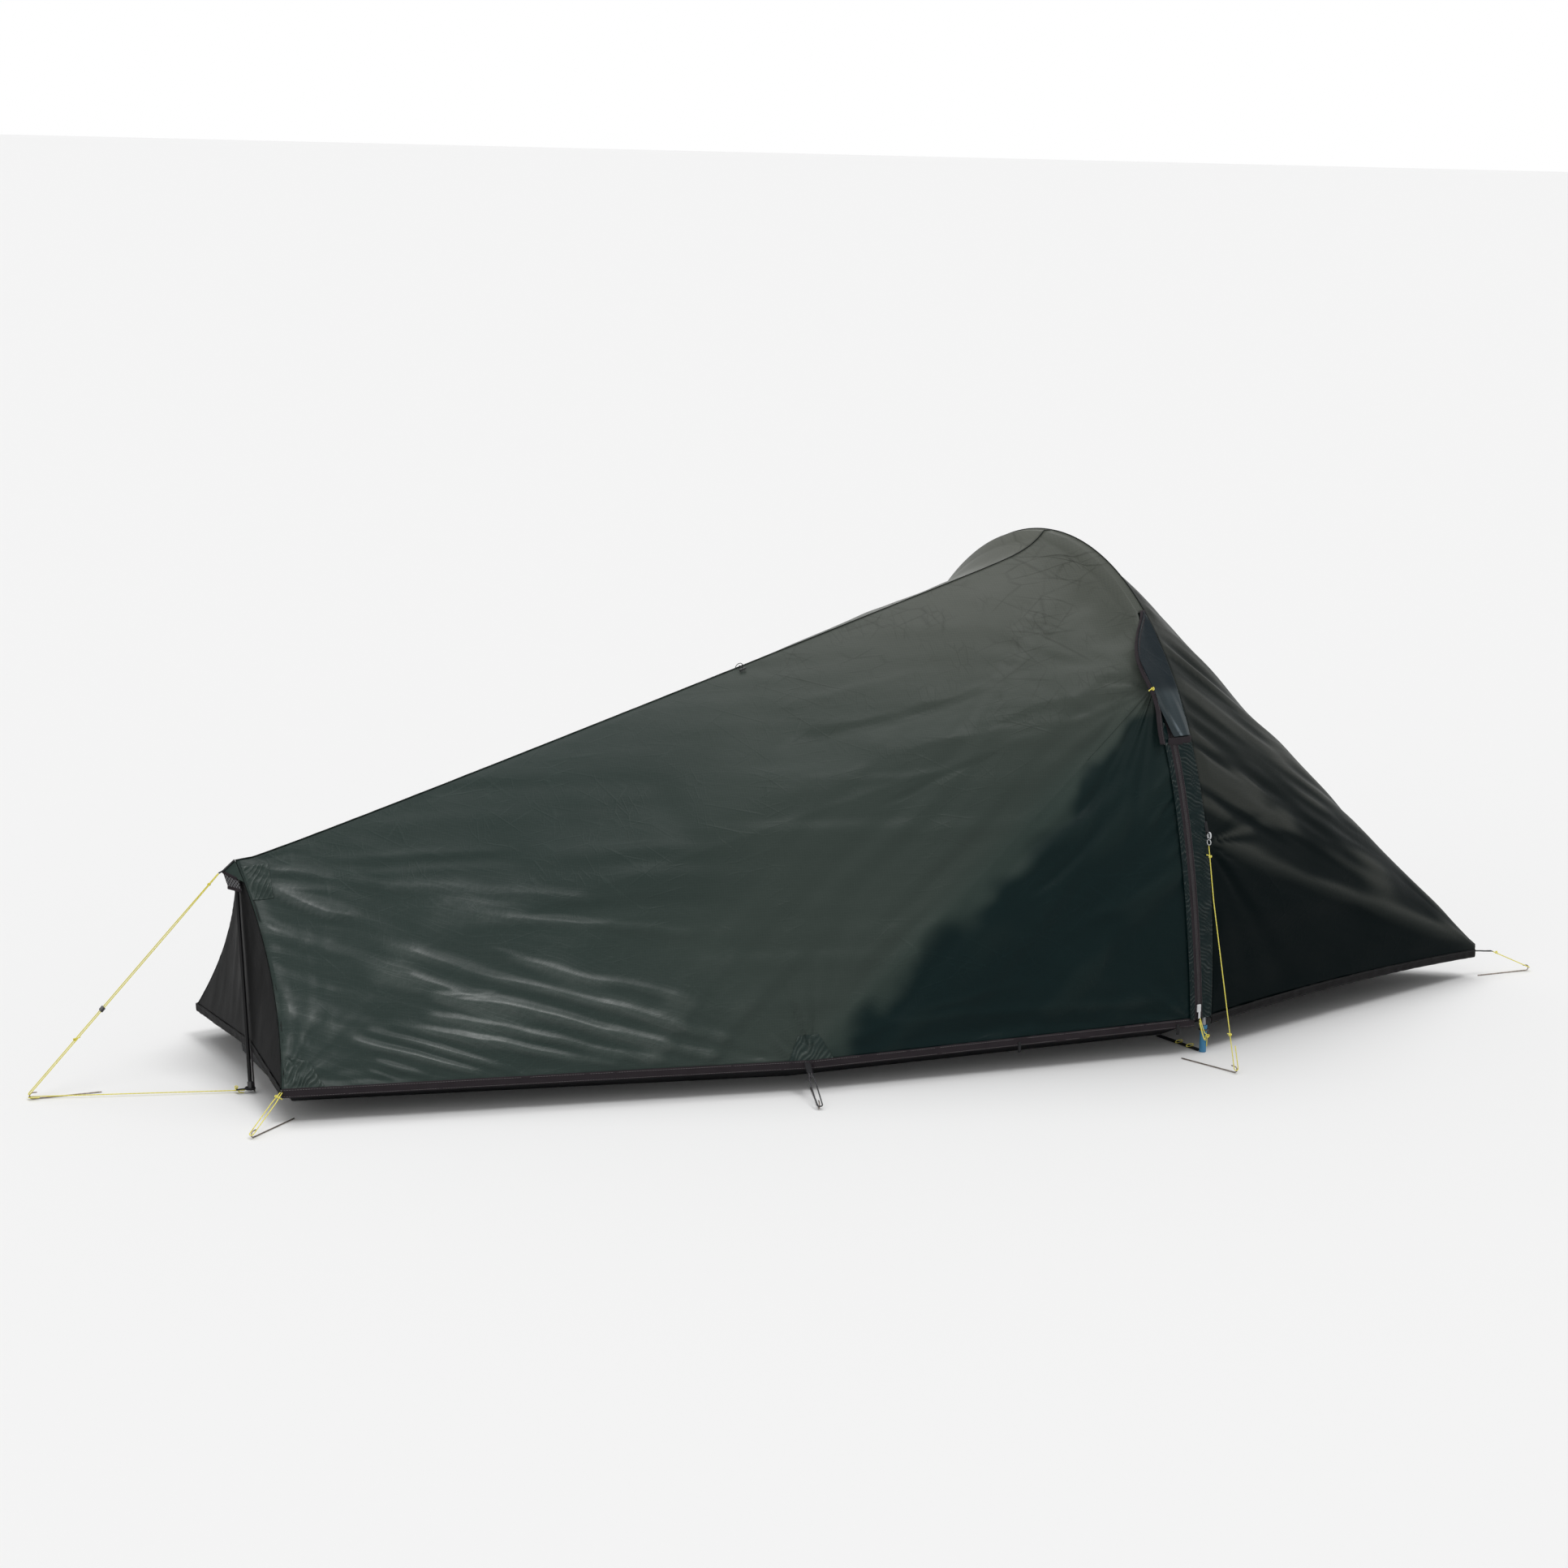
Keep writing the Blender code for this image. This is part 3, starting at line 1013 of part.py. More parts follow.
strut_cord_start = Vector((STRUT_FOOT.x - STRUT_CAP_RADIUS - CORD_RADIUS - CORD_TURN, STRUT_FOOT.y, STRUT_CORD_LEVEL))
strut_cord = round_peg(strut_cord_start, FOOT_PEG, STRUT_CORD_LEVEL, CORD_RADIUS, CORD_TURN, CORD_TURN, 0.08, 24)
tube("strut_foot_cord", strut_cord, CORD_RADIUS, CORD, 2)

corner_start = CORNERS[NEAR] + Vector((0.0001, -0.0001, -0.004))
corner_loop = round_peg(corner_start, CORNER_PEG, HOOK_LEVEL, CORD_RADIUS, STRAND_SPREAD, CORD_TURN, steps=8)
tube("corner_loop", corner_loop, CORD_RADIUS, CORD, 2)
tab_side = (CORNERS[NEAR] - MID_POINTS[NEAR]).normalized()
tab_half = tab_side * MID_TAB_WIDTH / 2
tab_top = MID_POINTS[NEAR] + tab_side * MID_TAB_WIDTH - UP * JOIN_GAP + Vector((0, -TAPE / 2, 0))
tab_run = (MID_PEG + UP * HOOK_LEVEL - tab_top).normalized()
tab_low = tab_top + tab_run * MID_TAB_LENGTH
strip("mid_peg_tab", [tab_top - tab_half, tab_low - tab_half], tab_half * 2, WEBBING)
mid_start = tab_low + tab_run * TOUCH_GAP * 2
mid_loop = round_peg(mid_start, MID_PEG, HOOK_LEVEL, ELASTIC_RADIUS, STRAND_SPREAD, ELASTIC_TURN, steps=8)
tube("mid_loop", mid_loop, ELASTIC_RADIUS, ELASTIC, 2)

ring_low = RING_CENTRES[NEAR] - UP * (PULL_RING_RADIUS + PULL_RING_WIRE + TOUCH_GAP)
hoop_guy = round_peg(ring_low, GUY_PEG, HOOK_LEVEL, CORD_RADIUS, 0.0, CORD_TURN, 0.10, 20)
tube("hoop_guy", hoop_guy, CORD_RADIUS, CORD, 2)

webbing_half = Vector((0, NOSE_WEBBING_WIDTH / 2, 0))
webbing_start = NOSE + Vector((-NOSE_TIP_CUT + 0.004, 0, -0.001))
webbing_end = Vector((NOSE.x + NOSE_WEBBING_REACH, NOSE.y, NOSE.z - 0.006))
strip("nose_webbing", [point - webbing_half for point in (webbing_start, webbing_end)], webbing_half * 2, WEBBING)
nose_run = (NOSE_PEG + UP * HOOK_LEVEL - webbing_end).normalized()
nose_loop = round_peg(webbing_end + nose_run * (CORD_RADIUS * 0.6 + TOUCH_GAP), NOSE_PEG, HOOK_LEVEL, CORD_RADIUS,
                      STRAND_SPREAD, CORD_TURN, steps=9)
tube("nose_cord", nose_loop, CORD_RADIUS, CORD, 2)
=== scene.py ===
"""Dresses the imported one-person tent: cloth, tapes, zip, cords and fittings over the fixed frame."""
import math

import bpy
import bmesh
import numpy as np
from mathutils import Matrix, Vector, kdtree


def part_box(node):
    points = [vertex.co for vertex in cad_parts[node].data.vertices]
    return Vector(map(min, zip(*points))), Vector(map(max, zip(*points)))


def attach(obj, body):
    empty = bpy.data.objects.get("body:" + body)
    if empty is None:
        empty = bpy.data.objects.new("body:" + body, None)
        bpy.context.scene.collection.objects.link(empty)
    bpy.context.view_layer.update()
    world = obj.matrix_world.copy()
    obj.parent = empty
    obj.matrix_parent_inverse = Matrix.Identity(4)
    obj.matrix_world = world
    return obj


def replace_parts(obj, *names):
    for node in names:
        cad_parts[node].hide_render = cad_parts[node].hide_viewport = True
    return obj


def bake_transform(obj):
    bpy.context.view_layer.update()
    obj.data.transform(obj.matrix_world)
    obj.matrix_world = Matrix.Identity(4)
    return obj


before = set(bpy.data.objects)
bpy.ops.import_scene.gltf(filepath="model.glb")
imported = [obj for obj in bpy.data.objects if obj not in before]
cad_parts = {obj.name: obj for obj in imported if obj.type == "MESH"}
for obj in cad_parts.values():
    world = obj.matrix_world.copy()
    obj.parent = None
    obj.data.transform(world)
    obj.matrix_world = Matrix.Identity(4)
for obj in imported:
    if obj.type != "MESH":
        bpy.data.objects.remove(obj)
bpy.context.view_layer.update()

# The view: a studio floor and backdrop in pale grey, soft light from above, and a camera
# low on the door side at the foot end, turned a little towards the hoop.
CAMERA_SPOT = Vector((-2.9585, -5.990, 1.8905))
CAMERA_TURN, CAMERA_DIP, CAMERA_ROLL = 0.429, 0.206, 0.024
CAMERA_FOCAL, SENSOR = 75.205, 36.0
AXIS_SHIFT = -11.7 / 1932

looking = Vector((math.sin(CAMERA_TURN) * math.cos(CAMERA_DIP), math.cos(CAMERA_TURN) * math.cos(CAMERA_DIP),
                  -math.sin(CAMERA_DIP)))
level = Vector((math.cos(CAMERA_TURN), -math.sin(CAMERA_TURN), 0))
upright = level.cross(looking)
rolled_side = level * math.cos(CAMERA_ROLL) + upright * math.sin(CAMERA_ROLL)
rolled_up = upright * math.cos(CAMERA_ROLL) - level * math.sin(CAMERA_ROLL)
camera = bpy.data.objects.new("camera", bpy.data.cameras.new("camera"))
bpy.context.scene.collection.objects.link(camera)
camera_turn = Matrix((rolled_side, rolled_up, -looking)).transposed().to_4x4()
camera.matrix_world = Matrix.Translation(CAMERA_SPOT) @ camera_turn
camera.data.lens, camera.data.sensor_width, camera.data.shift_y = CAMERA_FOCAL, SENSOR, AXIS_SHIFT
camera.data.clip_start, camera.data.clip_end = 0.1, 100
bpy.context.scene.camera = camera
bpy.context.scene.view_settings.view_transform = "Standard"


class Value:
    """A value in a material, which sums and products can be written with."""

    def __init__(self, finish, socket):
        self.finish, self.socket = finish, socket

    def maths(self, operation, *others):
        return self.finish.node("Math", {"operation": operation}, dict(enumerate((self, *others))))

    def __add__(self, other):
        return self.maths("ADD", other)

    def __sub__(self, other):
        return self.maths("SUBTRACT", other)

    def __rsub__(self, other):
        return self.finish.node("Math", {"operation": "SUBTRACT"}, {0: other, 1: self})

    def __mul__(self, other):
        return self.maths("MULTIPLY", other)

    __radd__, __rmul__ = __add__, __mul__


class Finish:
    """A material that is put together from nodes around one Principled shader."""

    def __init__(self, name, roughness=0.5, metallic=0.0, **constants):
        self.material = bpy.data.materials.new(name)
        self.material.use_nodes = True
        self.tree = self.material.node_tree
        self.shader = self.tree.nodes["Principled BSDF"]
        self.set(Roughness=roughness, Metallic=metallic, **constants)

    def node(self, kind, settings=None, inputs=None, output=0):
        made = self.tree.nodes.new("ShaderNode" + kind)
        for key, value in (settings or {}).items():
            if key == "stops":
                ramp = made.color_ramp
                while len(ramp.elements) < len(value):
                    ramp.elements.new(0.5)
                for stop, (place, shade) in zip(ramp.elements, value):
                    stop.position = place
                    stop.color = (*shade, 1) if isinstance(shade, tuple) else (shade, shade, shade, 1)
            else:
                setattr(made, key, value)
        for key, value in (inputs or {}).items():
            self.feed(made.inputs[key], value)
        return Value(self, made.outputs[output])

    def feed(self, socket, value):
        if isinstance(value, Value):
            self.tree.links.new(value.socket, socket)
        elif isinstance(value, tuple) and len(value) == 3 and socket.type == "RGBA":
            socket.default_value = (*value, 1)
        else:
            socket.default_value = value

    def set(self, **inputs):
        for key, value in inputs.items():
            self.feed(self.shader.inputs[key.replace("_", " ")], value)

    def place(self, stretch=(1, 1, 1), turn=(0, 0, 0), source="Object"):
        spot = self.node("TexCoord", output=source)
        return self.node("Mapping", {}, {"Vector": spot, "Scale": stretch, "Rotation": turn})

    def run(self):
        """The place on the cloth, tape or cord, then how far along and how far across it that is."""
        spot = self.node("UVMap", {"uv_map": "run"})
        parts = self.node("SeparateXYZ", {}, {0: spot}).socket.node.outputs
        return spot, Value(self, parts[0]), Value(self, parts[1])

    def threads(self, spot, scale):
        """A grid of threads, along the cloth and across it."""
        warp, weft = (self.node("TexWave", {"bands_direction": way}, {"Vector": spot, "Scale": scale})
                      for way in "XY")
        return warp.maths("MAXIMUM", weft)

    def laid(self, spot, turn, long, wide):
        """The place in a texture whose cells are long and wide by these, turned by so many degrees."""
        return self.node("Mapping", {"vector_type": "TEXTURE"},
                         {"Vector": spot, "Rotation": (0, 0, math.radians(turn)), "Scale": (long, wide, 1)})

    def noise(self, scale, detail=3, roughness=0.5, where=None):
        return self.node("TexNoise", {}, {"Vector": where or self.place(), "Scale": scale, "Detail": detail,
                                          "Roughness": roughness})

    def ramp(self, value, *stops):
        return self.node("ValToRGB", {"stops": stops}, {0: value})

    def mix(self, share, first, second, kind="MIX"):
        return self.node("Mix", {"data_type": "RGBA", "blend_type": kind}, {0: share, 6: first, 7: second}, 2)

    def worn(self, scale, detail, share, fresh, faded, *shines):
        """Two colours in uneven patches, and a shine that changes with them."""
        wear = self.noise(scale, detail)
        self.set(Base_Color=self.mix(wear * share if share < 1 else wear, fresh, faded))
        if shines:
            self.set(Roughness=self.ramp(wear, *shines))
        return wear

    def bump(self, height, distance, strength=1.0, under=None):
        inputs = {"Height": height, "Distance": distance, "Strength": strength}
        if under:
            inputs["Normal"] = under
        return self.node("Bump", {}, inputs)


def paint(finish, *nodes):
    """Give solids of the frame that are shown as they are this finish."""
    for node in nodes:
        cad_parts[node].material_slots[0].material = finish


FLOOR_REACH, FLOOR_DROP = 120, 0.0005
floor_corners = [(-FLOOR_REACH, -FLOOR_REACH), (FLOOR_REACH, -FLOOR_REACH), (FLOOR_REACH, FLOOR_REACH),
                 (-FLOOR_REACH, FLOOR_REACH)]
floor_mesh = bpy.data.meshes.new("studio_floor")
floor_mesh.from_pydata([(x, y, -FLOOR_DROP) for x, y in floor_corners], [], [(0, 1, 2, 3)])
studio_floor = bpy.data.objects.new("studio_floor", floor_mesh)
bpy.context.scene.collection.objects.link(studio_floor)
floor_finish = Finish("studio_floor", 1.0, Base_Color=(0.86, 0.86, 0.86), Specular_IOR_Level=0.0)
floor_mesh.materials.append(floor_finish.material)

world = bpy.data.worlds.new("studio")
bpy.context.scene.world = world
world.use_nodes = True
world_tree = world.node_tree
world_tree.nodes.clear()
add_node, add_link = world_tree.nodes.new, world_tree.links.new
room, backdrop = add_node("ShaderNodeBackground"), add_node("ShaderNodeBackground")
room.inputs["Color"].default_value, room.inputs["Strength"].default_value = (1, 1, 1, 1), 0.38
backdrop.inputs["Color"].default_value = (1, 1, 1, 1)
ray = add_node("ShaderNodeLightPath")
shown = add_node("ShaderNodeMixShader")
world_out = add_node("ShaderNodeOutputWorld")
seen = ray.outputs["Is Camera Ray"]
for kind in ("Is Glossy Ray", "Is Transmission Ray"):
    either = add_node("ShaderNodeMath")
    either.operation = "MAXIMUM"
    add_link(seen, either.inputs[0])
    add_link(ray.outputs[kind], either.inputs[1])
    seen = either.outputs[0]
add_link(seen, shown.inputs[0])
add_link(room.outputs[0], shown.inputs[1])
add_link(backdrop.outputs[0], shown.inputs[2])
add_link(shown.outputs[0], world_out.inputs["Surface"])


def soft_light(name, towards, strength, spread):
    """Even, parallel light from a wide bright patch; towards points from the tent to it."""
    lamp = bpy.data.objects.new(name, bpy.data.lights.new(name, "SUN"))
    lamp.data.energy, lamp.data.angle = strength, math.radians(spread)
    lamp.rotation_euler = Vector(towards).to_track_quat("Z", "Y").to_euler()
    bpy.context.scene.collection.objects.link(lamp)


soft_light("overhead", (-0.05, 0.30, 0.95), 1.0, 45)
soft_light("high_front", (0.18, -0.32, 0.93), 1.0, 22)
soft_light("low_front", (-0.75, -0.75, 0.45), 0.60, 70)


# Pegs and guy lines. Each line is a braided yellow cord of 2 mm with pale flecks, tied to the tent
# and laid round the hook of a bent wire peg; the middle of the hem has a loop of dark grey elastic instead.
UP = Vector((0, 0, 1))
GROUND = Vector((1, 1, 0))
NEAR, FAR = -1, 1
TOUCH_GAP, SEAM_GAP, JOIN_GAP = 0.0003, 0.0006, 0.0008
TAPE, CLOTH = 0.0010, 0.0008
FOOT_X, HOOP_X, NOSE_X = -1.3835, 0.3845, 1.3835
FOOT_Y, STRUT_Y = -0.047, -0.143
NOSE = Vector((NOSE_X, -0.232, 0.060))
RIDGE_END = Vector((FOOT_X, FOOT_Y, 0.432))
CORNERS = {side: Vector((FOOT_X, FOOT_Y + side * 0.3085, 0.066)) for side in (NEAR, FAR)}
MIDDLES = {NEAR: Vector((-0.3745, -0.506, 0.061)), FAR: Vector((-0.4155, 0.470, 0.061))}
HOOP_TURN = math.radians(12.1)
HOOP_AHEAD = Vector((math.cos(HOOP_TURN), math.sin(HOOP_TURN), 0))
HOOP_ACROSS = Vector((-math.sin(HOOP_TURN), math.cos(HOOP_TURN), 0))
HOOP_CENTRE = Vector((HOOP_X, 0, 0))
HOOP_HALF, HOOP_SIDE_POWER, HOOP_CROWN_POWER = 0.548, 2.04, 2.385
RING_HEIGHT, RING_RADIUS, RING_WIRE = 0.430, 0.0055, 0.0010
CORD_R, ELASTIC_R = 0.0010, 0.0013
PEG_R, HOOK_R = 0.00125, 0.0060
CORD_TURN, ELASTIC_TURN, STRAND_SPREAD = 0.0042, 0.0054, 0.0020
STRUT_CAP_REACH, TRAY_AT_HOOP = 0.0056, 0.403
HOOD_TIP = RIDGE_END + Vector((-0.024, 0, -0.020))
LINK_LIFT = UP * (TAPE / 2 + 2 * TOUCH_GAP)
LINK_END = HOOD_TIP + Vector((-0.008, 0, -0.004)) + LINK_LIFT


def lerp(start, end, share):
    return start + (end - start) * share


def steps(start, end, count):
    return [start + (end - start) * index / count for index in range(count + 1)]


def evenly(count):
    return steps(0, 1, count)


def bent_line(start, middle, end, first, second):
    """Evenly spaced points from the start to the middle, then on to the end."""
    onward = [lerp(middle, end, part) for part in evenly(second)[1:]]
    return [lerp(start, middle, part) for part in evenly(first)] + onward


def oval(centre, wide, high, angles):
    return [centre + wide * math.cos(angle) + high * math.sin(angle) for angle in angles]


def banded(line, half):
    """The two edges of a flat tape along a line, as pairs of points; half is half of its width."""
    return [(spot - half, spot + half) for spot in line]


def hoop_point(side, angle, inset=0.0, ahead=0.0):
    """A point of the hoop's outer line, 0 at that side's foot and a quarter turn at the crown."""
    across = (HOOP_HALF - inset) * abs(math.cos(angle)) ** (2 / HOOP_SIDE_POWER)
    height = (1 - inset) * abs(math.sin(angle)) ** (2 / HOOP_CROWN_POWER)
    return HOOP_CENTRE + HOOP_AHEAD * ahead + HOOP_ACROSS * side * across + UP * height


def hoop_angle(height, inset=0.0):
    return math.asin(min(1.0, height / (1 - inset)) ** (HOOP_CROWN_POWER / 2))


def hoop_at(side, height, inset=0.0, ahead=0.0):
    return hoop_point(side, hoop_angle(height, inset), inset, ahead)


def make_piece(name, verts, faces, finish, body="tent", uv=None, smooth=True):
    """A mesh piece that rides a body; uv gives each vertex its place in metres on the cloth or cord."""
    mesh = bpy.data.meshes.new(name)
    mesh.from_pydata([tuple(v) for v in verts], [], [tuple(f) for f in faces])
    if uv is not None:
        layer = mesh.uv_layers.new(name="run")
        spots = np.array([uv[loop.vertex_index] for loop in mesh.loops], np.float32)
        layer.data.foreach_set("uv", spots.ravel())
    mesh.polygons.foreach_set("use_smooth", [smooth] * len(mesh.polygons))
    mesh.materials.append(finish)
    piece = bpy.data.objects.new(name, mesh)
    bpy.context.scene.collection.objects.link(piece)
    if body:
        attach(piece, body)
    return piece


def tube_shell(route, radius, sides=10, spacing=0.003, radii=None, closed=False):
    """Points, faces and UV of a round tube along a route, its ends closed."""
    route = [Vector(p) for p in route]
    if closed:
        route = route + route[:1]
    spots, runs, sizes, run = [], [], [], 0.0
    for index, (start, end) in enumerate(zip(route, route[1:])):
        reach = (end - start).length
        count = max(1, round(reach / spacing))
        for part in range(count):
            share = part / count
            spots.append(lerp(start, end, share))
            runs.append(run + reach * share)
            sizes.append(lerp(radii[index], radii[index + 1], share) if radii else radius)
        run += reach
    if not closed:
        spots.append(route[-1])
        runs.append(run)
        sizes.append(radii[-1] if radii else radius)
    count = len(spots)
    verts, uv, faces = [], [], []
    normal = None
    for index, spot in enumerate(spots):
        before = spots[index - 1] if index or closed else spot
        after = spots[(index + 1) % count] if index + 1 < count or closed else spot
        along = (after - before).normalized()
        if normal is None:
            normal = along.orthogonal().normalized()
        normal = (normal - along * normal.dot(along)).normalized()
        side = along.cross(normal)
        for corner in range(sides):
            about = 2 * math.pi * corner / sides
            verts.append(spot + (normal * math.cos(about) + side * math.sin(about)) * sizes[index])
            uv.append((runs[index], corner / sides))
    rings = count if closed else count - 1
    for index in range(rings):
        low, high = index * sides, (index + 1) % count * sides
        for corner in range(sides):
            following = (corner + 1) % sides
            faces.append((low + corner, low + following, high + following, high + corner))
    if not closed:
        faces.append(tuple(range(sides))[::-1])
        faces.append(tuple(range((count - 1) * sides, count * sides)))
    return verts, faces, uv


def make_tube(name, route, radius, finish, body="tent", **shape):
    verts, faces, uv = tube_shell(route, radius, **shape)
    piece = make_piece(name, verts, faces, finish, body, uv)
    for end in piece.data.polygons[-2:]:
        end.use_smooth = shape.get("closed", False)
    return piece


def braided(name, colour, fleck, fleck_share, pitch, roughness):
    """A braided cord: two crossing sets of strands, some of them in the fleck's colour."""
    finish = Finish(name, roughness, Specular_IOR_Level=0.15)
    run, turn = finish.run()[1:]
    one = (run * (1 / pitch) + turn * 2).maths("FRACT")
    two = (run * (1 / pitch) - turn * 2).maths("FRACT")
    strands = (one * math.pi).maths("SINE").maths("MAXIMUM", (two * math.pi).maths("SINE"))
    flecks = (run * (1 / pitch) - turn * 2 + 0.25).maths("FRACT").maths("LESS_THAN", fleck_share)
    flecks = flecks * (run * (0.5 / pitch) + turn).maths("FRACT").maths("LESS_THAN", 0.5)
    soil = finish.noise(60, 3)
    body = finish.mix(soil * 0.5, colour, tuple(c * 0.55 for c in colour))
    finish.set(Base_Color=finish.mix(flecks, body, fleck))
    finish.set(Normal=finish.bump(strands, 0.00035, 0.9),
               Roughness=finish.ramp(soil, (0.2, roughness - 0.1), (0.8, roughness)))
    return finish.material


YELLOW_CORD = braided("yellow_cord", (0.88, 0.78, 0.10), (0.92, 0.90, 0.62), 0.25, 0.0042, 0.72)
GREY_ELASTIC = braided("grey_elastic", (0.085, 0.085, 0.090), (0.020, 0.020, 0.022), 0.35, 0.0034, 0.85)

PEG_METAL = Finish("peg_titanium", 0.36, 1.0)
drawn = PEG_METAL.noise(160, 3, 0.6, PEG_METAL.place((1, 1, 0.4)))
PEG_METAL.set(Base_Color=PEG_METAL.ramp(drawn, (0.3, (0.17, 0.14, 0.12)), (0.7, (0.38, 0.33, 0.29))),
              Roughness=PEG_METAL.ramp(drawn, (0.2, 0.26), (0.8, 0.48)),
              Normal=PEG_METAL.bump(drawn, 0.0001, 0.4))
paint(PEG_METAL.material, "peg_foot", "peg_corner", "peg_mid", "peg_hoop", "peg_nose")


def round_peg(start, peg_head, height, radius, spread, turn, back=1.0, count=12):
    """A cord's route out to a peg's hook and back, with a round turn behind the hook's wire."""
    level = height - PEG_R - HOOK_R
    hook_reach = PEG_R + math.sqrt(HOOK_R ** 2 - level ** 2)
    ground_run = ((peg_head - start) * GROUND).normalized()
    far_point = peg_head * GROUND + UP * height + ground_run * (hook_reach + radius + TOUCH_GAP)
    run = (far_point - start).normalized()
    across = run.cross(UP).normalized()
    bend = far_point - run * turn
    shares = evenly(count)
    widths = [lerp(spread, turn, min(1, share * 4)) for share in shares]
    out = [lerp(start, bend, share) + across * width for share, width in zip(shares, widths)]
    around = oval(bend, across * turn, run * turn, steps(0, math.pi, 8)[1:-1])
    home = [lerp(start, bend, share) - across * width for share, width in zip(shares, widths)
            if share >= 1 - back]
    return out + around + home[::-1]


def knot(name, centre, along, size, radius, finish=YELLOW_CORD, tail=0.0):
    """An overhand knot drawn tight, with its loose end."""
    along = Vector(along).normalized()
    side = along.orthogonal().normalized()
    third = along.cross(side)
    loops = []
    for index in range(36):
        t = 2 * math.pi * index / 36
        spot = (math.sin(t) + 2 * math.sin(2 * t), math.cos(t) - 2 * math.cos(2 * t), -math.sin(3 * t))
        loop = Vector(centre) + (side * spot[0] + third * spot[1] * 0.8 + along * spot[2] * 1.5) * size / 6
        loops.append(Vector((loop.x, loop.y, max(loop.z, 1.2 * radius))))
    verts, faces, uv = tube_shell(loops, radius, sides=8, spacing=0.002, closed=True)
    if tail:
        run = (side * 0.5 - along * 0.7 - UP * 0.5).normalized()
        end = [Vector(centre) + run * tail * share - UP * tail * 0.25 * share ** 2 for share in evenly(5)]
        end = [Vector((spot.x, spot.y, max(spot.z, 1.2 * radius))) for spot in end]
        more, sides_more, uv_more = tube_shell(end, radius, sides=8)
        faces += [tuple(v + len(verts) for v in face) for face in sides_more]
        verts, uv = verts + more, uv + uv_more
    return make_piece(name, verts, faces, finish, "tent", uv)


def guy_line(node, route, radius, finish=YELLOW_CORD):
    """Dress one cord over its solid."""
    cord = make_tube(node + "_braid", route, radius, finish)
    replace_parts(cord, node)
    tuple(route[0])
    2 * radius
    return cord


foot_peg = (RIDGE_END + Vector((-0.393, 0, 0))) * GROUND
HOOK_LEVEL = PEG_R + HOOK_R
guy_run = (foot_peg + UP * HOOK_LEVEL - LINK_END).normalized()
foot_route = round_peg(LINK_END + guy_run * (CORD_R / 2 + TOUCH_GAP), foot_peg, HOOK_LEVEL + 0.003, CORD_R,
                       STRAND_SPREAD, CORD_TURN, count=20)
foot_knots = [knot("foot_guy_knot_low", lerp(foot_route[15], foot_route[16], 0.2) - UP * 0.001, guy_run,
                   0.0075, CORD_R, tail=0.018),
              knot("foot_guy_knot_high", foot_route[1] + Vector((0, -0.002, 0)), guy_run, 0.0060, CORD_R)]
guy_line("foot_guy_cord", foot_route, CORD_R)

strut_start = Vector((FOOT_X - STRUT_CAP_REACH - CORD_R - CORD_TURN, STRUT_Y, 0.0042))
strut_route = round_peg(strut_start, foot_peg, 0.0042, CORD_R, CORD_TURN, CORD_TURN, 0.08, 24)
strut_knot = knot("strut_cord_knot", strut_route[1] + Vector((0, -0.001, 0.0042)), (-1, 0.1, 0), 0.010,
                  CORD_R, tail=0.022)
guy_line("strut_foot_cord", strut_route, CORD_R)

corner_peg = (CORNERS[NEAR] + Vector((-0.0685, -0.0565, 0))) * GROUND
corner_route = round_peg(CORNERS[NEAR] + Vector((0.0001, -0.0001, -0.004)), corner_peg, HOOK_LEVEL, CORD_R,
                         STRAND_SPREAD, CORD_TURN, count=8)
corner_knot = knot("corner_loop_knot", corner_route[1] + Vector((0, -0.002, 0.002)),
                   corner_peg - CORNERS[NEAR], 0.0065, CORD_R, tail=0.012)
guy_line("corner_loop", corner_route, CORD_R)

mid_peg = (MIDDLES[NEAR] + Vector((-0.0325, -0.102, 0))) * GROUND
tab_side = (CORNERS[NEAR] - MIDDLES[NEAR]).normalized()
tab_top = MIDDLES[NEAR] + tab_side * 0.012 - UP * JOIN_GAP + Vector((0, -TAPE / 2, 0))
tab_run = (mid_peg + UP * HOOK_LEVEL - tab_top).normalized()
tab_low = tab_top + tab_run * 0.030
mid_route = round_peg(tab_low + tab_run * TOUCH_GAP * 2, mid_peg, HOOK_LEVEL, ELASTIC_R, STRAND_SPREAD,
                      ELASTIC_TURN, count=8)
mid_knot = knot("mid_loop_knot", mid_route[1] + Vector((0.002, -0.001, 0)), tab_run, 0.0075, CORD_R,
                GREY_ELASTIC, tail=0.014)
guy_line("mid_loop", mid_route, ELASTIC_R, GREY_ELASTIC)

hoop_peg = hoop_point(NEAR, 0) - Vector((0.0294, 0.144, 0))
ring_spot = hoop_at(NEAR, RING_HEIGHT) - HOOP_ACROSS * (RING_RADIUS + RING_WIRE)
ring_low = ring_spot - UP * (RING_RADIUS + RING_WIRE + TOUCH_GAP)
hoop_route = round_peg(ring_low, hoop_peg, HOOK_LEVEL, CORD_R, 0.0, CORD_TURN, 0.10, 20)
hoop_knots = [knot("hoop_guy_knot_high", hoop_route[1] + Vector((0.001, 0, 0)), (0, -0.3, -1), 0.0070, CORD_R,
                   tail=0.016),
              knot("hoop_guy_knot_low", hoop_route[17], (0, -0.3, -1), 0.0070, CORD_R, tail=0.012)]
guy_line("hoop_guy", hoop_route, CORD_R)

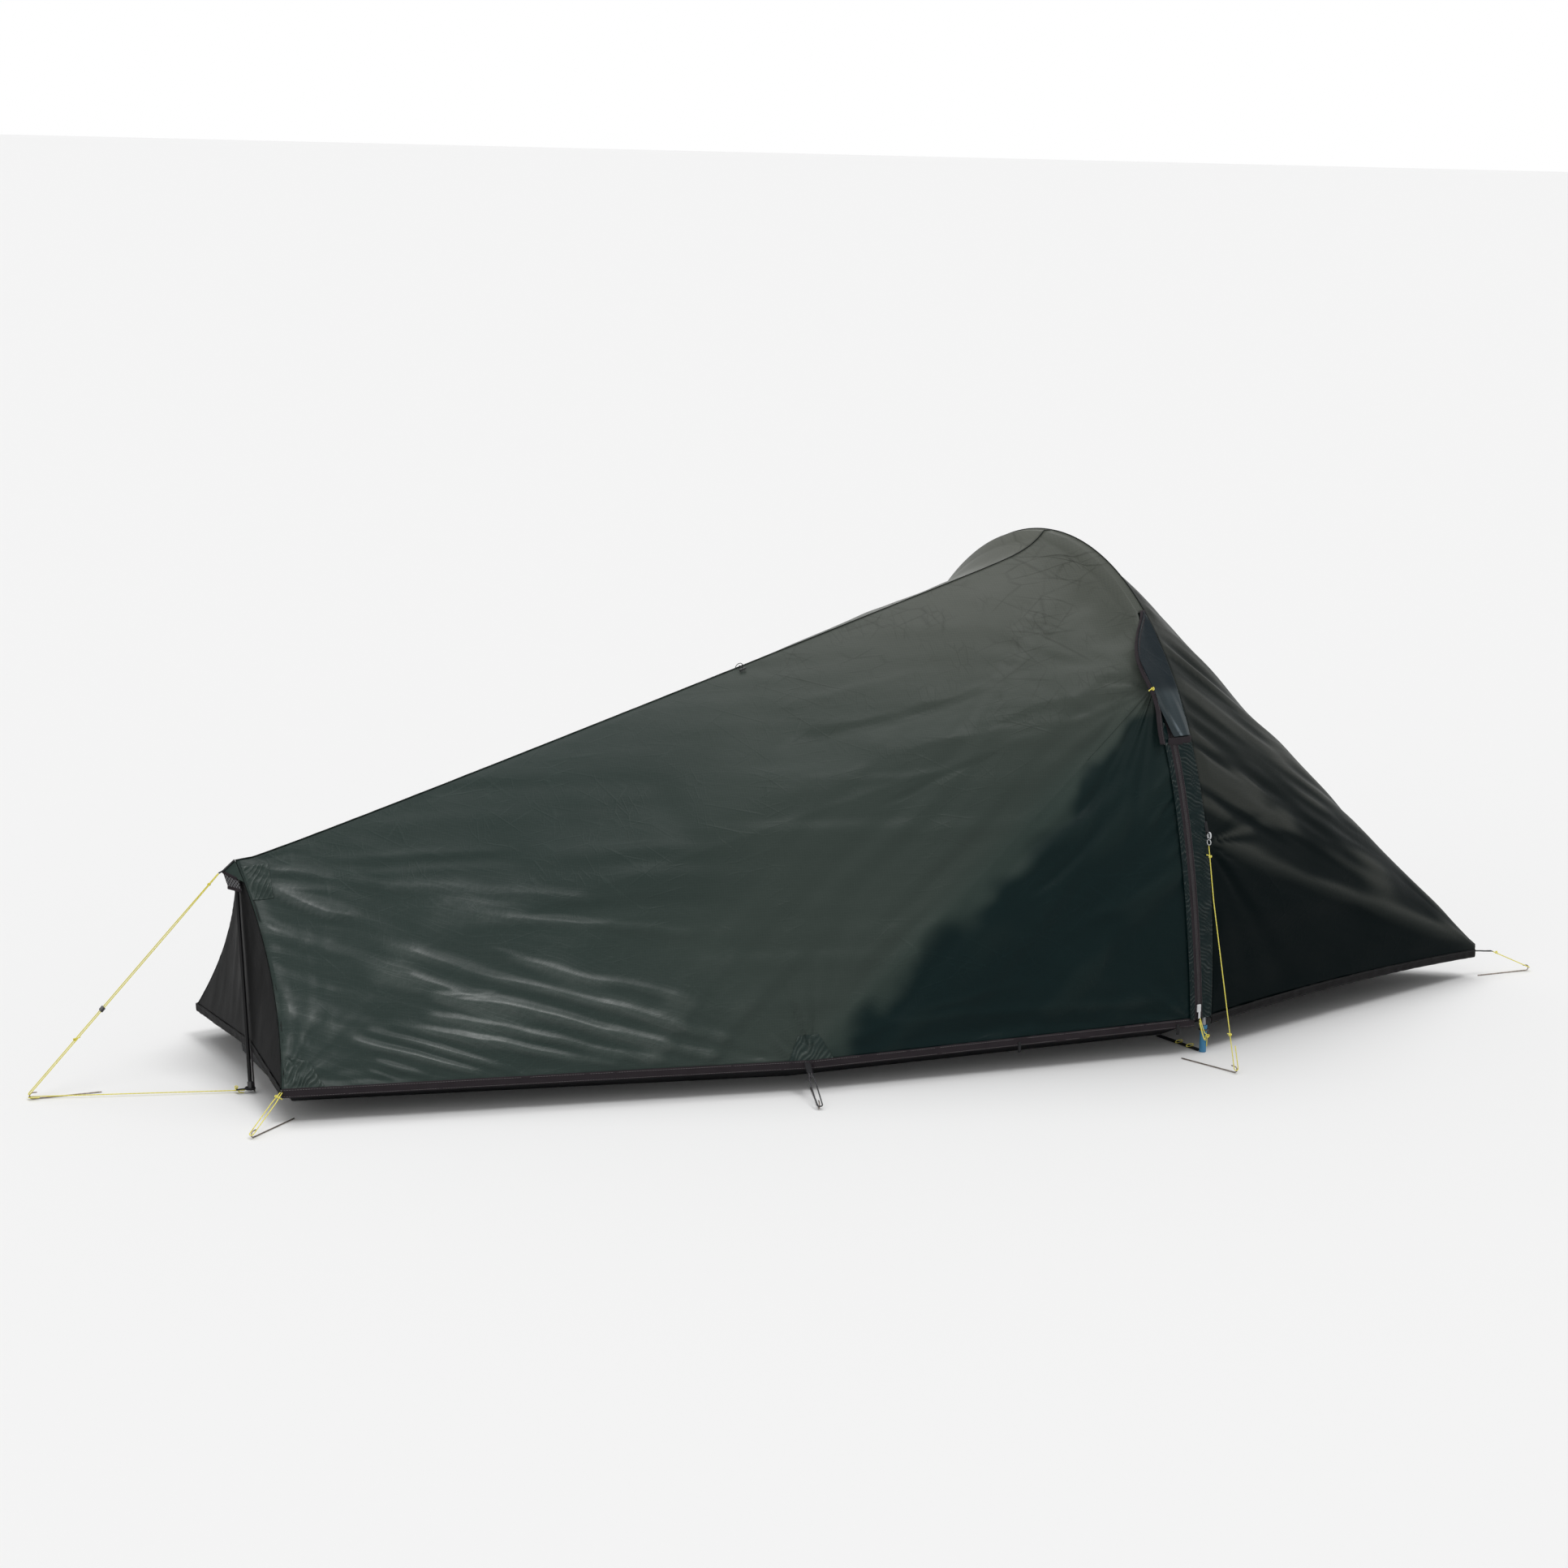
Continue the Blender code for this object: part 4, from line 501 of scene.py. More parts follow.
nose_peg = (NOSE + Vector((0.1285, 0, 0))) * GROUND
webbing_end = Vector((NOSE.x + 0.032, NOSE.y, NOSE.z - 0.006))
nose_run = (nose_peg + UP * HOOK_LEVEL - webbing_end).normalized()
nose_route = round_peg(webbing_end + nose_run * (CORD_R * 0.6 + TOUCH_GAP), nose_peg, HOOK_LEVEL, CORD_R,
                       STRAND_SPREAD, CORD_TURN, count=9)
nose_knot = knot("nose_cord_knot", nose_route[1] + Vector((0, 0.002, 0.001)), nose_run, 0.0060, CORD_R)
guy_line("nose_cord", nose_route, CORD_R)


# Hoop pole. Four sections of grey alloy tube in a cloth sleeve under the fly, standing in cups of
# blue webbing; a black webbing strap runs from each cup to the tray floor, tied back with yellow cord.
BAND_WIDTH, SLEEVE_HALF_WIDTH, SLEEVE_HALF_DEPTH = 0.0200, 0.0066, 0.0053
POLE_AHEAD = -BAND_WIDTH / 2
POLE_INSET = CLOTH + 2 * TOUCH_GAP + 0.0070
SLEEVE_FOOT = 0.081

POLE_METAL = Finish("pole_alloy", 0.30, 1.0)
grain = POLE_METAL.noise(300, 2, 0.5, POLE_METAL.place((1, 1, 0.05)))
POLE_METAL.set(Base_Color=POLE_METAL.ramp(grain, (0.3, (0.20, 0.21, 0.22)), (0.7, (0.30, 0.31, 0.33))),
               Roughness=POLE_METAL.ramp(grain, (0.2, 0.22), (0.8, 0.38)))
paint(POLE_METAL.material, *["hoop_pole_section_%d" % number for number in range(1, 5)])


def lattice_faces(rows, columns, start=0):
    return [(start + r * columns + c, start + r * columns + c + 1, start + (r + 1) * columns + c + 1,
             start + (r + 1) * columns + c)
            for r in range(rows - 1) for c in range(columns - 1)]


class Panel:
    """Cloth cut from lattices of points that meet at shared edges; it is shaped first and thickened last."""

    def __init__(self, grids, inside):
        points = np.concatenate([np.array(grid, float).reshape(-1, 3) for grid in grids])
        quads, start = [], 0
        for grid in grids:
            rows, columns = len(grid), len(grid[0])
            quads += lattice_faces(rows, columns, start)
            start += rows * columns
        keys = np.round(points * 20000).astype(np.int64)
        first, which = np.unique(keys, axis=0, return_index=True, return_inverse=True)[1:]
        self.points = points[first]
        self.quads = which.reshape(-1)[np.array(quads)]
        good = [len(set(quad)) == 4 for quad in self.quads.tolist()]
        self.quads = self.quads[np.array(good)]
        self.own = [which.reshape(-1)[a:a + len(g) * len(g[0])].reshape(len(g), len(g[0]))
                    for a, g in zip(np.cumsum([0] + [len(g) * len(g[0]) for g in grids[:-1]]), grids)]
        middle = self.points[self.quads].mean(1)
        if (self.facing() * (middle - np.array(inside))).sum() < 0:
            self.quads = self.quads[:, ::-1]

    def facing(self):
        """The normal of each face, twice as long as the face's area."""
        corners = self.points[self.quads]
        return np.cross(corners[:, 2] - corners[:, 0], corners[:, 3] - corners[:, 1])

    def normals(self):
        facing = self.facing()
        out = np.zeros_like(self.points)
        for corner in range(4):
            np.add.at(out, self.quads[:, corner], facing)
        return out / np.maximum(np.linalg.norm(out, axis=1, keepdims=True), 1e-12)

    def area(self):
        return float(np.linalg.norm(self.facing(), axis=1).sum() / 2)

    def push(self, height):
        self.points = self.points + self.normals() * np.asarray(height)[:, None]

    def relax(self, where, rounds, most):
        """Ease the sheet by each point's own share, and move no point further than its own limit."""
        start = self.points
        pairs = np.concatenate([self.quads[:, [a, b]] for a, b in ((0, 1), (1, 2), (2, 3), (3, 0))])
        where = np.asarray(where, float).copy()
        where[np.unique(np.array(self.rim_edges()))] = 0
        for turn in range(rounds):
            total, count = np.zeros_like(self.points), np.zeros(len(self.points))
            for a, b in ((0, 1), (1, 0)):
                np.add.at(total, pairs[:, a], self.points[pairs[:, b]])
                np.add.at(count, pairs[:, a], 1)
            self.points = self.points + (total / count[:, None] - self.points) * where[:, None]
        moved = self.points - start
        kept = np.minimum(1, most / np.maximum(np.linalg.norm(moved, axis=1), 1e-9))
        self.points = start + moved * kept[:, None]

    def on(self, origin, along, up):
        """The places of its points on a flat pattern, in metres."""
        offset = self.points - np.array(origin)
        return offset @ np.array(along), offset @ np.array(up)

    def rim_distance(self, reach=0.05):
        """How far each point lies from the cloth's cut edge, up to a reach."""
        edges = self.rim_edges()
        rim = np.unique(np.array(edges))
        tree = kdtree.KDTree(len(rim))
        for index, spot in enumerate(self.points[rim]):
            tree.insert(spot, index)
        tree.balance()
        return np.array([min(reach, tree.find(spot)[2]) for spot in self.points])

    def rim_edges(self):
        seen = {}
        for quad in self.quads.tolist():
            for a, b in zip(quad, quad[1:] + quad[:1]):
                if (b, a) in seen:
                    del seen[(b, a)]
                else:
                    seen[(a, b)] = True
        return list(seen)

    def finished(self, name, finish, uv, body="tent", thickness=0.0005, slot="fly_cloth", **marks):
        """The closed piece: the outer face as it is shaped, and an inner one a thickness behind it."""
        count = len(self.points)
        verts = np.concatenate([self.points, self.points - self.normals() * thickness])
        faces = self.quads.tolist() + (self.quads[:, ::-1] + count).tolist()
        faces += [(b, a, a + count, b + count) for a, b in self.rim_edges()]
        piece = make_piece(name, verts.tolist(), faces, finish, body, np.concatenate([uv, uv]))
        for mark, amount in marks.items():
            layer = piece.data.attributes.new(mark, "FLOAT", "POINT")
            layer.data.foreach_set("value", np.concatenate([amount, amount]).astype(np.float32))
        return piece


def pattern(seed, u, v):
    """Smooth seeded noise from -1 to 1, one bump to the unit."""
    table = np.random.default_rng(seed).uniform(-1, 1, (128, 128))
    iu, iv = np.floor(u).astype(int), np.floor(v).astype(int)
    fu, fv = u - iu, v - iv
    fu, fv = fu * fu * (3 - 2 * fu), fv * fv * (3 - 2 * fv)
    a, b = table[iu % 128, iv % 128], table[(iu + 1) % 128, iv % 128]
    c, d = table[iu % 128, (iv + 1) % 128], table[(iu + 1) % 128, (iv + 1) % 128]
    return (a * (1 - fu) + b * fu) * (1 - fv) + (c * (1 - fu) + d * fu) * fv


def fade(value, low, high):
    share = np.clip((value - low) / (high - low), 0, 1)
    return share * share * (3 - 2 * share)


sleeve_rows = []
for index in range(15):
    turn = 2 * math.pi * index / 14
    inset = POLE_INSET - SLEEVE_HALF_DEPTH * math.sin(turn)
    ahead = POLE_AHEAD + SLEEVE_HALF_WIDTH * math.cos(turn)
    low = hoop_angle(SLEEVE_FOOT, inset)
    row = []
    for angle in steps(low, math.pi - low, 200):
        side, part = (NEAR, angle) if angle <= math.pi / 2 else (FAR, math.pi - angle)
        row.append(hoop_point(side, part, inset, ahead))
    sleeve_rows.append(row)
sleeve = Panel([sleeve_rows], HOOP_CENTRE)
sleeve_uv = np.stack(sleeve.on(HOOP_CENTRE, HOOP_ACROSS, UP), 1)


def fly_cloth(name="fly_cloth", colour=(0.0285, 0.0425, 0.0370), shaded=(0.0008, 0.0080, 0.0088),
              pale=(0.115, 0.118, 0.100), crinkle=1.0, shine=0.07):
    """Coated ripstop nylon: a fine thread grid, straight packing creases and a waxy shine.

    The mesh says how much painted light pales the cloth towards the pale colour, how far it is darkened
    towards the shaded colour, which carries painted shade and painted reflection, and how glossy it is."""
    finish = Finish(name, 0.40, Specular_IOR_Level=shine, Coat_Roughness=0.30, Coat_IOR=1.5)
    cut = finish.run()[0]
    through, shade, gloss = (finish.node("Attribute", {"attribute_name": mark}, output=2)
                             for mark in ("through", "shade", "gloss"))
    creases = 0
    for turn, long, wide, width, share, where in (
            (-17, 0.21, 0.050, 0.050, 0.50, 7.0), (40, 0.16, 0.045, 0.050, 0.45, 8.0),
            (14, 0.11, 0.026, 0.075, 0.42, 9.0), (-38, 0.13, 0.050, 0.050, 0.38, 8.0),
            (95, 0.035, 0.016, 0.12, 0.30, 14.0)):
        laid = finish.laid(cut, turn, long, wide)
        rim = finish.node("TexVoronoi", {"feature": "DISTANCE_TO_EDGE", "voronoi_dimensions": "2D"},
                          {"Vector": laid, "Scale": 1.0})
        seen = finish.node("TexNoise", {"noise_dimensions": "2D"},
                           {"Vector": cut, "Scale": where + share, "Detail": 1.0})
        seen = ((seen - 0.50) * 5.0).maths("MAXIMUM", 0.0).maths("MINIMUM", 1.0)
        creases = (1 - (rim * (1 / width)).maths("MINIMUM", 1.0)) * seen * share + creases
    drift = finish.node("TexNoise", {}, {"Vector": cut, "Scale": 5.0, "Detail": 2.0}, 1)
    wander = finish.node("VectorMath", {"operation": "MULTIPLY_ADD"},
                         {0: drift, 1: (0.06, 0.06, 0.0), 2: cut})
    crumple = 0
    for turn, long, wide, share in (
            (-17, 0.15, 0.016, 0.55), (30, 0.08, 0.014, 0.30), (75, 0.045, 0.012, 0.25)):
        laid = finish.laid(wander, turn, long, wide)
        grain = finish.node("TexNoise", {}, {"Vector": laid, "Scale": 1.0, "Detail": 2.0, "Roughness": 0.45})
        crumple = (1 - (grain * 2 - 1).maths("ABSOLUTE")).maths("POWER", 8.0) * share + crumple
    ribs = finish.threads(cut, 62.0).maths("POWER", 10.0)
    # Painted light pales the colour; painted shade and painted reflection darken it.
    tone = finish.mix(through, colour, pale)
    tone = finish.mix(shade, tone, shaded)
    tone = finish.mix(finish.noise(1.7, 3, 0.55) * 0.30, tone, (0.70, 0.70, 0.72), "MULTIPLY")
    # Along the packing creases the colour is painted paler, a painted highlight, and where the painted light
    # is strong they are painted darker instead, painted shade in the creases.
    tone = finish.mix(creases * (1 - through * 2.0).maths("MAXIMUM", 0.0) * (0.35 * crinkle), tone,
                      (1.5, 1.5, 1.5), "MULTIPLY")
    tone = finish.mix(creases * through * 1.3, tone, (0.35, 0.36, 0.33), "MULTIPLY")
    tone = finish.mix(ribs * 0.12, tone, (1.8, 1.8, 1.75), "MULTIPLY")
    low = finish.bump(crumple * (gloss * 2.2 + 0.04), 0.0010, crinkle)
    low = finish.bump(creases, 0.0008, crinkle, low)
    finish.set(Base_Color=tone, Normal=finish.bump(ribs, 0.00005, 0.5, low),
               Coat_Weight=gloss * (crumple * 0.7 + 0.55),
               Roughness=finish.ramp(finish.noise(9, 3), (0.25, 0.34), (0.75, 0.46)))
    return finish.material


FLY_CLOTH = fly_cloth()
sleeve_piece = sleeve.finished("pole_sleeve_cloth", FLY_CLOTH, sleeve_uv)
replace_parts(sleeve_piece, "pole_sleeve")


def woven(name, colour, roughness, rib=0.0011, across=0.0020, lift=0.00022, glint=0.3):
    """Flat woven webbing or tape, read along and across its own length."""
    finish = Finish(name, roughness, Specular_IOR_Level=0.12)
    run, wide = finish.run()[1:]
    crossing = (wide * (math.pi / across)).maths("SINE") * 1.2
    ribs = (run * (math.pi / rib) + crossing).maths("SINE").maths("ABSOLUTE")
    soil = finish.noise(40, 4, 0.6)
    tone = finish.mix(soil * 0.7, colour, tuple(c * 0.6 for c in colour))
    tone = finish.mix(ribs.maths("POWER", 4.0) * glint, tone, tuple(min(1, c * 1.7 + 0.003) for c in colour))
    finish.set(Base_Color=tone, Normal=finish.bump(ribs, lift, 0.8),
               Roughness=finish.ramp(soil, (0.2, roughness - 0.12), (0.8, min(1, roughness + 0.06))))
    return finish.material


BLACK_WEBBING = woven("black_webbing", (0.020, 0.020, 0.022), 0.72)


def ribbon(name, edges, finish, thickness=TAPE, body="tent", across=4, spacing=0.004, wave=0.0, seed=1):
    """A flat tape through pairs of edge points, with a slight ripple and rounded selvedges."""
    rows, run, runs = [], 0.0, []
    for (a, b), (c, d) in zip(edges, edges[1:]):
        reach = ((c + d) / 2 - (a + b) / 2).length
        count = max(1, round(reach / spacing))
        for part in range(count):
            rows.append((lerp(a, c, part / count), lerp(b, d, part / count)))
            runs.append(run + reach * part / count)
        run += reach
    rows.append(edges[-1])
    runs.append(run)
    grid = [[lerp(a, b, share) for share in evenly(across)] for a, b in rows]
    flat = np.array(grid, float)
    along = np.gradient(flat, axis=0)
    side = np.gradient(flat, axis=1)
    normal = np.cross(along, side)
    normal /= np.maximum(np.linalg.norm(normal, axis=2, keepdims=True), 1e-12)
    width = float(np.linalg.norm(flat[0, -1] - flat[0, 0]))
    place = np.array(evenly(across))
    down = np.array(runs)[:, None]
    ripple = pattern(seed, down / 0.011 + 0 * place, place * 1.5 + 0 * down) * wave
    half = thickness / 2 * np.where((place == 0) | (place == 1), 0.55, 1.0)[None, :, None]
    front, back = flat + normal * (half + ripple[..., None]), flat - normal * (half - ripple[..., None])
    count, columns = len(rows), across + 1
    verts = np.concatenate([front.reshape(-1, 3), back.reshape(-1, 3)])
    uv = np.array([(r, p * width) for r in runs for p in place] * 2)
    one = lattice_faces(count, columns)
    total = count * columns
    faces = [f[::-1] for f in one] + [tuple(v + total for v in f) for f in one]
    rim = [(r * columns, (r + 1) * columns) for r in range(count - 1)]
    rim += [((count - 1) * columns + c, (count - 1) * columns + c + 1) for c in range(across)]
    rim += [((r + 1) * columns + across, r * columns + across) for r in range(count - 1)]
    rim += [(c + 1, c) for c in range(across)]
    faces += [(b, a, a + total, b + total) for a, b in rim]
    piece = make_piece(name, verts.tolist(), faces, finish, body, uv)
    shape = bmesh.new()
    shape.from_mesh(piece.data)
    bmesh.ops.recalc_face_normals(shape, faces=shape.faces)
    shape.to_mesh(piece.data)
    shape.free()
    return piece


CUP_RIM = 0.00425 + 2 * TOUCH_GAP + 0.0022
cup_finish = Finish("cup_webbing", 0.62)
weave = cup_finish.node("TexWave", {"bands_direction": "Z"},
                        {"Vector": cup_finish.place(), "Scale": 240.0, "Distortion": 0.6})
worn = cup_finish.noise(50, 3)
cup_finish.set(Base_Color=cup_finish.mix(worn * 0.6, (0.050, 0.235, 0.430), (0.030, 0.130, 0.260)),
               Normal=cup_finish.bump(weave, 0.0003, 0.7),
               Roughness=cup_finish.ramp(worn, (0.2, 0.5), (0.8, 0.72)))
for side, label in ((NEAR, "near"), (FAR, "far")):
    paint(cup_finish.material, "pole_cup_" + label)
    foot = hoop_point(side, 0, POLE_INSET, POLE_AHEAD)
    strap_start = foot - HOOP_ACROSS * side * (CUP_RIM + TOUCH_GAP)
    strap_run = -HOOP_ACROSS * side * ((strap_start - HOOP_CENTRE).length - TRAY_AT_HOOP - 0.0048)
    half = HOOP_AHEAD * 0.0075
    ends = [strap_start + UP * 0.0008, strap_start + strap_run + UP * 0.0008]
    strap = ribbon("base_strap_%s_webbing" % label, banded(ends, half), BLACK_WEBBING)
    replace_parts(strap, "base_strap_" + label)


# Near side of the fly. One taut sheet from the charcoal foot end to the front seam, cut from the ridge
# down to the hem; the door is the triangle of it below the line from the middle peg to the top of the zip.
ZIP_TOP, VENT_TOP, HOOP_HEM = 0.735, 0.867, 0.075
ZIP_HALF = 0.011
FOLD_PLACE, VENT_PLACE, CROWN_PLACE = 7, 12, {NEAR: 18, FAR: 13}
NEAR_SPACING, FAR_SPACING = 0.0088, 0.0105


def zip_recess(height):
    share = (height - HOOP_HEM) / (ZIP_TOP - HOOP_HEM)
    return lerp(0.034, 0.046, share) + 0.010 * math.sin(math.pi * min(max(share, 0), 1))


def vent_recess(height):
    share = (height - ZIP_TOP) / (VENT_TOP - ZIP_TOP)
    return lerp(0.057, BAND_WIDTH, share) + 0.030 * math.sin(math.pi * share) ** 2 * (1 - share / 2)


def zip_point(height, behind):
    return hoop_at(NEAR, height, 0, -zip_recess(height) - behind)


KNOT_SPOT = zip_point(ZIP_TOP, ZIP_HALF)
FAR_FOLD_TOP = hoop_at(FAR, ZIP_TOP, 0, -BAND_WIDTH)


def end_edge(side, share):
    return lerp(CORNERS[side], RIDGE_END, share) + Vector((0.024 * 4 * share * (1 - share), 0, 0))


def front_edge(side, place):
    """The line a side panel runs to, by its place from 0 at the hem to CROWN_PLACE at the top."""
    if place <= FOLD_PLACE:
        return lerp(MIDDLES[side], KNOT_SPOT if side == NEAR else FAR_FOLD_TOP, place / FOLD_PLACE)
    if side == NEAR and place <= VENT_PLACE:
        height = lerp(ZIP_TOP, VENT_TOP, (place - FOLD_PLACE) / (VENT_PLACE - FOLD_PLACE))
        return hoop_at(NEAR, height, 0, -vent_recess(height))
    first, low = (VENT_PLACE, hoop_angle(VENT_TOP)) if side == NEAR else (FOLD_PLACE, hoop_angle(ZIP_TOP))
    share = (place - first) / (CROWN_PLACE[side] - first)
    return hoop_point(side, lerp(low, math.pi / 2, share), 0, -BAND_WIDTH)


def even_places(side, spacing):
    """Places along the front line that lie evenly apart, the sheet's corners among them."""
    last = CROWN_PLACE[side]
    marks = (0, FOLD_PLACE, VENT_PLACE, last) if side == NEAR else (0, FOLD_PLACE, last)
    out = []
    for low, high in zip(marks, marks[1:]):
        fine = [front_edge(side, place) for place in steps(low, high, 40)]
        reach = sum((b - a).length for a, b in zip(fine, fine[1:]))
        out += steps(low, high, max(2, round(reach / spacing)))[:-1]
    return out + [last]


def side_rows(side, spacing, columns):
    """Rows of the sheet from the hem to the ridge seam, each from the foot end to the front line."""
    rows = []
    for place in even_places(side, spacing):
        share = place / CROWN_PLACE[side]
        source, target = end_edge(side, share), front_edge(side, place)
        reach = (target - source).length
        row = []
        for part in steps(SEAM_GAP / reach, 1, columns):
            hold = min(1, part * reach / 0.030) * (1 - math.exp(-(1 - part) * reach / 0.032))
            sag = (0.030 * part ** 0.37 * share + 0.025 * 12.2 * share ** 4 * (1 - share) * part ** 2) * hold
            row.append(lerp(source, target, part) - UP * sag)
        rows.append(row)
    return rows


near_rows = side_rows(NEAR, NEAR_SPACING, 212)
door_rows = []
for place in [place for place in even_places(NEAR, NEAR_SPACING) if place <= FOLD_PLACE]:
    share = place / FOLD_PLACE
    height = lerp(HOOP_HEM, ZIP_TOP, share)
    end = zip_point(height, ZIP_HALF + 0.0008 * (1 - share))
    door_rows.append([lerp(front_edge(NEAR, place), end, part) for part in evenly(88)])
over_rows = []
for place in even_places(NEAR, NEAR_SPACING):
    if place >= VENT_PLACE:
        share = (place - VENT_PLACE) / (CROWN_PLACE[NEAR] - VENT_PLACE)
        angle = lerp(hoop_angle(VENT_TOP), math.pi / 2, share)
        over_rows.append([hoop_point(NEAR, angle, 0, -BAND_WIDTH + BAND_WIDTH * part) for part in evenly(4)])
near = Panel([near_rows, door_rows[:-1] + [[KNOT_SPOT] * 89], over_rows], Vector((HOOP_X - 0.2, 0, 0.15)))

corner, middle = np.array(CORNERS[NEAR]), np.array(MIDDLES[NEAR])
hem_along = (middle - corner) / np.linalg.norm(middle - corner)
plane_out = np.cross(hem_along, np.array(KNOT_SPOT) - corner)
plane_out /= np.linalg.norm(plane_out)
slope_up = np.cross(plane_out, hem_along)
if slope_up[2] < 0:
    slope_up = -slope_up


def flat_spot(point):
    """Where a point lies on the near sheet's flat pattern, from the middle peg."""
    offset = np.array(point) - middle
    return float(offset @ hem_along), float(offset @ slope_up)


def fan(u, v, anchor, towards, width, reach, fold, size, seed, start=0.02):
    """Folds that run out from a point where the cloth is held, within an angle of one direction."""
    du, dv = u - anchor[0], v - anchor[1]
    apart = np.hypot(du, dv)
    turn = (np.arctan2(dv, du) - math.radians(towards) + math.pi) % (2 * math.pi) - math.pi
    folds = pattern(seed, turn / math.radians(fold), apart / 0.24 + 3)
    within = np.exp(-(turn / math.radians(width)) ** 2)
    return size * folds * fade(apart, 0, start * 2) * np.exp(-apart / reach) * within


def streaks(u, v, towards, period, length, size, seed, sharp=0.0):
    """Long parallel folds in one direction, soft waves or sharper ridges."""
    a = math.radians(towards)
    along, across = u * math.cos(a) + v * math.sin(a), v * math.cos(a) - u * math.sin(a)
    wave = pattern(seed, across / period * 2 + pattern(seed + 7, along / 0.3, across / 0.3) * 0.6,
                   along / length)
    ridge = np.exp(-(pattern(seed + 3, across / period, along / length) / 0.32) ** 2) * 1.6 - 0.5
    return size * (wave * (1 - sharp) + ridge * sharp)


def crease(u, v, start, end, width, size):
    """One fold between two points of the pattern, dying out at both."""
    (u0, v0), (u1, v1) = start, end
    reach = math.hypot(u1 - u0, v1 - v0)
    along = ((u - u0) * (u1 - u0) + (v - v0) * (v1 - v0)) / reach
    across = (-(u - u0) * (v1 - v0) + (v - v0) * (u1 - u0)) / reach
    share = np.clip(along / reach, 0, 1)
    within = np.sin(math.pi * share) ** 0.7 * (along > 0) * (along < reach)
    return size * np.exp(-(across / width) ** 2) * within


def laid_fold(u, v, width, size, spots):
    """One fold along a bent line, dying out at both ends."""
    spans = [math.dist(a, b) for a, b in zip(spots, spots[1:])]
    nearest, share, passed = np.full(len(u), 9.0), np.zeros(len(u)), 0.0
    for (u0, v0), (u1, v1), span in zip(spots, spots[1:], spans):
        part = np.clip(((u - u0) * (u1 - u0) + (v - v0) * (v1 - v0)) / span ** 2, 0, 1)
        apart = np.hypot(u - u0 - part * (u1 - u0), v - v0 - part * (v1 - v0))
        closer = apart < nearest
        nearest = np.where(closer, apart, nearest)
        share = np.where(closer, (passed + part * span) / sum(spans), share)
        passed += span
    within = 0.25 + 0.75 * np.sin(math.pi * share) ** 0.5
    return size / 1000 * np.exp(-(nearest / (width / 1000)) ** 2) * within


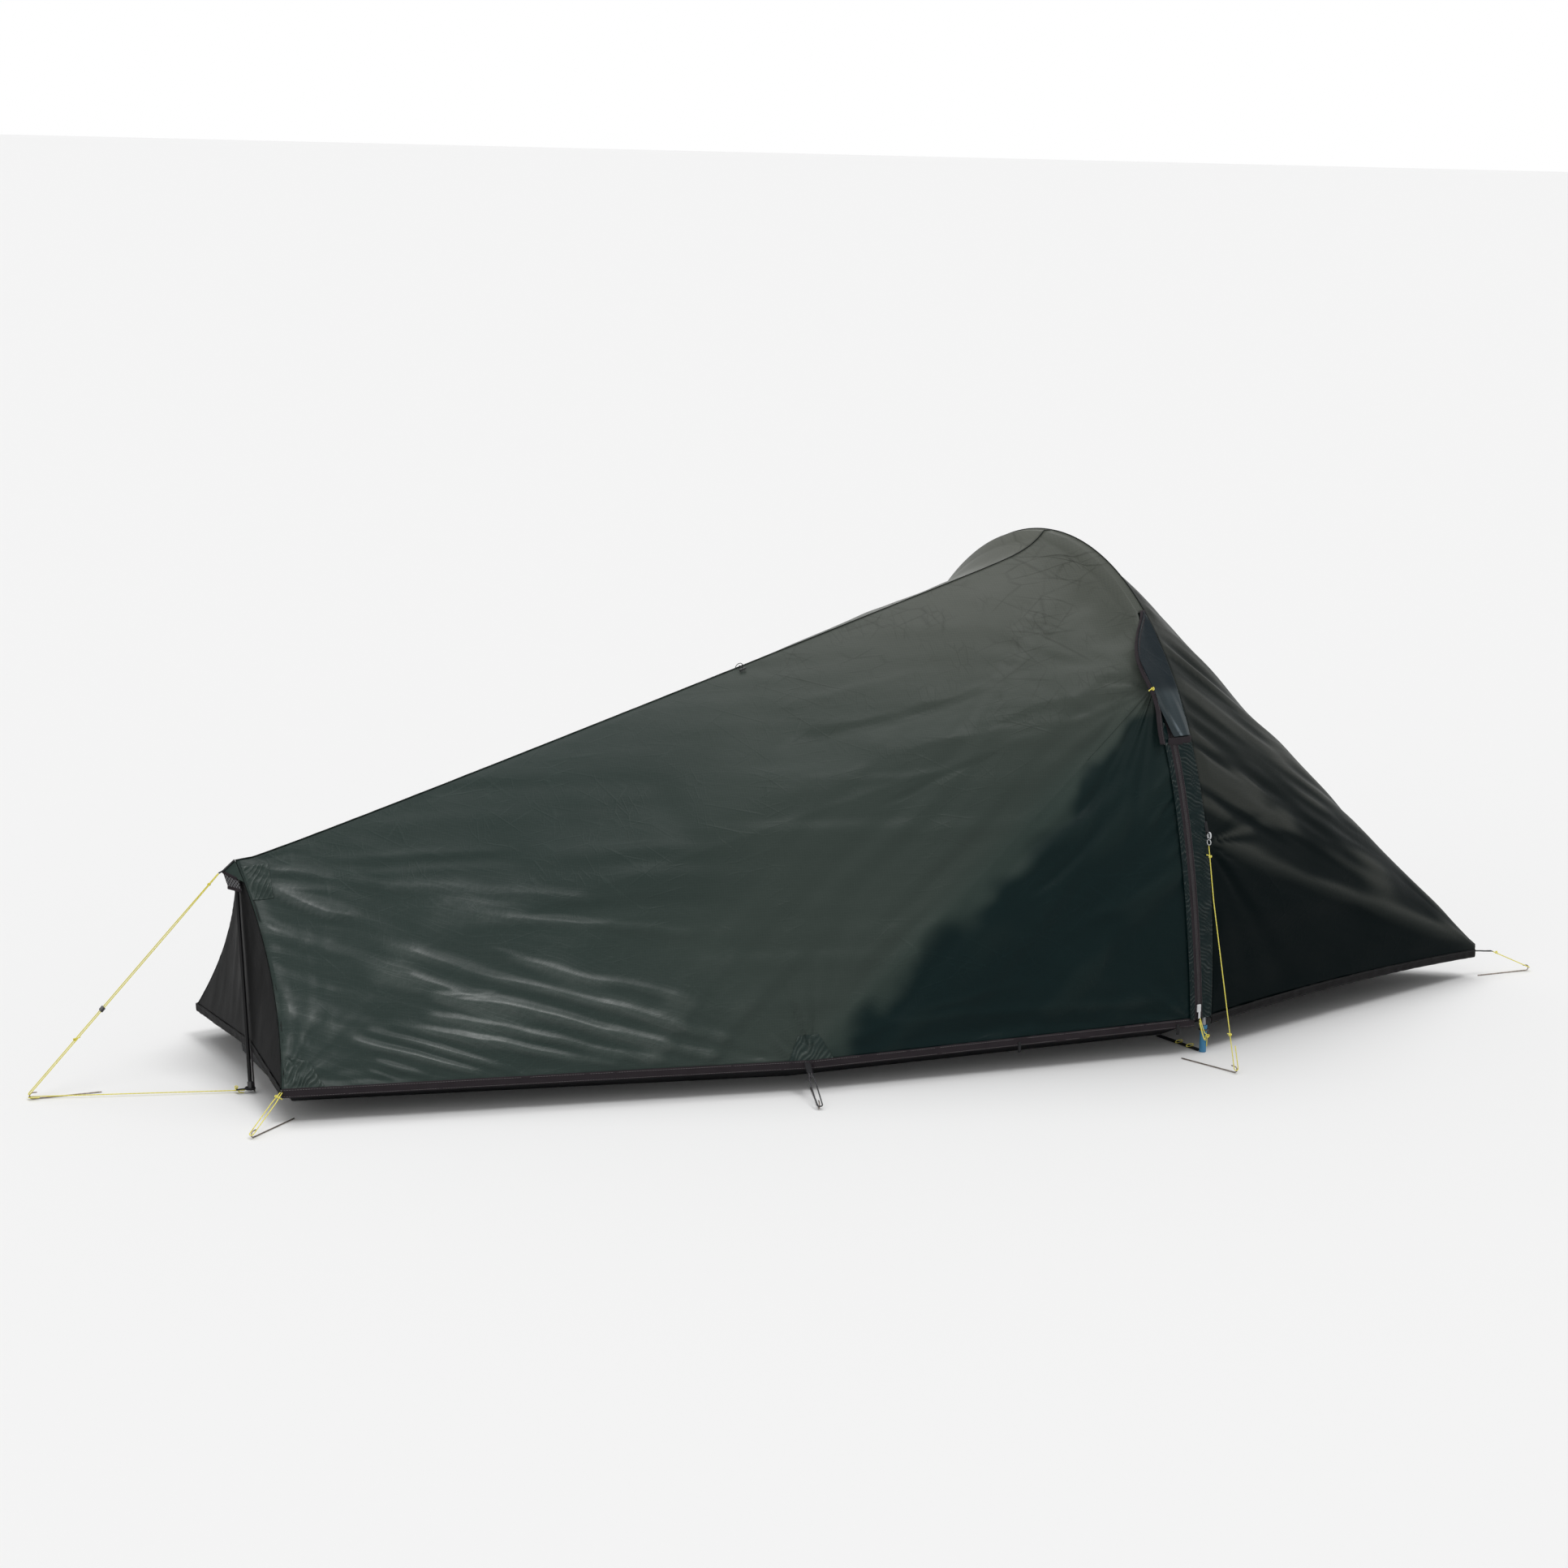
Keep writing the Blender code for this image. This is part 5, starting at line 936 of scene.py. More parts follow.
FOLDS = (  # half width and height in millimetres, then the photo's pixels that the fold runs through
    (9, 5.5, 436, 1282, 515, 1301, 596, 1325), (8, 5.5, 456, 1270, 542, 1291, 633, 1321),
    (10, 5.5, 485, 1261, 542, 1272, 626, 1289, 704, 1303, 781, 1316),
    (9, 5.0, 529, 1250, 623, 1269, 690, 1282, 758, 1299, 845, 1311),
    (12, 7.0, 542, 1229, 596, 1235, 653, 1244, 744, 1269, 828, 1289, 919, 1310),
    (10, 4.0, 475, 1161, 535, 1178, 610, 1205, 710, 1229, 812, 1256, 913, 1286),
    (10, 4.0, 603, 1168, 653, 1185, 710, 1202, 778, 1215, 845, 1229),
    (9, 3.5, 569, 1122, 663, 1133, 744, 1138, 855, 1150),
    (9, 3.5, 448, 1080, 508, 1087, 576, 1090, 660, 1099, 741, 1109),
    (8, 2.6, 424, 1050, 529, 1045, 643, 1043),
    (8, 2.4, 468, 1067, 576, 1064, 643, 1065), (7, 4.0, 461, 1306, 495, 1318, 529, 1328),
    (6, 3.5, 454, 1320, 488, 1332), (6, 3.0, 431, 1335, 451, 1338), (9, 5.0, 343, 1064, 377, 1065, 418, 1075),
    (10, 6.0, 343, 1087, 377, 1104, 414, 1121, 444, 1125), (6, 3.0, 350, 1082, 384, 1086, 418, 1090),
    (6, 3.0, 344, 1205, 347, 1256), (6, 3.0, 354, 1208, 361, 1259), (6, 2.0, 372, 1272, 381, 1299),
    (6, 5.0, 951, 1278, 963, 1291, 978, 1306), (6, -4.0, 933, 1299, 956, 1310, 973, 1312),
    (7, 3.0, 508, 1202, 549, 1214, 576, 1222), (6, 2.0, 539, 1225, 576, 1224, 613, 1224),
    (14, -4.5, 1233, 1090, 1267, 1047, 1317, 1007, 1380, 953),
    (10, -4.0, 1270, 1103, 1300, 1080, 1330, 1053, 1357, 1020),
    (16, -3.0, 1120, 1123, 1167, 1073, 1220, 1020, 1273, 963),
    (16, 3.5, 1187, 1140, 1257, 1073, 1330, 1020, 1393, 960),
    (16, 3.0, 1057, 1187, 1140, 1120, 1213, 1053, 1280, 993),
    (10, 3.5, 1040, 1287, 1090, 1263, 1187, 1250, 1293, 1241, 1380, 1237, 1447, 1231),
    (12, -3.0, 1047, 1293, 1120, 1283, 1247, 1263, 1380, 1257, 1453, 1250),
    (14, 3.5, 1313, 1157, 1343, 1133, 1383, 1118, 1447, 1080), (8, 2.2, 1113, 1250, 1193, 1230, 1267, 1210),
    (7, 4.0, 1413, 1017, 1430, 997, 1447, 977), (7, 4.0, 1420, 977, 1437, 953, 1447, 930),
    (7, -4.0, 1427, 1007, 1443, 987, 1453, 973), (7, 3.5, 1430, 1037, 1445, 1020, 1453, 1007),
    (7, 3.0, 1437, 1060, 1447, 1047, 1455, 1037), (7, 2.0, 1360, 1197, 1370, 1153),
    (7, 2.0, 1387, 1157, 1393, 1180), (7, 2.0, 1397, 1147, 1403, 1178),
    (8, 2.5, 980, 900, 1047, 883, 1147, 863, 1263, 833), (8, -2.5, 980, 915, 1063, 893, 1147, 875, 1243, 840),
    (7, 2.2, 1060, 863, 1180, 853, 1253, 835), (7, -2.0, 1230, 857, 1308, 857),
    (7, 2.4, 1313, 858, 1357, 873),
    (7, -2.0, 1277, 833, 1303, 850, 1315, 860), (7, 2.0, 1213, 891, 1267, 873, 1308, 858),
    (7, 1.8, 1107, 922, 1213, 900, 1333, 888), (7, 1.8, 1047, 962, 1120, 955, 1180, 945),
    (7, -2.0, 1090, 993, 1167, 953, 1233, 930), (7, -2.2, 1350, 918, 1377, 880),
    (7, -2.2, 1383, 920, 1393, 887, 1402, 870), (9, 2.2, 980, 863, 1060, 840, 1147, 820))
PHOTO_SIZE = 1932


def place_on_sheet(across, down):
    """The place on the near sheet's flat pattern that the camera sees at a pixel of the photo."""
    focal = PHOTO_SIZE * CAMERA_FOCAL / SENSOR
    right, below = across - PHOTO_SIZE / 2, down - PHOTO_SIZE / 2 - AXIS_SHIFT * PHOTO_SIZE
    view = np.array(looking * focal + rolled_side * right - rolled_up * below)
    start = np.array(CAMERA_SPOT)
    spot = start + view * (((middle - start) @ plane_out) / (view @ plane_out)) - middle
    return spot @ hem_along, spot @ slope_up


def painted_light_at(points):
    """How much painted highlight pales the cloth: most high at the crown, fading lower down and towards the
    foot end.
    """
    high, ahead = points[:, 2], points @ np.array(HOOP_AHEAD)
    return 0.62 * fade(high, 0.50, 1.02) * fade(ahead, -0.9, 0.1)


u, v = near.on(middle, hem_along, slope_up)
strut_flat, knot_flat = flat_spot(RIDGE_END), flat_spot(KNOT_SPOT)
zip_flat = flat_spot(zip_point(HOOP_HEM, ZIP_HALF))
door_side = (u * knot_flat[1] - v * knot_flat[0]) / math.hypot(*knot_flat)
strut_slope = math.atan2(-strut_flat[1], -strut_flat[0])
below_line = (u - strut_flat[0]) * math.sin(strut_slope) - (v - strut_flat[1]) * math.cos(strut_slope)
strut_way = math.degrees(strut_slope)
panel_zone = fade(-door_side, -0.02, 0.05)
door_zone = 1 - panel_zone
folds = streaks(u, v, strut_way, 0.037, 0.35, 0.0016, 11)
folds *= fade(below_line, -0.03, 0.03) * fade(-u, 0.03, 0.16)
lower = fade(below_line, -0.20, 0.02) * fade(-u, 0.0, 0.3)
folds += streaks(u, v, strut_way + 3, 0.050, 0.50, 0.0012, 12) * lower
wobble = pattern(25, u / 0.06, v / 0.06) * 0.0035
for fold in FOLDS:
    width, size, *pixels = fold
    folds += laid_fold(u, v + wobble, width, size,
                       [place_on_sheet(*spot) for spot in zip(pixels[::2], pixels[1::2])])
folds += streaks(u, v, 0, 0.055, 0.34, 0.0022, 13) * fade(-below_line, -0.02, 0.12) * panel_zone
folds += fan(u, v, (0, 0), 100, 50, 0.30, 7, 0.0060, 14)
folds += fan(u, v, knot_flat, 195, 55, 0.50, 6, 0.0055, 15)
folds += fan(u, v, strut_flat, -20, 30, 0.22, 5, 0.0025, 16)
folds += fan(u, v, flat_spot(CORNERS[NEAR]), 50, 50, 0.22, 7, 0.0050, 17)
along_fold = math.degrees(math.atan2(knot_flat[1], knot_flat[0]))
beside_fold = fade(-door_side, -0.05, 0.03) * fade(door_side, -0.40, -0.15)
folds += streaks(u, v, along_fold, 0.060, 0.45, 0.0045, 18) * beside_fold
folds += streaks(u, v, along_fold + 4, 0.075, 0.40, 0.0040, 19) * door_zone
folds += fan(u, v, zip_flat, 165, 50, 0.35, 7, 0.0045, 20) * door_zone
folds += fan(u, v, knot_flat, 240, 25, 0.40, 4, 0.0040, 21) * door_zone
folds += streaks(u, v, 88, 0.034, 0.20, 0.0010, 22) * fade(-u, 0.86, 0.96) * (1 - fade(v, 0.25, 0.40))
folds += pattern(23, u / 0.16, v / 0.11) * 0.0035 + pattern(24, u / 0.07 + v / 0.2, v / 0.06) * 0.0011
clear = near.rim_distance(0.06)
from_hoop = np.array([abs((Vector(p) - HOOP_CENTRE).dot(HOOP_AHEAD)) for p in near.points])
near_hoop = fade(from_hoop, 0.015, 0.10)
near.push(folds * fade(clear, 0.0, 0.018) * (0.12 + 0.88 * near_hoop))
ahead_of_hoop = (near.points - np.array(HOOP_CENTRE)) @ np.array(HOOP_AHEAD)
over_vent = fade(near.points[:, 2], VENT_TOP - 0.01, VENT_TOP + 0.03)
near.relax(fade(ahead_of_hoop, -0.085, -0.035) * over_vent * 0.5, 60,
           0.0024 + 0.012 * fade(-ahead_of_hoop, 0.0160, 0.036))
NEAR_AREA = near.area()
lobes = pattern(31, u / 0.09, v / 0.09) * 0.035 + pattern(32, u / 0.03, v / 0.03) * 0.012
crest = fade(folds, 0.0004, 0.0050)
taut = fade(-u, 0.0, 0.25) * fade(below_line, -0.22, 0.02)
# A greyer tone over the front part of the panel, made of some painted light and some painted shade.
greyed_front = fade(u, -0.55, 0.10) * panel_zone
# Painted reflection of dark surroundings over the door, its edge lobed, a little lighter on the fold crests
# as a painted highlight.
door_painted_reflection = fade(door_side + lobes, 0.0, 0.055) * (0.84 + 0.10 * fade(-v, -0.7, -0.2)) * (1 - 0.10 * crest)
# Painted shade under the ridge towards the foot end.
under_ridge_shade = 0.25 * fade(v, 0.20, 0.36) * (1 - fade(u, -0.3, 0.2))
# Painted shade also fills the troughs between the folds of the taut lower panel.
near_shade = np.maximum.reduce([door_painted_reflection, under_ridge_shade, 0.24 * taut * (1 - crest), 0.15 * greyed_front])
near_gloss = 0.05 + 0.08 * taut + 0.46 * taut * crest + 0.14 * fade(-u, 0.80, 0.95) * crest
near_gloss = near_gloss * (1 - 0.6 * door_zone) + 0.12 * fade(door_side, 0.30, 0.50) * crest
near_gloss += 0.22 * fade(-np.hypot(u, v), -0.16, -0.04) * crest
# Painted light on the near sheet: the crown's painted highlight, and some over the panel's front part.
near_painted_light = np.clip(painted_light_at(near.points) + 0.14 * greyed_front, 0, 1)
near_piece = near.finished("fly_near_cloth", FLY_CLOTH, np.stack([u, v], 1), None, through=near_painted_light,
                           shade=near_shade, gloss=near_gloss)
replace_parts(near_piece, "fly_near_panel", "fly_door")
across_fold = np.cross(plane_out, np.array(KNOT_SPOT) - middle)
across_fold /= np.linalg.norm(across_fold)
if across_fold @ (np.array(zip_point(HOOP_HEM, 0)) - middle) < 0:
    across_fold = -across_fold
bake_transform(near_piece)


# Far side of the fly, the near side's twin without a door: it ends at the front seam and meets the near
# sheet at the ridge seam, a narrow felled seam that hangs a little between the strut and the crown.
far_rows = side_rows(FAR, FAR_SPACING, 170)
far_low = []
for place in [place for place in even_places(FAR, FAR_SPACING) if place <= FOLD_PLACE]:
    height = lerp(HOOP_HEM, ZIP_TOP, place / FOLD_PLACE)
    end = hoop_at(FAR, height, 0, -BAND_WIDTH)
    far_low.append([lerp(front_edge(FAR, place), end, part) for part in evenly(70)])
far_over = []
for place in even_places(FAR, FAR_SPACING):
    angle = hoop_angle(lerp(HOOP_HEM, ZIP_TOP, place / FOLD_PLACE))
    if place > FOLD_PLACE:
        share = (place - FOLD_PLACE) / (CROWN_PLACE[FAR] - FOLD_PLACE)
        angle = lerp(hoop_angle(ZIP_TOP), math.pi / 2, share)
    far_over.append([hoop_point(FAR, angle, 0, -BAND_WIDTH + BAND_WIDTH * part) for part in evenly(4)])
far = Panel([far_rows, far_low[:-1] + [[FAR_FOLD_TOP] * 71], far_over], Vector((HOOP_X - 0.2, 0, 0.15)))
far_u, far_v = far.on(MIDDLES[FAR], (1, 0, 0), (0, -0.28, 0.96))
folds = pattern(41, far_u / 0.15, far_v / 0.10) * 0.0040 + pattern(42, far_u / 0.06, far_v / 0.05) * 0.0012
folds += streaks(far_u, far_v, -22, 0.045, 0.35, 0.0050, 43, 0.5) * fade(-far_u, 0.0, 0.3)
folds += fan(far_u, far_v, (0, 0), 80, 60, 0.30, 7, 0.0050, 44)
far_knot = (FAR_FOLD_TOP.x - MIDDLES[FAR].x, (FAR_FOLD_TOP.z - MIDDLES[FAR].z) * 0.96)
folds += fan(far_u, far_v, far_knot, 205, 55, 0.45, 6, 0.0050, 45)
behind_hoop = -(far.points - np.array(HOOP_CENTRE)) @ np.array(HOOP_AHEAD)
far.push(folds * fade(far.rim_distance(0.06), 0.0, 0.035) * (0.12 + 0.88 * fade(behind_hoop, 0.015, 0.10)))
ahead_of_hoop = (far.points - np.array(HOOP_CENTRE)) @ np.array(HOOP_AHEAD)
far.relax(fade(ahead_of_hoop, -0.085, -0.035) * 0.5, 60, 0.0024 + 0.012 * fade(-ahead_of_hoop, 0.0160, 0.036))
FAR_AREA = far.area()
# Painted highlight on the far crown, a quarter stronger than on the near sheet.
far_piece = far.finished("fly_far_cloth", FLY_CLOTH, np.stack([far_u, far_v], 1), body="tent",
                         through=np.minimum(1, painted_light_at(far.points) * 1.25))
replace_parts(far_piece, "fly_far_panel", "crown_band")


# Nose of the fly: two panels of the same cloth from the front seam down to the nose peg, which meet in
# a seam along their ridge. The pull of the guy line and the peg draws folds from the hoop to the tip.
def nose_rows(side, count, columns):
    rows = []
    for angle in steps(hoop_angle(HOOP_HEM), math.pi / 2, count):
        share = (angle - hoop_angle(HOOP_HEM)) / (math.pi / 2 - hoop_angle(HOOP_HEM))
        source = hoop_point(side, angle, 0, SEAM_GAP)
        reach = (NOSE - source).length
        row = []
        for part in steps(0, 1 - 0.020 / reach, columns):
            bow = 4 * part * (1 - part)
            row.append(lerp(source, NOSE, part) + UP * bow * (0.012 * (1 - share) ** 3 - 0.014 * share ** 2))
        rows.append(row)
    return rows


# Its shaded colour gives the painted shade of the nose, its pale colour the painted highlight on its stripes.
NOSE_CLOTH = fly_cloth("nose_cloth", (0.034, 0.040, 0.036), (0.0010, 0.0036, 0.0040), (0.105, 0.098, 0.085),
                       0.4, 0.02)
for side, label in ((NEAR, "near"), (FAR, "far")):
    nose = Panel([nose_rows(side, 170, 130)], Vector((HOOP_X + 0.2, -0.05, 0.1)))
    corners = [np.array(hoop_at(side, HOOP_HEM)), np.array(NOSE), np.array(hoop_point(side, math.pi / 2))]
    nose_along = (corners[1] - corners[0]) / np.linalg.norm(corners[1] - corners[0])
    nose_out = np.cross(nose_along, corners[2] - corners[0])
    nose_up = np.cross(nose_out / np.linalg.norm(nose_out), nose_along)
    nose_up *= 1 if nose_up[2] > 0 else -1
    nu, nv = nose.on(corners[0], nose_along, nose_up)

    def on_nose(point):
        offset = np.array(point) - corners[0]
        return float(offset @ nose_along), float(offset @ nose_up)

    tip, guy = on_nose(NOSE), on_nose(hoop_at(side, RING_HEIGHT))
    pull = math.degrees(math.atan2(tip[1] - guy[1], tip[0] - guy[0]))
    above = (nv - guy[1]) - (nu - guy[0]) * math.tan(math.radians(pull))
    folds = streaks(nu, nv, pull - 8, 0.042, 0.20, 0.0055, 51 + side) * fade(above, 0.02, 0.12)
    folds *= 1 - fade(nu, 0.25, 0.75)
    folds += fan(nu, nv, tip, 180 + pull - 10, 26, 1.2, 7, 0.0045, 54 + side, 0.10)
    folds += fan(nu, nv, guy, pull, 40, 0.30, 8, 0.0060, 57 + side)
    folds += crease(nu, nv, guy, tip, 0.018, 0.0060)
    folds += streaks(nu, nv, 2, 0.090, 0.40, 0.0028, 60 + side) * (1 - fade(above, -0.05, 0.05))
    folds += pattern(63 + side, nu / 0.12, nv / 0.10) * 0.0028
    clear = nose.rim_distance(0.05)
    nose.push(folds * fade(clear, 0.0, 0.03))
    area = nose.area()
    # Painted shade over the nose, deepest below the line from the guy ring to the tip; above it the fold
    # crests and a band high on the panel get paler stripes, a painted highlight.
    low_side = fade(-above, -0.03, 0.03)
    stripe = np.clip(fade(folds, -0.0010, 0.0034) + 0.45 * fade(above, 0.10, 0.30), 0, 1) * (1 - low_side)
    dark = np.clip(0.96 + 0.04 * low_side - 0.62 * stripe, 0, 1)
    piece = nose.finished("nose_%s_cloth" % label, NOSE_CLOTH, np.stack([nu, nv], 1),
                          shade=dark, through=0.20 * stripe, gloss=0.02 + 0.05 * stripe)
    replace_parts(piece, "nose_%s_panel" % label)


# Zip of the door. Two halves of dark purple-brown tape with a coil of small teeth, sewn to the door
# and to a puckered band of fly cloth beside the hoop; a pale slider at the hem and a metal one at the top.
TAPE_FINISH = woven("binding_tape", (0.021, 0.0165, 0.0195), 0.66, rib=0.0016, across=0.0030, lift=0.00012,
                    glint=0.35)
THREAD = Finish("pale_thread", 0.7)
THREAD.worn(900, 2, 1.0, (0.17, 0.16, 0.16), (0.10, 0.095, 0.10))
DARK_THREAD = Finish("dark_thread", 0.7)
DARK_THREAD.worn(900, 2, 1.0, (0.020, 0.024, 0.023), (0.008, 0.010, 0.010))
TEETH = Finish("zip_coil", 0.45)
TEETH.worn(300, 2, 1.0, (0.030, 0.027, 0.030), (0.075, 0.068, 0.072), (0.3, 0.35), (0.7, 0.6))


def row_tree():
    """Short rods laid end to end along a curve: stitches and the teeth of a zip."""
    tree = bpy.data.node_groups.new("rods_along_a_line", "GeometryNodeTree")
    face = tree.interface
    face.new_socket(name="Line", in_out="INPUT", socket_type="NodeSocketGeometry")
    face.new_socket(name="Rods", in_out="OUTPUT", socket_type="NodeSocketGeometry")
    for name, size in (("Pitch", 0.003), ("Length", 0.002), ("Radius", 0.0003)):
        face.new_socket(name=name, in_out="INPUT", socket_type="NodeSocketFloat").default_value = size
    face.new_socket(name="Sideways", in_out="INPUT", socket_type="NodeSocketBool").default_value = False
    face.new_socket(name="Thread", in_out="INPUT", socket_type="NodeSocketMaterial")
    node = tree.nodes.new
    given, out = node("NodeGroupInput"), node("NodeGroupOutput")
    spaced = node("GeometryNodeResampleCurve")
    spaced.mode = "LENGTH"
    rod = node("GeometryNodeMeshCylinder")
    rod.inputs["Vertices"].default_value = 6
    along = node("GeometryNodeInputTangent")
    aside = node("ShaderNodeVectorMath")
    aside.operation = "CROSS_PRODUCT"
    normal = node("GeometryNodeInputNormal")
    way = node("GeometryNodeSwitch")
    way.input_type = "VECTOR"
    turn = node("FunctionNodeAlignRotationToVector")
    turn.axis = "Z"
    lay, real = node("GeometryNodeInstanceOnPoints"), node("GeometryNodeRealizeInstances")
    paint = node("GeometryNodeSetMaterial")
    for start, way_out, end, way_in in (
            (given, "Line", spaced, "Curve"), (given, "Pitch", spaced, "Length"),
            (given, "Radius", rod, "Radius"), (given, "Length", rod, "Depth"),
            (spaced, 0, lay, "Points"), (rod, "Mesh", lay, "Instance"),
            (along, 0, aside, 0), (normal, 0, aside, 1), (given, "Sideways", way, "Switch"),
            (along, 0, way, "False"), (aside, 0, way, "True"), (way, 0, turn, "Vector"),
            (turn, 0, lay, "Rotation"), (lay, 0, real, 0), (real, 0, paint, "Geometry"),
            (given, "Thread", paint, "Material"), (paint, 0, out, "Rods")):
        tree.links.new(start.outputs[way_out], end.inputs[way_in])
    return tree


ROD_ROW = row_tree()


def rods(name, lines, finish, pitch=0.0042, length=0.0030, radius=0.00035, sideways=False, body="tent"):
    """A row of stitches or teeth along one or more lines of points, as one plain mesh on one body."""
    curve = bpy.data.curves.new(name + "_line", "CURVE")
    curve.dimensions = "3D"
    for line in lines:
        spline = curve.splines.new("POLY")
        spline.points.add(len(line) - 1)
        for spot, point in zip(spline.points, line):
            spot.co = (*point, 1)
    holder = bpy.data.objects.new(name + "_line", curve)
    bpy.context.scene.collection.objects.link(holder)
    made = holder.modifiers.new("rods", "NODES")
    made.node_group = ROD_ROW
    sizes = {"Pitch": pitch, "Length": length, "Radius": radius, "Sideways": sideways,
             "Thread": getattr(finish, "material", finish)}
    for item in ROD_ROW.interface.items_tree:
        if item.in_out == "INPUT" and item.name in sizes:
            made[item.identifier] = sizes[item.name]
    graph = bpy.context.evaluated_depsgraph_get()
    mesh = bpy.data.meshes.new_from_object(holder.evaluated_get(graph))
    bpy.data.objects.remove(holder, do_unlink=True)
    piece = bpy.data.objects.new(name, mesh)
    bpy.context.scene.collection.objects.link(piece)
    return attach(piece, body)


OUT = -HOOP_ACROSS
zip_heights = steps(HOOP_HEM, ZIP_TOP - 0.014, 90)
for label, inner, outer, body in (("door", TOUCH_GAP, ZIP_HALF, "door"),
                                  ("hoop", -ZIP_HALF, -TOUCH_GAP, "tent")):
    edges = [(zip_point(h, inner) + OUT * 0.0006, zip_point(h, outer) + OUT * 0.0006) for h in zip_heights]
    tape = ribbon("zip_tape_%s_weave" % label, edges, TAPE_FINISH, 0.0009, body, 5, 0.006,
                  0.0003, 71)
    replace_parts(tape, "zip_tape_" + label)
    side = 1 if label == "door" else -1
    coil = [zip_point(h, side * 0.0013) + OUT * 0.0014 for h in zip_heights]
    rods("zip_teeth_" + label, [coil], TEETH, 0.0016, 0.0022, 0.00045, True, body)
    rows = [[zip_point(h, side * reach) + OUT * 0.0014 for h in zip_heights] for reach in (0.0042, 0.0098)]
    rods("zip_stitches_" + label, rows, DARK_THREAD if label == "door" else THREAD, 0.0036,
         0.0024, 0.00022, False, body)


def puckered(name, inner, outer, lift, period, size, seed, body="tent", slant=0.6,
             heights=(HOOP_HEM, ZIP_TOP)):
    """A narrow band of fly cloth that its seams have drawn into short slanted puckers."""
    rows = []
    for h in steps(heights[0], heights[1], 520):
        rows.append([lerp(inner(h), outer(h), part) for part in evenly(12)])
    band = Panel([rows], Vector((HOOP_X, 0, 0.4)))
    bu, bv = band.on(hoop_at(NEAR, 0.4), HOOP_AHEAD, UP)
    share = np.zeros(len(band.points))
    share[band.own[0]] = np.array(evenly(12))[None, :]
    turned = math.pi * (bv + bu * slant) / period + 2.0 * pattern(seed, bv / (period * 3), share * 2.5)
    hills = (1 - np.abs(np.sin(turned))) ** 1.5 * (0.75 + 0.6 * pattern(seed + 1, bv / 0.012, share * 2.2))
    band.push(lift + size * hills * np.sin(math.pi * np.clip(share, 0.06, 0.94)) ** 0.6)
    area = band.area()
    # The band is mixed almost to the shaded colour, like the door beside it, and the pucker crests stay
    # paler, a painted highlight.
    crests = fade(hills, 0.25, 0.9)
    piece = band.finished(name, FLY_CLOTH, np.stack([bu, bv], 1), body, shade=0.96 - 0.46 * crests,
                          gloss=0.10 + 0.40 * crests)
    return piece


hoop_band = puckered("zip_band_cloth", lambda h: hoop_at(NEAR, h, 0, -zip_recess(h) + ZIP_HALF - 0.001),
                     lambda h: hoop_at(NEAR, h, 0, 0), 0.0012, 0.0085, 0.0030, 73)
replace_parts(hoop_band, "zip_band")
puckered("door_edge_cloth", lambda h: zip_point(h, ZIP_HALF - 0.0010),
         lambda h: zip_point(h, ZIP_HALF + 0.012), 0.0012, 0.010,
         0.0022, 76, "door", -0.5, (HOOP_HEM, ZIP_TOP - 0.03))

SLIDER_PALE = Finish("pale_plastic", 0.38)
SLIDER_PALE.worn(220, 3, 0.6, (0.66, 0.67, 0.68), (0.46, 0.47, 0.48), (0.2, 0.3), (0.8, 0.5))
METAL = Finish("zip_metal", 0.34, 1.0)
METAL.worn(260, 3, 1.0, (0.10, 0.10, 0.105), (0.04, 0.04, 0.045), (0.2, 0.25), (0.8, 0.5))
PLASTIC = Finish("black_plastic", 0.42)
scuff = PLASTIC.worn(150, 3, 0.5, (0.014, 0.014, 0.015), (0.040, 0.040, 0.042), (0.2, 0.32), (0.8, 0.55))
PLASTIC.set(Normal=PLASTIC.bump(scuff, 0.0001, 0.4))
paint(SLIDER_PALE.material, "zip_slider_lower", "guy_ring_near", "guy_ring_far")
paint(METAL.material, "zip_slider_upper", "inner_zip_slider")
paint(PLASTIC.material, "foot_line_lock", "ridge_toggle", "ridge_loop", "strut_top_cap", "strut_foot_cap")

strap_up = UP * 0.016
strap_ends = [zip_point(0.630, ZIP_HALF + 0.004), hoop_at(NEAR, 0.630, 0, -0.002)]
strap_line = [lerp(*strap_ends, share) + OUT * (0.0030 + 0.0015 * math.sin(math.pi * share))
              for share in evenly(8)]
strap = ribbon("vent_strap_weave", banded(strap_line, strap_up / 2), TAPE_FINISH,
               0.0012, "door_strap", 6, 0.004, 0.0004, 79)
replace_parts(strap, "vent_strap")
box_stitch = [[spot + OUT * 0.0009 + strap_up * 0.38 * lift for spot in strap_line] for lift in (-1, 1)]
rods("vent_strap_stitches", box_stitch, DARK_THREAD, 0.0032, 0.0022, 0.00022, False,
     "door_strap")


# Leaf-shaped vent over the top of the zip: dark blue-grey cloth gathered into folds towards the strap,
# its rear edge bound with the same tape as the zip, and a yellow cord knotted through it.
# Its pale colour gives the painted highlight on the leaf's gathered folds.
VENT_CLOTH = fly_cloth("vent_cloth", (0.030, 0.040, 0.044), (0.012, 0.018, 0.022), (0.12, 0.15, 0.17), 0.6)
LEAF_HEIGHTS = (0.628, 0.661, 0.692, 0.723, 0.750, 0.773, 0.795, 0.822, 0.850, VENT_TOP)
LEAF_BACKS = (0.079, 0.078, 0.071, 0.071, 0.078, 0.082, 0.078, 0.060, 0.028, 0.003)


def leaf_back(height):
    """How far behind the hoop the vent's taped rear edge runs, eased between its measured places."""
    near_by = [float(np.interp(height + shift, LEAF_HEIGHTS, LEAF_BACKS))
               for shift in (-0.012, -0.006, 0, 0.006, 0.012)]
    return sum(near_by) / 5


def leaf_lift(height):
    """How far the tape and the leaf stand proud of the door: least at the hoop and at the strap."""
    return 0.0030 + 0.0050 * math.sin(math.pi * min(1, max(0, (height - 0.63) / (VENT_TOP - 0.63))))


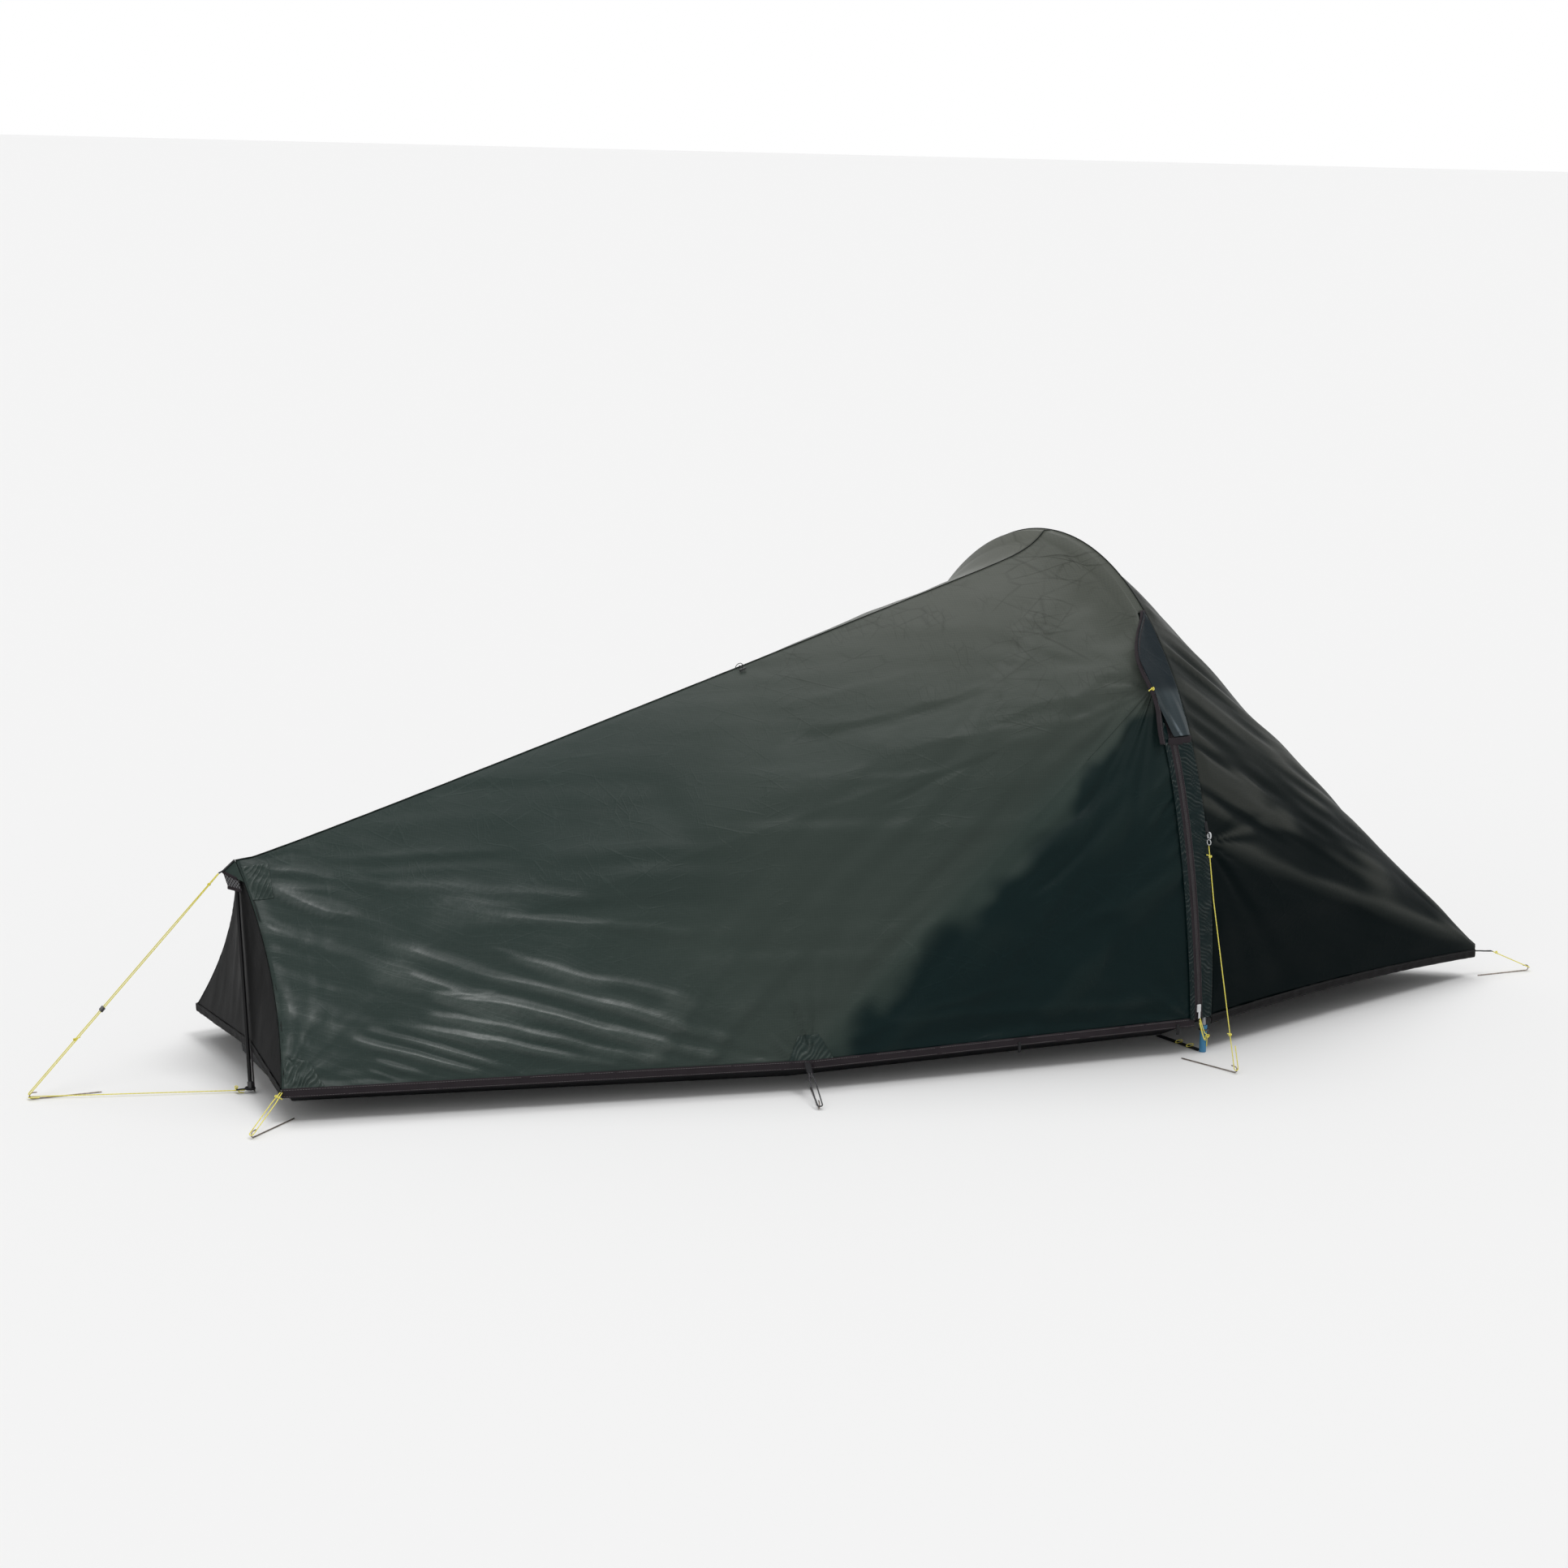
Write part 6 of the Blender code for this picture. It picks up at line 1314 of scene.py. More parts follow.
leaf_rows = []
for h in steps(0.637, VENT_TOP - SEAM_GAP, 120):
    back = leaf_back(h) if h > 0.70 else lerp(0.050, leaf_back(0.70), ((h - 0.637) / 0.063) ** 0.8)
    leaf_rows.append([hoop_at(NEAR, h, 0, -lerp(back - 0.0010, 0.002, part)) for part in evenly(30)])
leaf = Panel([leaf_rows], Vector((HOOP_X, 0, 0.6)))
lu, lv = leaf.on(hoop_at(NEAR, ZIP_TOP), HOOP_AHEAD, UP)
share = np.zeros(len(leaf.points))
share[leaf.own[0]] = np.array(evenly(30))[None, :]
rise = np.zeros(len(leaf.points))
rise[leaf.own[0]] = np.array(evenly(120))[:, None]
gather = np.abs(pattern(81, share * 7 + lv / 0.08, rise * 2.5)) * 0.0055 * fade(-rise, -0.45, -0.20)
hollow = -0.0030 * np.sin(math.pi * share) * fade(rise, 0.45, 0.70) * fade(-rise, -0.99, -0.88)
bulge = 0.0045 * np.sin(math.pi * share) * fade(-rise, -0.45, -0.25)
lip = 0.0022 + (1 - share) * np.array([leaf_lift(float(z)) for z in leaf.points[:, 2]])
leaf.push(lip + gather * np.sin(math.pi * np.clip(share, 0.03, 0.97)) ** 0.5 + hollow + bulge
          + pattern(82, share * 3, rise * 9) * 0.0010)
# Pale stripes over the gathered folds low on the leaf are a painted highlight; its upper part is mixed
# darker.
stripes = fade(pattern(83, share * 5 + rise * 6.0, rise * 1.5), -0.10, 0.20)
leaf_area = leaf.area()
leaf_painted_light = fade(-rise, -0.44, -0.30) * fade(share, 0.20, 0.40) * (0.10 + 0.90 * stripes)
leaf_gloss = 0.35 * fade(-rise, -0.42, -0.30) * stripes
leaf_piece = leaf.finished("vent_gusset_cloth", VENT_CLOTH, np.stack([lu, lv], 1), slot="vent_mesh",
                           shade=fade(rise, 0.34, 0.42), through=leaf_painted_light, gloss=leaf_gloss)
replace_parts(leaf_piece, "vent_gusset")
rear_edge = []
for h in steps(0.628, VENT_TOP + 0.004, 60):
    spot = hoop_at(NEAR, h, 0, -leaf_back(h)) + OUT * (leaf_lift(h) + 0.0022)
    rear_edge.append((spot - HOOP_AHEAD * 0.0095, spot + HOOP_AHEAD * 0.0045))
ribbon("vent_edge_tape", rear_edge, TAPE_FINISH, 0.0011, "tent", 4, 0.004, 0.0006, 83)
rods("vent_edge_stitches", [[a + (b - a) * 0.75 + OUT * 0.0010 for a, b in rear_edge]], THREAD,
     0.0034, 0.0022, 0.00022)
knot("vent_cord_knot", hoop_at(NEAR, 0.733, 0, -0.074) + OUT * 0.011, (0.3, 0, -1), 0.0090, CORD_R,
     tail=0.016)


# Hem binding and seams: purple-brown tape folded over the fly's lower edge and stitched in a pale
# thread, a felled seam along the ridge, piping where the nose joins the hoop band, and sewn patches
# at the held points.
def hem(name, path, side_out, body="tent", high=0.0030, low=0.0150, seed=90, finish=TAPE_FINISH,
        thread=THREAD):
    """Binding that hangs from a cut edge; side_out points away from the tent."""
    edges, line = [], []
    for spot in path:
        out = side_out(spot) if callable(side_out) else side_out
        edges.append((spot + out * 0.0013 + UP * high, spot + out * 0.0002 - UP * low))
        line.append(spot + out * 0.0021 + UP * (high - 0.0028))
    tape = ribbon(name, edges, finish, 0.0011, body, 6, 0.008, 0.0012, seed)
    lower = [lerp(a, b, 0.86) + (side_out(a) if callable(side_out) else side_out) * 0.0009 for a, b in edges]
    rods(name + "_stitches", [line, lower], thread, 0.0050, 0.0034, 0.00030, False, body)
    return tape


def thinned(row, keep):
    return [Vector(row[round(index)]) for index in steps(0, len(row) - 1, keep)]


near_out, far_out = Vector((-0.11, -0.99, 0)), Vector((-0.1, 0.99, 0))
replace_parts(hem("hem_near_tape", thinned(near_rows[0], 60), near_out), "fly_hem_tape")
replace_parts(hem("hem_far_tape", thinned(far_rows[0], 60)[:-1] + thinned(far_low[0], 40), far_out, seed=91),
            "fly_hem_tape")
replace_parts(hem("hem_door_tape", thinned(door_rows[0], 50), near_out, "door", seed=92), "door_hem_tape")
NOSE_TAPE = woven("nose_tape", (0.0050, 0.0045, 0.0050), 0.7, rib=0.0018, glint=0.15)
for side, label in ((NEAR, "near"), (FAR, "far")):
    edge = [Vector(p) for p in nose_rows(side, 2, 60)[0]]
    way = Vector((0.15, side, 0)).normalized()
    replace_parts(hem("hem_nose_%s_tape" % label, edge, way, seed=93 + side, finish=NOSE_TAPE,
                    thread=DARK_THREAD), "nose_hem_tape")

ridge_line = [(Vector(near_spot) + Vector(far_spot)) / 2 for near_spot, far_spot in
              zip(thinned(near_rows[-1], 120), thinned(far_rows[-1], 120))]
ridge_line += [hoop_point(NEAR, math.pi / 2, 0, -0.010), hoop_point(NEAR, math.pi / 2, 0, 0)]
seam_edges = [(spot + Vector((0, -0.0016, 0.0003)), spot + Vector((0, 0.0014, 0.0003)))
              for spot in ridge_line]
SEAM_CLOTH = woven("seam_cloth", (0.0085, 0.0120, 0.0108), 0.5, rib=0.0022, lift=0.0001, glint=0.2)
ribbon("ridge_seam", seam_edges, SEAM_CLOTH, 0.0012, "tent", 4, 0.010, 0.0004, 95)
rods("ridge_seam_stitches", [[a * 0.7 + b * 0.3 + UP * 0.0009 for a, b in seam_edges]], DARK_THREAD,
     0.0042, 0.0028, 0.00025)
piping = []
for angle in steps(hoop_angle(HOOP_HEM - 0.004), math.pi - hoop_angle(HOOP_HEM - 0.004), 240):
    side, part = (NEAR, angle) if angle <= math.pi / 2 else (FAR, math.pi - angle)
    piping.append(hoop_point(side, part, -0.0004, 0.0003))
make_tube("front_seam_piping", piping, 0.0011, SEAM_CLOTH, sides=8, spacing=0.006)
nose_seam = [(Vector(a) + Vector(b)) / 2 + UP * 0.0006
             for a, b in zip(nose_rows(NEAR, 2, 60)[-1], nose_rows(FAR, 2, 60)[-1])]
ribbon("nose_ridge_seam", banded(nose_seam, Vector((0, 0.004, 0))), SEAM_CLOTH,
       0.0012, "tent", 4, 0.010, 0.0003, 96)


def patch(name, outline, panel, sheet_normal, seed, rows=56, columns=56, lift=0.0012, pucker=0.0016,
          dark=0.16):
    """A second layer of fly cloth over a held corner of the sheet, puckered inside its seam."""
    tree = kdtree.KDTree(len(panel.points))
    for index, spot in enumerate(panel.points):
        tree.insert(spot, index)
    tree.balance()
    normals = panel.normals()
    grid = []
    for down in evenly(rows):
        left, right = lerp(outline[0], outline[3], down), lerp(outline[1], outline[2], down)
        grid.append([lerp(left, right, across) for across in evenly(columns)])
    made = Panel([grid], np.array(grid[0][0]) - sheet_normal * 0.3)
    laid = []
    for spot in made.points:
        near_by = tree.find_n(spot, 6)
        weights = np.array([1 / (found[2] + 0.002) ** 2 for found in near_by])
        offsets = [(Vector(panel.points[found[1]]) - Vector(spot)).dot(Vector(normals[found[1]]))
                   for found in near_by]
        normal = sum((normals[found[1]] * w for found, w in zip(near_by, weights)),
                     np.zeros(3)) / weights.sum()
        laid.append(spot + normal * (float(np.dot(offsets, weights)) / weights.sum() + lift))
    made.points = np.array(laid)
    du, dv = made.on(outline[0], hem_along, slope_up)
    inset = fade(made.rim_distance(0.02), 0.0, 0.006)
    turned = math.pi * (du * 0.85 - dv * 0.5) / 0.0085 + 2.2 * pattern(seed, du / 0.02, dv / 0.03)
    puckers = (1 - np.abs(np.sin(turned))) * (0.6 + 0.8 * pattern(seed + 1, du / 0.015, dv / 0.02))
    made.push(inset * puckers * pucker)
    area = made.area()
    # The patch is mixed darker by dark, and less so on its puckers, which show as a painted highlight.
    piece = made.finished(name, FLY_CLOTH, np.stack([du, dv], 1),
                          shade=np.clip(dark * (1 - 1.4 * puckers), 0, 1),
                          gloss=np.clip(0.10 + 0.45 * puckers, 0, 1))
    return piece


def near_spot(along, up):
    """A point of the near sheet's plane from its place on the flat pattern, measured from the middle peg."""
    return Vector(middle + hem_along * along + slope_up * up)


corner_flat = flat_spot(CORNERS[NEAR])
patch("patch_corner", [near_spot(corner_flat[0] + 0.010, 0.068), near_spot(corner_flat[0] + 0.052, 0.060),
                       near_spot(corner_flat[0] + 0.082, 0.002), near_spot(corner_flat[0] + 0.004, 0.002)],
                       near, plane_out, 101, pucker=0.0030)
patch("patch_middle", [near_spot(-0.026, 0.050), near_spot(0.014, 0.052), near_spot(0.044, 0.002),
                       near_spot(-0.048, 0.002)],
      near, plane_out, 103, pucker=0.0012, dark=0.50)
top_edge = [end_edge(NEAR, 0.82), end_edge(NEAR, 0.975)]
patch("patch_strut_top", [top_edge[1] + Vector((0.006, -0.004, 0)),
                          top_edge[1] + Vector((0.058, -0.004, 0.002)),
                          top_edge[0] + Vector((0.044, -0.006, 0.002)),
                          top_edge[0] + Vector((0.004, -0.002, 0))], near, plane_out, 105, pucker=0.0026)
for name, share in (("hem_tab_zip", 0.045), ("hem_tab_middle", 0.47)):
    spot = lerp(Vector(door_rows[0][-1]), Vector(door_rows[0][0]), share)
    half = Vector((0.0030, 0, 0))
    tab = [spot + UP * (-0.006 - drop) + near_out * (0.0022 + bend)
           for drop, bend in ((0, 0), (0.008, 0.0010), (0.016, 0.0022), (0.021, 0.0010))]
    ribbon(name, banded(tab, half), BLACK_WEBBING, 0.0012, "door", 4, 0.003, 0.0002, 107)


# Foot end: a thin carbon strut with plastic caps stands in front of a charcoal end panel, under a
# small hood with a mesh vent; webbing ties the strut's foot to the hem, and a black link carries the
# guy line.
STRUT_TOP = RIDGE_END - UP * 0.014
STRUT_FOOT = Vector((FOOT_X, STRUT_Y, 0.0028))
BEHIND_STRUT = Vector((STRUT_CAP_REACH + 2 * TOUCH_GAP + CLOTH, 0, 0))
END_HEM = 0.093


def strut_line(height):
    return lerp(STRUT_FOOT, STRUT_TOP, (height - STRUT_FOOT.z) / (STRUT_TOP.z - STRUT_FOOT.z))


CARBON = Finish("carbon_strut", 0.38, Specular_IOR_Level=0.10, Coat_Weight=0.10, Coat_Roughness=0.20)
wrap = CARBON.node("TexWave", {"bands_direction": "DIAGONAL"},
                   {"Vector": CARBON.place(), "Scale": 260.0, "Distortion": 1.5})
CARBON.set(Base_Color=CARBON.mix(wrap * 0.5, (0.0050, 0.0050, 0.0055), (0.013, 0.013, 0.014)),
           Normal=CARBON.bump(wrap, 0.00008, 0.4))
paint(CARBON.material, "foot_strut")

END_CLOTH = Finish("end_cloth", 0.62, Specular_IOR_Level=0.06)
weave = END_CLOTH.threads(END_CLOTH.run()[0], 260.0)
cloudy = END_CLOTH.noise(6, 4, 0.6)
rumple = END_CLOTH.noise(22, 4, 0.55, END_CLOTH.place((1, 1, 0.5)))
END_CLOTH.set(Base_Color=END_CLOTH.mix(cloudy * 0.6, (0.0085, 0.0085, 0.0088), (0.0042, 0.0043, 0.0045)),
              Normal=END_CLOTH.bump(weave, 0.00010, 0.5, END_CLOTH.bump(rumple, 0.0022, 0.6)),
              Roughness=END_CLOTH.ramp(cloudy, (0.2, 0.52), (0.8, 0.70)))
end_rows = []
for share in steps(0, 0.90, 70):
    near_edge, far_edge = end_edge(NEAR, share), end_edge(FAR, share)
    centre = strut_line(lerp(END_HEM, RIDGE_END.z, share)) + BEHIND_STRUT
    near_in = lerp(near_edge, centre, 3 * SEAM_GAP / (centre - near_edge).length)
    far_in = lerp(far_edge, centre, 3 * SEAM_GAP / (centre - far_edge).length)
    end_rows.append(bent_line(near_in, centre, far_in, 24, 36))
end = Panel([end_rows], Vector((0, 0, 0.2)))
eu, ev = end.on(Vector((FOOT_X, FOOT_Y, 0.06)), (0, 1, 0), UP)
strut_side = eu - (STRUT_Y - FOOT_Y) * (1 - ev / 0.36)
folds = pattern(111, eu / 0.05 + ev / 0.4, ev / 0.16) * 0.0030
folds += pattern(112, eu / 0.018 + ev / 0.2, ev / 0.10) * 0.0008
folds += fan(eu, ev, (STRUT_TOP.y - FOOT_Y, 0.35), -90, 50, 0.20, 9, 0.0040, 113, 0.03)
end.push(-np.abs(folds) * fade(end.rim_distance(0.05), 0, 0.03) * fade(np.abs(strut_side), 0.002, 0.02))
end_area = end.area()
end_piece = end.finished("foot_end_cloth", END_CLOTH.material, np.stack([eu, ev], 1), slot="end_cloth")
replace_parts(end_piece, "foot_end_panel")
end_hem = thinned(end_rows[0], 40)
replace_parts(hem("hem_end_tape", end_hem, Vector((-1, 0, 0)), low=0.014, seed=114, finish=NOSE_TAPE,
                thread=DARK_THREAD), "fly_hem_tape")
for side, label in ((NEAR, "near"), (FAR, "far")):
    edge = [end_edge(side, share) for share in steps(0.0, 0.985, 40)]
    strip_edges = [(spot + Vector((-0.0008, -side * 0.0045, 0)), spot + Vector((0.0060, side * 0.0012, 0)))
                   for spot in edge]
    ribbon("end_seam_" + label, strip_edges, SEAM_CLOTH, 0.0014, "tent", 4, 0.006, 0.0006,
           115 + side)

hood_back = [point - Vector((TOUCH_GAP, 0, 0))
             for point in (end_edge(NEAR, 0.90), RIDGE_END, end_edge(FAR, 0.90))]
hood_front = [lerp(hood_back[0], HOOD_TIP, 0.30), HOOD_TIP, lerp(hood_back[2], HOOD_TIP, 0.30)]
hood_rows = []
for down in evenly(10):
    line = [lerp(back, front, down) for back, front in zip(hood_back, hood_front)]
    hood_rows.append(bent_line(*line, 14, 14))
hood = Panel([hood_rows], Vector((FOOT_X, FOOT_Y, 0.36)))
hu, hv = hood.on(RIDGE_END, (0, 1, 0), UP)
hood.push(np.abs(pattern(118, hu / 0.012, hv / 0.02)) * 0.0012)
hood_area = hood.area()
hood_piece = hood.finished("foot_hood_cloth", FLY_CLOTH, np.stack([hu, hv], 1))
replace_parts(hood_piece, "foot_hood")

VENT_MESH = Finish("vent_mesh", 0.7)
across, down = VENT_MESH.run()[1:]
lines = [((across + down * way) * (math.pi / 0.0052)).maths("SINE").maths("ABSOLUTE") for way in (0.7, -0.7)]
hatch = lines[0].maths("MINIMUM", lines[1])
pale = hatch.maths("LESS_THAN", 0.30)
VENT_MESH.set(Base_Color=VENT_MESH.mix(pale, (0.008, 0.008, 0.009), (0.16, 0.16, 0.17)),
              Normal=VENT_MESH.bump(hatch, 0.0004, 0.8),
              Roughness=VENT_MESH.ramp(hatch, (0.0, 0.55), (0.5, 0.9)))
vent_top = [point - UP * (CLOTH + 3 * TOUCH_GAP) for point in hood_front]
vent_low = [lerp(vent_top[0], hood_back[0], 0.6) - UP * 0.018, vent_top[1] + Vector((0.010, 0, -0.030)),
            lerp(vent_top[2], hood_back[2], 0.6) - UP * 0.018]
mesh_rows = []
for down in evenly(12):
    line = [lerp(high, low, down) for high, low in zip(vent_top, vent_low)]
    mesh_rows.append(bent_line(*line, 16, 16))
mesh_panel = Panel([mesh_rows], Vector((0, FOOT_Y, 0.40)))
mu, mv = mesh_panel.on(RIDGE_END, (0, 1, 0), UP)
mesh_piece = mesh_panel.finished("foot_vent_netting", VENT_MESH.material, np.stack([mu, mv], 1),
                                 slot="vent_mesh")
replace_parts(mesh_piece, "foot_vent_mesh")
mesh_area = mesh_panel.area()
for label, line, way in (("hood_lip_tape", hood_rows[-1], Vector((-1, 0, 0.2))),
                         ("vent_lip_tape", mesh_rows[-1], Vector((-1, 0, 0)))):
    lip = [(Vector(spot) + way * 0.0012 + UP * 0.0025, Vector(spot) + way * 0.0008 - UP * 0.0035)
           for spot in line[::2]]
    ribbon(label, lip, TAPE_FINISH, 0.0010, "tent", 4, 0.004, 0.0003, 121)

link_half = Vector((0, 0.004, 0))
link = [RIDGE_END + Vector((-0.001, 0, 0)) + LINK_LIFT, HOOD_TIP + LINK_LIFT, LINK_END]
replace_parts(ribbon("foot_guy_link_webbing", banded(link, link_half), BLACK_WEBBING,
                   0.0012, "tent", 4, 0.002, 0.0, 122), "foot_guy_link")
strap_top, strap_foot = strut_line(END_HEM - 0.014) + BEHIND_STRUT, strut_line(0.002) + BEHIND_STRUT
half = Vector((0, 0.006, 0))
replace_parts(ribbon("strut_foot_webbing", banded([strap_top - UP * 0.002, strap_foot], half),
                   TAPE_FINISH, 0.0012, "tent", 5, 0.004, 0.0003, 123), "strut_foot_strap")
collar_at, COLLAR_R = STRUT_FOOT + Vector((-0.001, 0, 0.0055)), 0.0085
collar = oval(collar_at, Vector((COLLAR_R, 0, 0)), Vector((0, COLLAR_R, 0)), steps(0, 2 * math.pi, 20)[:-1])
make_tube("strut_foot_collar", collar, 0.0022, BLACK_WEBBING, closed=True, sides=8)
tail = [STRUT_FOOT + Vector((-0.008 - reach, 0, 0.0050 + lift))
        for reach, lift in ((0, 0), (0.010, 0.0006), (0.020, 0))]
ribbon("strut_foot_loop", banded(tail, Vector((0, 0.0035, 0))), BLACK_WEBBING, 0.0016,
       "tent", 4, 0.002, 0.0, 124)


# Small fittings: the middle tab and the nose webbing that the peg cords go through, the wire-thin loop
# and toggle on the ridge, a white hook over the near guy ring, and the cord loops that tie the base
# strap to the zip.
tab_half = tab_side * 0.006
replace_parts(ribbon("mid_peg_tab_webbing", banded([tab_top, tab_low], tab_half), BLACK_WEBBING,
                   0.0013, "tent", 5, 0.003, 0.0003, 131), "mid_peg_tab")
nose_half = Vector((0, 0.005, 0))
nose_webbing = [NOSE + Vector((-0.016, 0, -0.001)), webbing_end]
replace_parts(ribbon("nose_webbing_weave", banded(nose_webbing, nose_half), BLACK_WEBBING,
                   0.0014, "tent", 5, 0.003, 0.0003, 132), "nose_webbing")
toggle_low, toggle_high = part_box("ridge_toggle")
toggle_middle = (Vector(toggle_low) + Vector(toggle_high)) / 2
loop_low, loop_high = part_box("ridge_loop")
loop_middle = (Vector(loop_low) + Vector(loop_high)) / 2
drop = [lerp(loop_middle + Vector((0, -0.002, -0.001)), toggle_middle, share) + Vector((0, -0.0032, 0.0022))
        * math.sin(math.pi * share)
        for share in evenly(8)]
make_tube("toggle_cord", drop, 0.0011, BLACK_WEBBING, "toggle", sides=8)

hook_turns = steps(math.radians(-60), math.radians(240), 21)
hook = oval(ring_spot + UP * 0.0135, -HOOP_ACROSS * 0.0042, UP * 0.0062, hook_turns)
make_tube("guy_hook_near", hook, 0.0017, SLIDER_PALE.material, sides=10, spacing=0.0015)
hold_half = HOOP_AHEAD * 0.004
hold = [hoop_at(NEAR, RING_HEIGHT + 0.040, 0, 0.0014) + OUT * 0.0008,
        hoop_at(NEAR, RING_HEIGHT + 0.022, 0, 0.001) + OUT * 0.0030,
        ring_spot + UP * 0.018 + OUT * 0.0020]
ribbon("guy_hook_tab", banded(hold, hold_half), BLACK_WEBBING, 0.0012, "tent", 4, 0.003, 0.0,
       133)

zip_foot = zip_point(HOOP_HEM, 0) + OUT * 0.004
cup_near = hoop_point(NEAR, 0, POLE_INSET, POLE_AHEAD)
cup_out = cup_near + OUT * (CUP_RIM + 0.001)
for number, (rise, lift, dip) in enumerate(((0.004, 0.040, 0.012), (-0.002, 0.034, 0.018),
                                            (-0.008, 0.028, 0.014))):
    start, end = zip_foot + UP * rise, cup_out + UP * lift
    loop = [lerp(start, end, share) + (OUT * 0.004 - UP * dip) * math.sin(math.pi * share)
            for share in evenly(14)]
    route = [Vector((spot.x, spot.y, max(spot.z, 0.002))) for spot in loop]
    cord = make_tube("zip_foot_cord_%d" % number, route, CORD_R, YELLOW_CORD)
knot("cup_cord_knot", cup_out + UP * 0.036 + OUT * 0.003, (0.2, 0, 1), 0.0100, CORD_R, tail=0.020)
for number, share in enumerate((0.30, 0.62)):
    near_strap = cup_near + HOOP_ACROSS * (CUP_RIM + TOUCH_GAP) + HOOP_ACROSS * 0.10 * share
    around = oval(near_strap + UP * 0.0038, HOOP_AHEAD * 0.0098, UP * 0.0030, steps(0, 2 * math.pi, 18)[:-1])
    make_tube("base_strap_cord_%d" % number, around, CORD_R, YELLOW_CORD, closed=True)
buckle = oval(cup_near + UP * 0.047, HOOP_AHEAD * 0.0086, HOOP_ACROSS * 0.0086,
              steps(0, 2 * math.pi, 26)[:-1])
make_tube("cup_ring", buckle, 0.0016, PLASTIC.material, closed=True, sides=8)


# Inner tent. A tray floor of dark coated nylon with taped, upstanding walls, and pale breathable walls
# over it with a door on the near side; it hangs on short elastics from the sleeve and both ridge ends.
INNER_CLOTH = Finish("inner_cloth", 0.66)
ribs = INNER_CLOTH.threads(INNER_CLOTH.run()[0], 75.0).maths("POWER", 8.0)
cloudy = INNER_CLOTH.noise(8, 4, 0.6)
tone = INNER_CLOTH.mix(cloudy, (0.30, 0.31, 0.30), (0.23, 0.24, 0.235))
rumple = INNER_CLOTH.bump(INNER_CLOTH.noise(14, 4), 0.004, 0.6)
INNER_CLOTH.set(Base_Color=INNER_CLOTH.mix(ribs * 0.3, tone, (0.40, 0.41, 0.40)),
                Normal=INNER_CLOTH.bump(ribs, 0.0001, 0.5, rumple))
FLOOR_CLOTH = Finish("floor_cloth", 0.45)
wet = FLOOR_CLOTH.noise(12, 4, 0.6)
FLOOR_CLOTH.set(Base_Color=FLOOR_CLOTH.mix(wet * 0.6, (0.018, 0.019, 0.021), (0.032, 0.034, 0.037)),
                Normal=FLOOR_CLOTH.bump(FLOOR_CLOTH.noise(18, 4), 0.003, 0.7),
                Roughness=FLOOR_CLOTH.ramp(wet, (0.2, 0.36), (0.8, 0.55)))
TRAY_HEIGHT, TRAY_LEAN, WALL_FOOT = 0.080, 0.020, 0.0808
INNER_DROP = 0.055
floor_foot = {side: Vector((FOOT_X + 0.058, FOOT_Y + side * 0.175, 0)) for side in (NEAR, FAR)}
floor_mid = {side: Vector((MIDDLES[side].x, MIDDLES[side].y - side * 0.110, 0)) for side in (NEAR, FAR)}
floor_hoop = {side: HOOP_CENTRE + HOOP_ACROSS * side * TRAY_AT_HOOP for side in (NEAR, FAR)}
floor_head = {NEAR: Vector((HOOP_X + 0.440, -0.230, 0)), FAR: Vector((HOOP_X + 0.440, 0.085, 0))}
floor_outline = [floor_foot[NEAR], floor_mid[NEAR], floor_hoop[NEAR], floor_head[NEAR],
                 floor_head[FAR], floor_hoop[FAR], floor_mid[FAR], floor_foot[FAR]]
floor_middle = sum(floor_outline, Vector((0, 0, 0))) / 8


def tray_rim(point, height=TRAY_HEIGHT, lean=TRAY_LEAN):
    return point + (point - floor_middle).normalized() * lean + UP * height


round_floor = []
for start, end_point in zip(floor_outline, floor_outline[1:] + floor_outline[:1]):
    round_floor += [lerp(start, end_point, part) for part in evenly(26)[:-1]]
floor_ring = round_floor + round_floor[:1]
floor_rows = [[lerp(floor_middle, spot, share) * GROUND + UP * 0.0012 for spot in floor_ring]
              for share in [0.0] + steps(0.06, 0.994, 26)]
ground = Panel([floor_rows], floor_middle - UP)
gu, gv = ground.on(floor_middle, (1, 0, 0), (0, 1, 0))
ripples = np.abs(pattern(141, gu / 0.12, gv / 0.09)) * 0.0030
ripples += np.abs(pattern(142, gu / 0.05, gv / 0.05)) * 0.0010
ground.push(ripples * fade(ground.rim_distance(0.05), 0, 0.03)
            * (1 if ground.normals()[:, 2].mean() > 0 else -1))
ground_area = ground.area()
ground_piece = ground.finished("inner_floor_cloth", FLOOR_CLOTH.material, np.stack([gu, gv], 1),
                               slot="floor_cloth")
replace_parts(ground_piece, "inner_groundsheet")
tray_rows = [[tray_rim(spot, TRAY_HEIGHT * share, TRAY_LEAN * share) + UP * 0.0004 for spot in floor_ring]
             for share in evenly(12)]
tray = Panel([tray_rows], floor_middle)
tv = tray.on(floor_middle, (1, 0, 0), UP)[1]
around_run = np.zeros(len(tray.points))
passed = [0.0]
for a, b in zip(round_floor, round_floor[1:]):
    passed.append(passed[-1] + (b - a).length)
around_run[tray.own[0]] = np.array(passed + passed[-1:])[None, :]
tray_share = tv / TRAY_HEIGHT
tray.push(-np.abs(pattern(143, around_run / 0.045, tray_share * 0.8)) * 0.0030
          * np.sin(math.pi * np.clip(tray_share, 0, 1)))
tray_piece = tray.finished("inner_tray_cloth", FLOOR_CLOTH.material, np.stack([around_run, tv], 1),
                           slot="floor_cloth", thickness=0.0009)
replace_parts(tray_piece, "inner_tray_wall")
min(tray.area(), 0.43)
RIDGE_FOOT = Vector((FOOT_X + 0.075, FOOT_Y, 0.340))
RIDGE_HEAD = Vector((HOOP_X + 0.400, -0.125, 0.500))


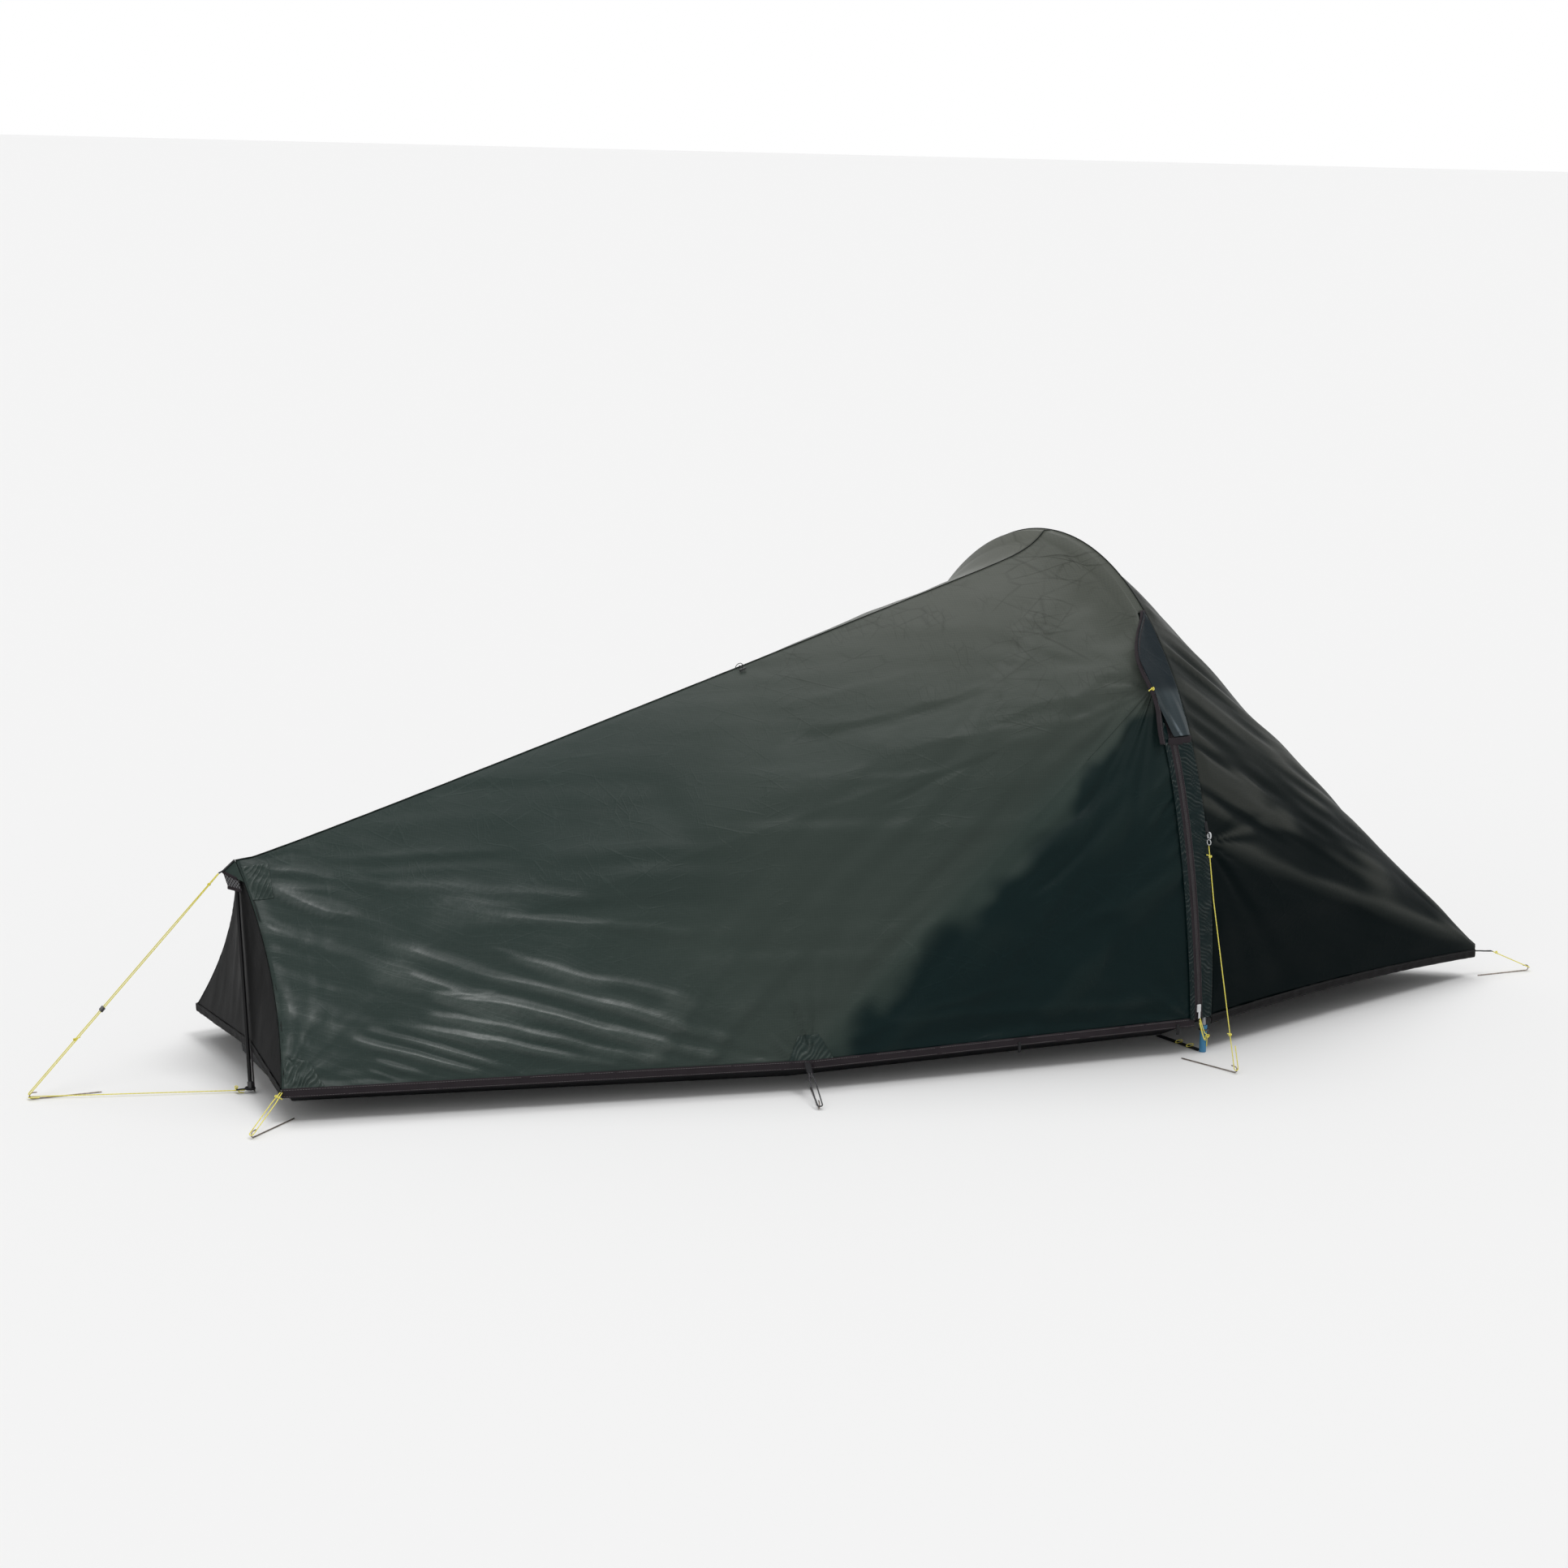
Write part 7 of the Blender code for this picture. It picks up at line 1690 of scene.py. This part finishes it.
def inner_at(side, station, share):
    """A point of an inner wall: station 0 is the foot end, 1 the hoop, 2 the head; share 1 is the ridge."""
    low_foot, low_mid = tray_rim(floor_foot[side], WALL_FOOT), tray_rim(floor_mid[side], WALL_FOOT)
    low_hoop, low_head = tray_rim(floor_hoop[side], WALL_FOOT), tray_rim(floor_head[side], WALL_FOOT)
    arch, crown = hoop_point(side, share * math.pi / 2, INNER_DROP), hoop_point(side, math.pi / 2, INNER_DROP)
    mid_station = (low_mid.x - low_foot.x) / (low_hoop.x - low_foot.x)
    foot_line, head_line = lerp(low_foot, RIDGE_FOOT, share), lerp(low_head, RIDGE_HEAD, share)
    across = (arch - HOOP_CENTRE).dot(HOOP_ACROSS) / ((HOOP_HALF - INNER_DROP) * side)
    reach = (low_hoop - HOOP_CENTRE).dot(HOOP_ACROSS)
    hoop_line = HOOP_CENTRE + HOOP_ACROSS * reach * across + UP * lerp(WALL_FOOT, crown.z, arch.z / crown.z)
    if station > 1:
        return lerp(hoop_line, head_line, station - 1)
    swell = min(station / mid_station, (1 - station) / (1 - mid_station)) * (1 - share)
    return lerp(foot_line, hoop_line, station) + (low_mid - lerp(low_foot, low_hoop, mid_station)) * swell


def inner_rows(side, stations, shares):
    seam = Vector((0, side * SEAM_GAP, 0))
    return [[inner_at(side, station, share) + seam * (share == 1) for station in stations]
            for share in shares]


def inner_end(station, shift, columns, rows):
    """An end wall, from the far wall's edge to the near one's."""
    return [[lerp(inner_at(FAR, station, share), inner_at(NEAR, station, share) + shift, part)
             for part in evenly(columns)] for share in steps(0, 0.99, rows)]


def inner_piece(name, grids, node, flat, seed, body="tent", inside=Vector((0, 0, 0.15)), slack=0.004):
    """One wall of the inner tent, drawn in a little between its seams."""
    wall = Panel(grids, inside)
    wu, wv = wall.on((0, 0, 0.08), (1, 0, 0), UP)
    folds = np.abs(pattern(seed, wu / 0.14 + wv / 0.3, wv / 0.12)) * slack
    folds += np.abs(pattern(seed + 1, wu / 0.05, wv / 0.07)) * slack * 0.3
    wall.push(-folds * fade(wall.rim_distance(0.05), 0, 0.035))
    piece = wall.finished(name, INNER_CLOTH.material, np.stack([wu, wv], 1), body, 0.0005, "inner_cloth")
    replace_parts(piece, node)
    min(wall.area(), flat[0] * flat[1])
    return piece


DOOR_START, DOOR_END, DOOR_LOW, DOOR_HIGH, DOOR_GAP = 0.56, 0.93, 0.04, 0.84, 0.0012
door_range, door_lift = steps(DOOR_START, DOOR_END, 26), steps(DOOR_LOW, DOOR_HIGH, 40)
sill, lintel = steps(0, DOOR_LOW, 4), steps(DOOR_HIGH, 1, 12)
below = inner_rows(NEAR, door_range, sill)
above = inner_rows(NEAR, door_range, lintel)
full_height = sill + door_lift[1:] + lintel[1:]
before = inner_rows(NEAR, steps(0, DOOR_START, 36), full_height)
after = inner_rows(NEAR, steps(DOOR_END, 1, 6) + steps(1, 2, 36)[1:], full_height)
inner_piece("inner_near_wall_cloth", [before, below, above, after], "inner_near_wall", (2.3, 0.85), 151)
leaf_door = inner_rows(NEAR, steps(DOOR_START + DOOR_GAP, DOOR_END - DOOR_GAP, 30),
                       steps(DOOR_LOW + DOOR_GAP, DOOR_HIGH - DOOR_GAP, 44))
inner_piece("inner_door_cloth", [leaf_door], "inner_door", (0.66, 0.80), 153, "inner_door_leaf")
far_wall = inner_rows(FAR, evenly(50) + steps(1, 2, 30)[1:], evenly(50))
head_end = inner_end(2, Vector((SEAM_GAP, 2 * SEAM_GAP, 0)), 24, 40)
foot_end = inner_end(0, Vector((-SEAM_GAP, 2 * SEAM_GAP, 0)), 20, 30)
inner_piece("inner_far_wall_cloth", [far_wall], "inner_far_wall", (2.3, 0.95), 155)
inner_piece("inner_head_cloth", [head_end], "inner_far_wall", (0.46, 0.46), 157,
            inside=Vector((0, -0.1, 0.2)))
inner_piece("inner_foot_cloth", [foot_end], "inner_far_wall", (0.40, 0.30), 159,
            inside=Vector((0, -0.1, 0.2)))

edge = [inner_at(NEAR, DOOR_START, share) for share in door_lift[::-1]]
edge += [inner_at(NEAR, station, DOOR_LOW) for station in door_range[1:]]
edge += [inner_at(NEAR, DOOR_END, share) for share in door_lift[1:]]
top = [inner_at(NEAR, station, DOOR_HIGH) for station in door_range]
for label, line in (("side", edge), ("top", top)):
    tapes = []
    for index, spot in enumerate(line):
        before_spot, after_spot = line[max(0, index - 1)], line[min(len(line) - 1, index + 1)]
        along = (after_spot - before_spot).normalized()
        out = (spot - Vector((spot.x, 0, 0.2))).normalized()
        flat_way = along.cross(out).normalized()
        tapes.append((spot - flat_way * 0.007 + out * 0.0016, spot + flat_way * 0.007 + out * 0.0016))
    ribbon("inner_zip_tape_" + label, tapes, TAPE_FINISH, 0.0010, "tent", 4, 0.008, 0.0003,
           161)
    middles = [(a + b) / 2 for a, b in tapes]
    teeth = [spot + (spot - Vector((spot.x, 0, 0.2))).normalized() * 0.0009 for spot in middles]
    rods("inner_zip_teeth_" + label, [teeth], TEETH, 0.0022, 0.0030, 0.0005, True)
rim_edges = []
for spot in [tray_rim(spot) for spot in floor_ring]:
    out = (spot - floor_middle).normalized()
    rim_edges.append((spot + out * 0.0012 - UP * 0.006, spot + out * 0.0014 + UP * 0.006))
ribbon("inner_tray_seam", rim_edges, BLACK_WEBBING, 0.0008, "tent", 4, 0.012, 0.0004, 163)
paint(GREY_ELASTIC, "inner_hanger_hoop", "inner_hanger_foot", "inner_hanger_head")
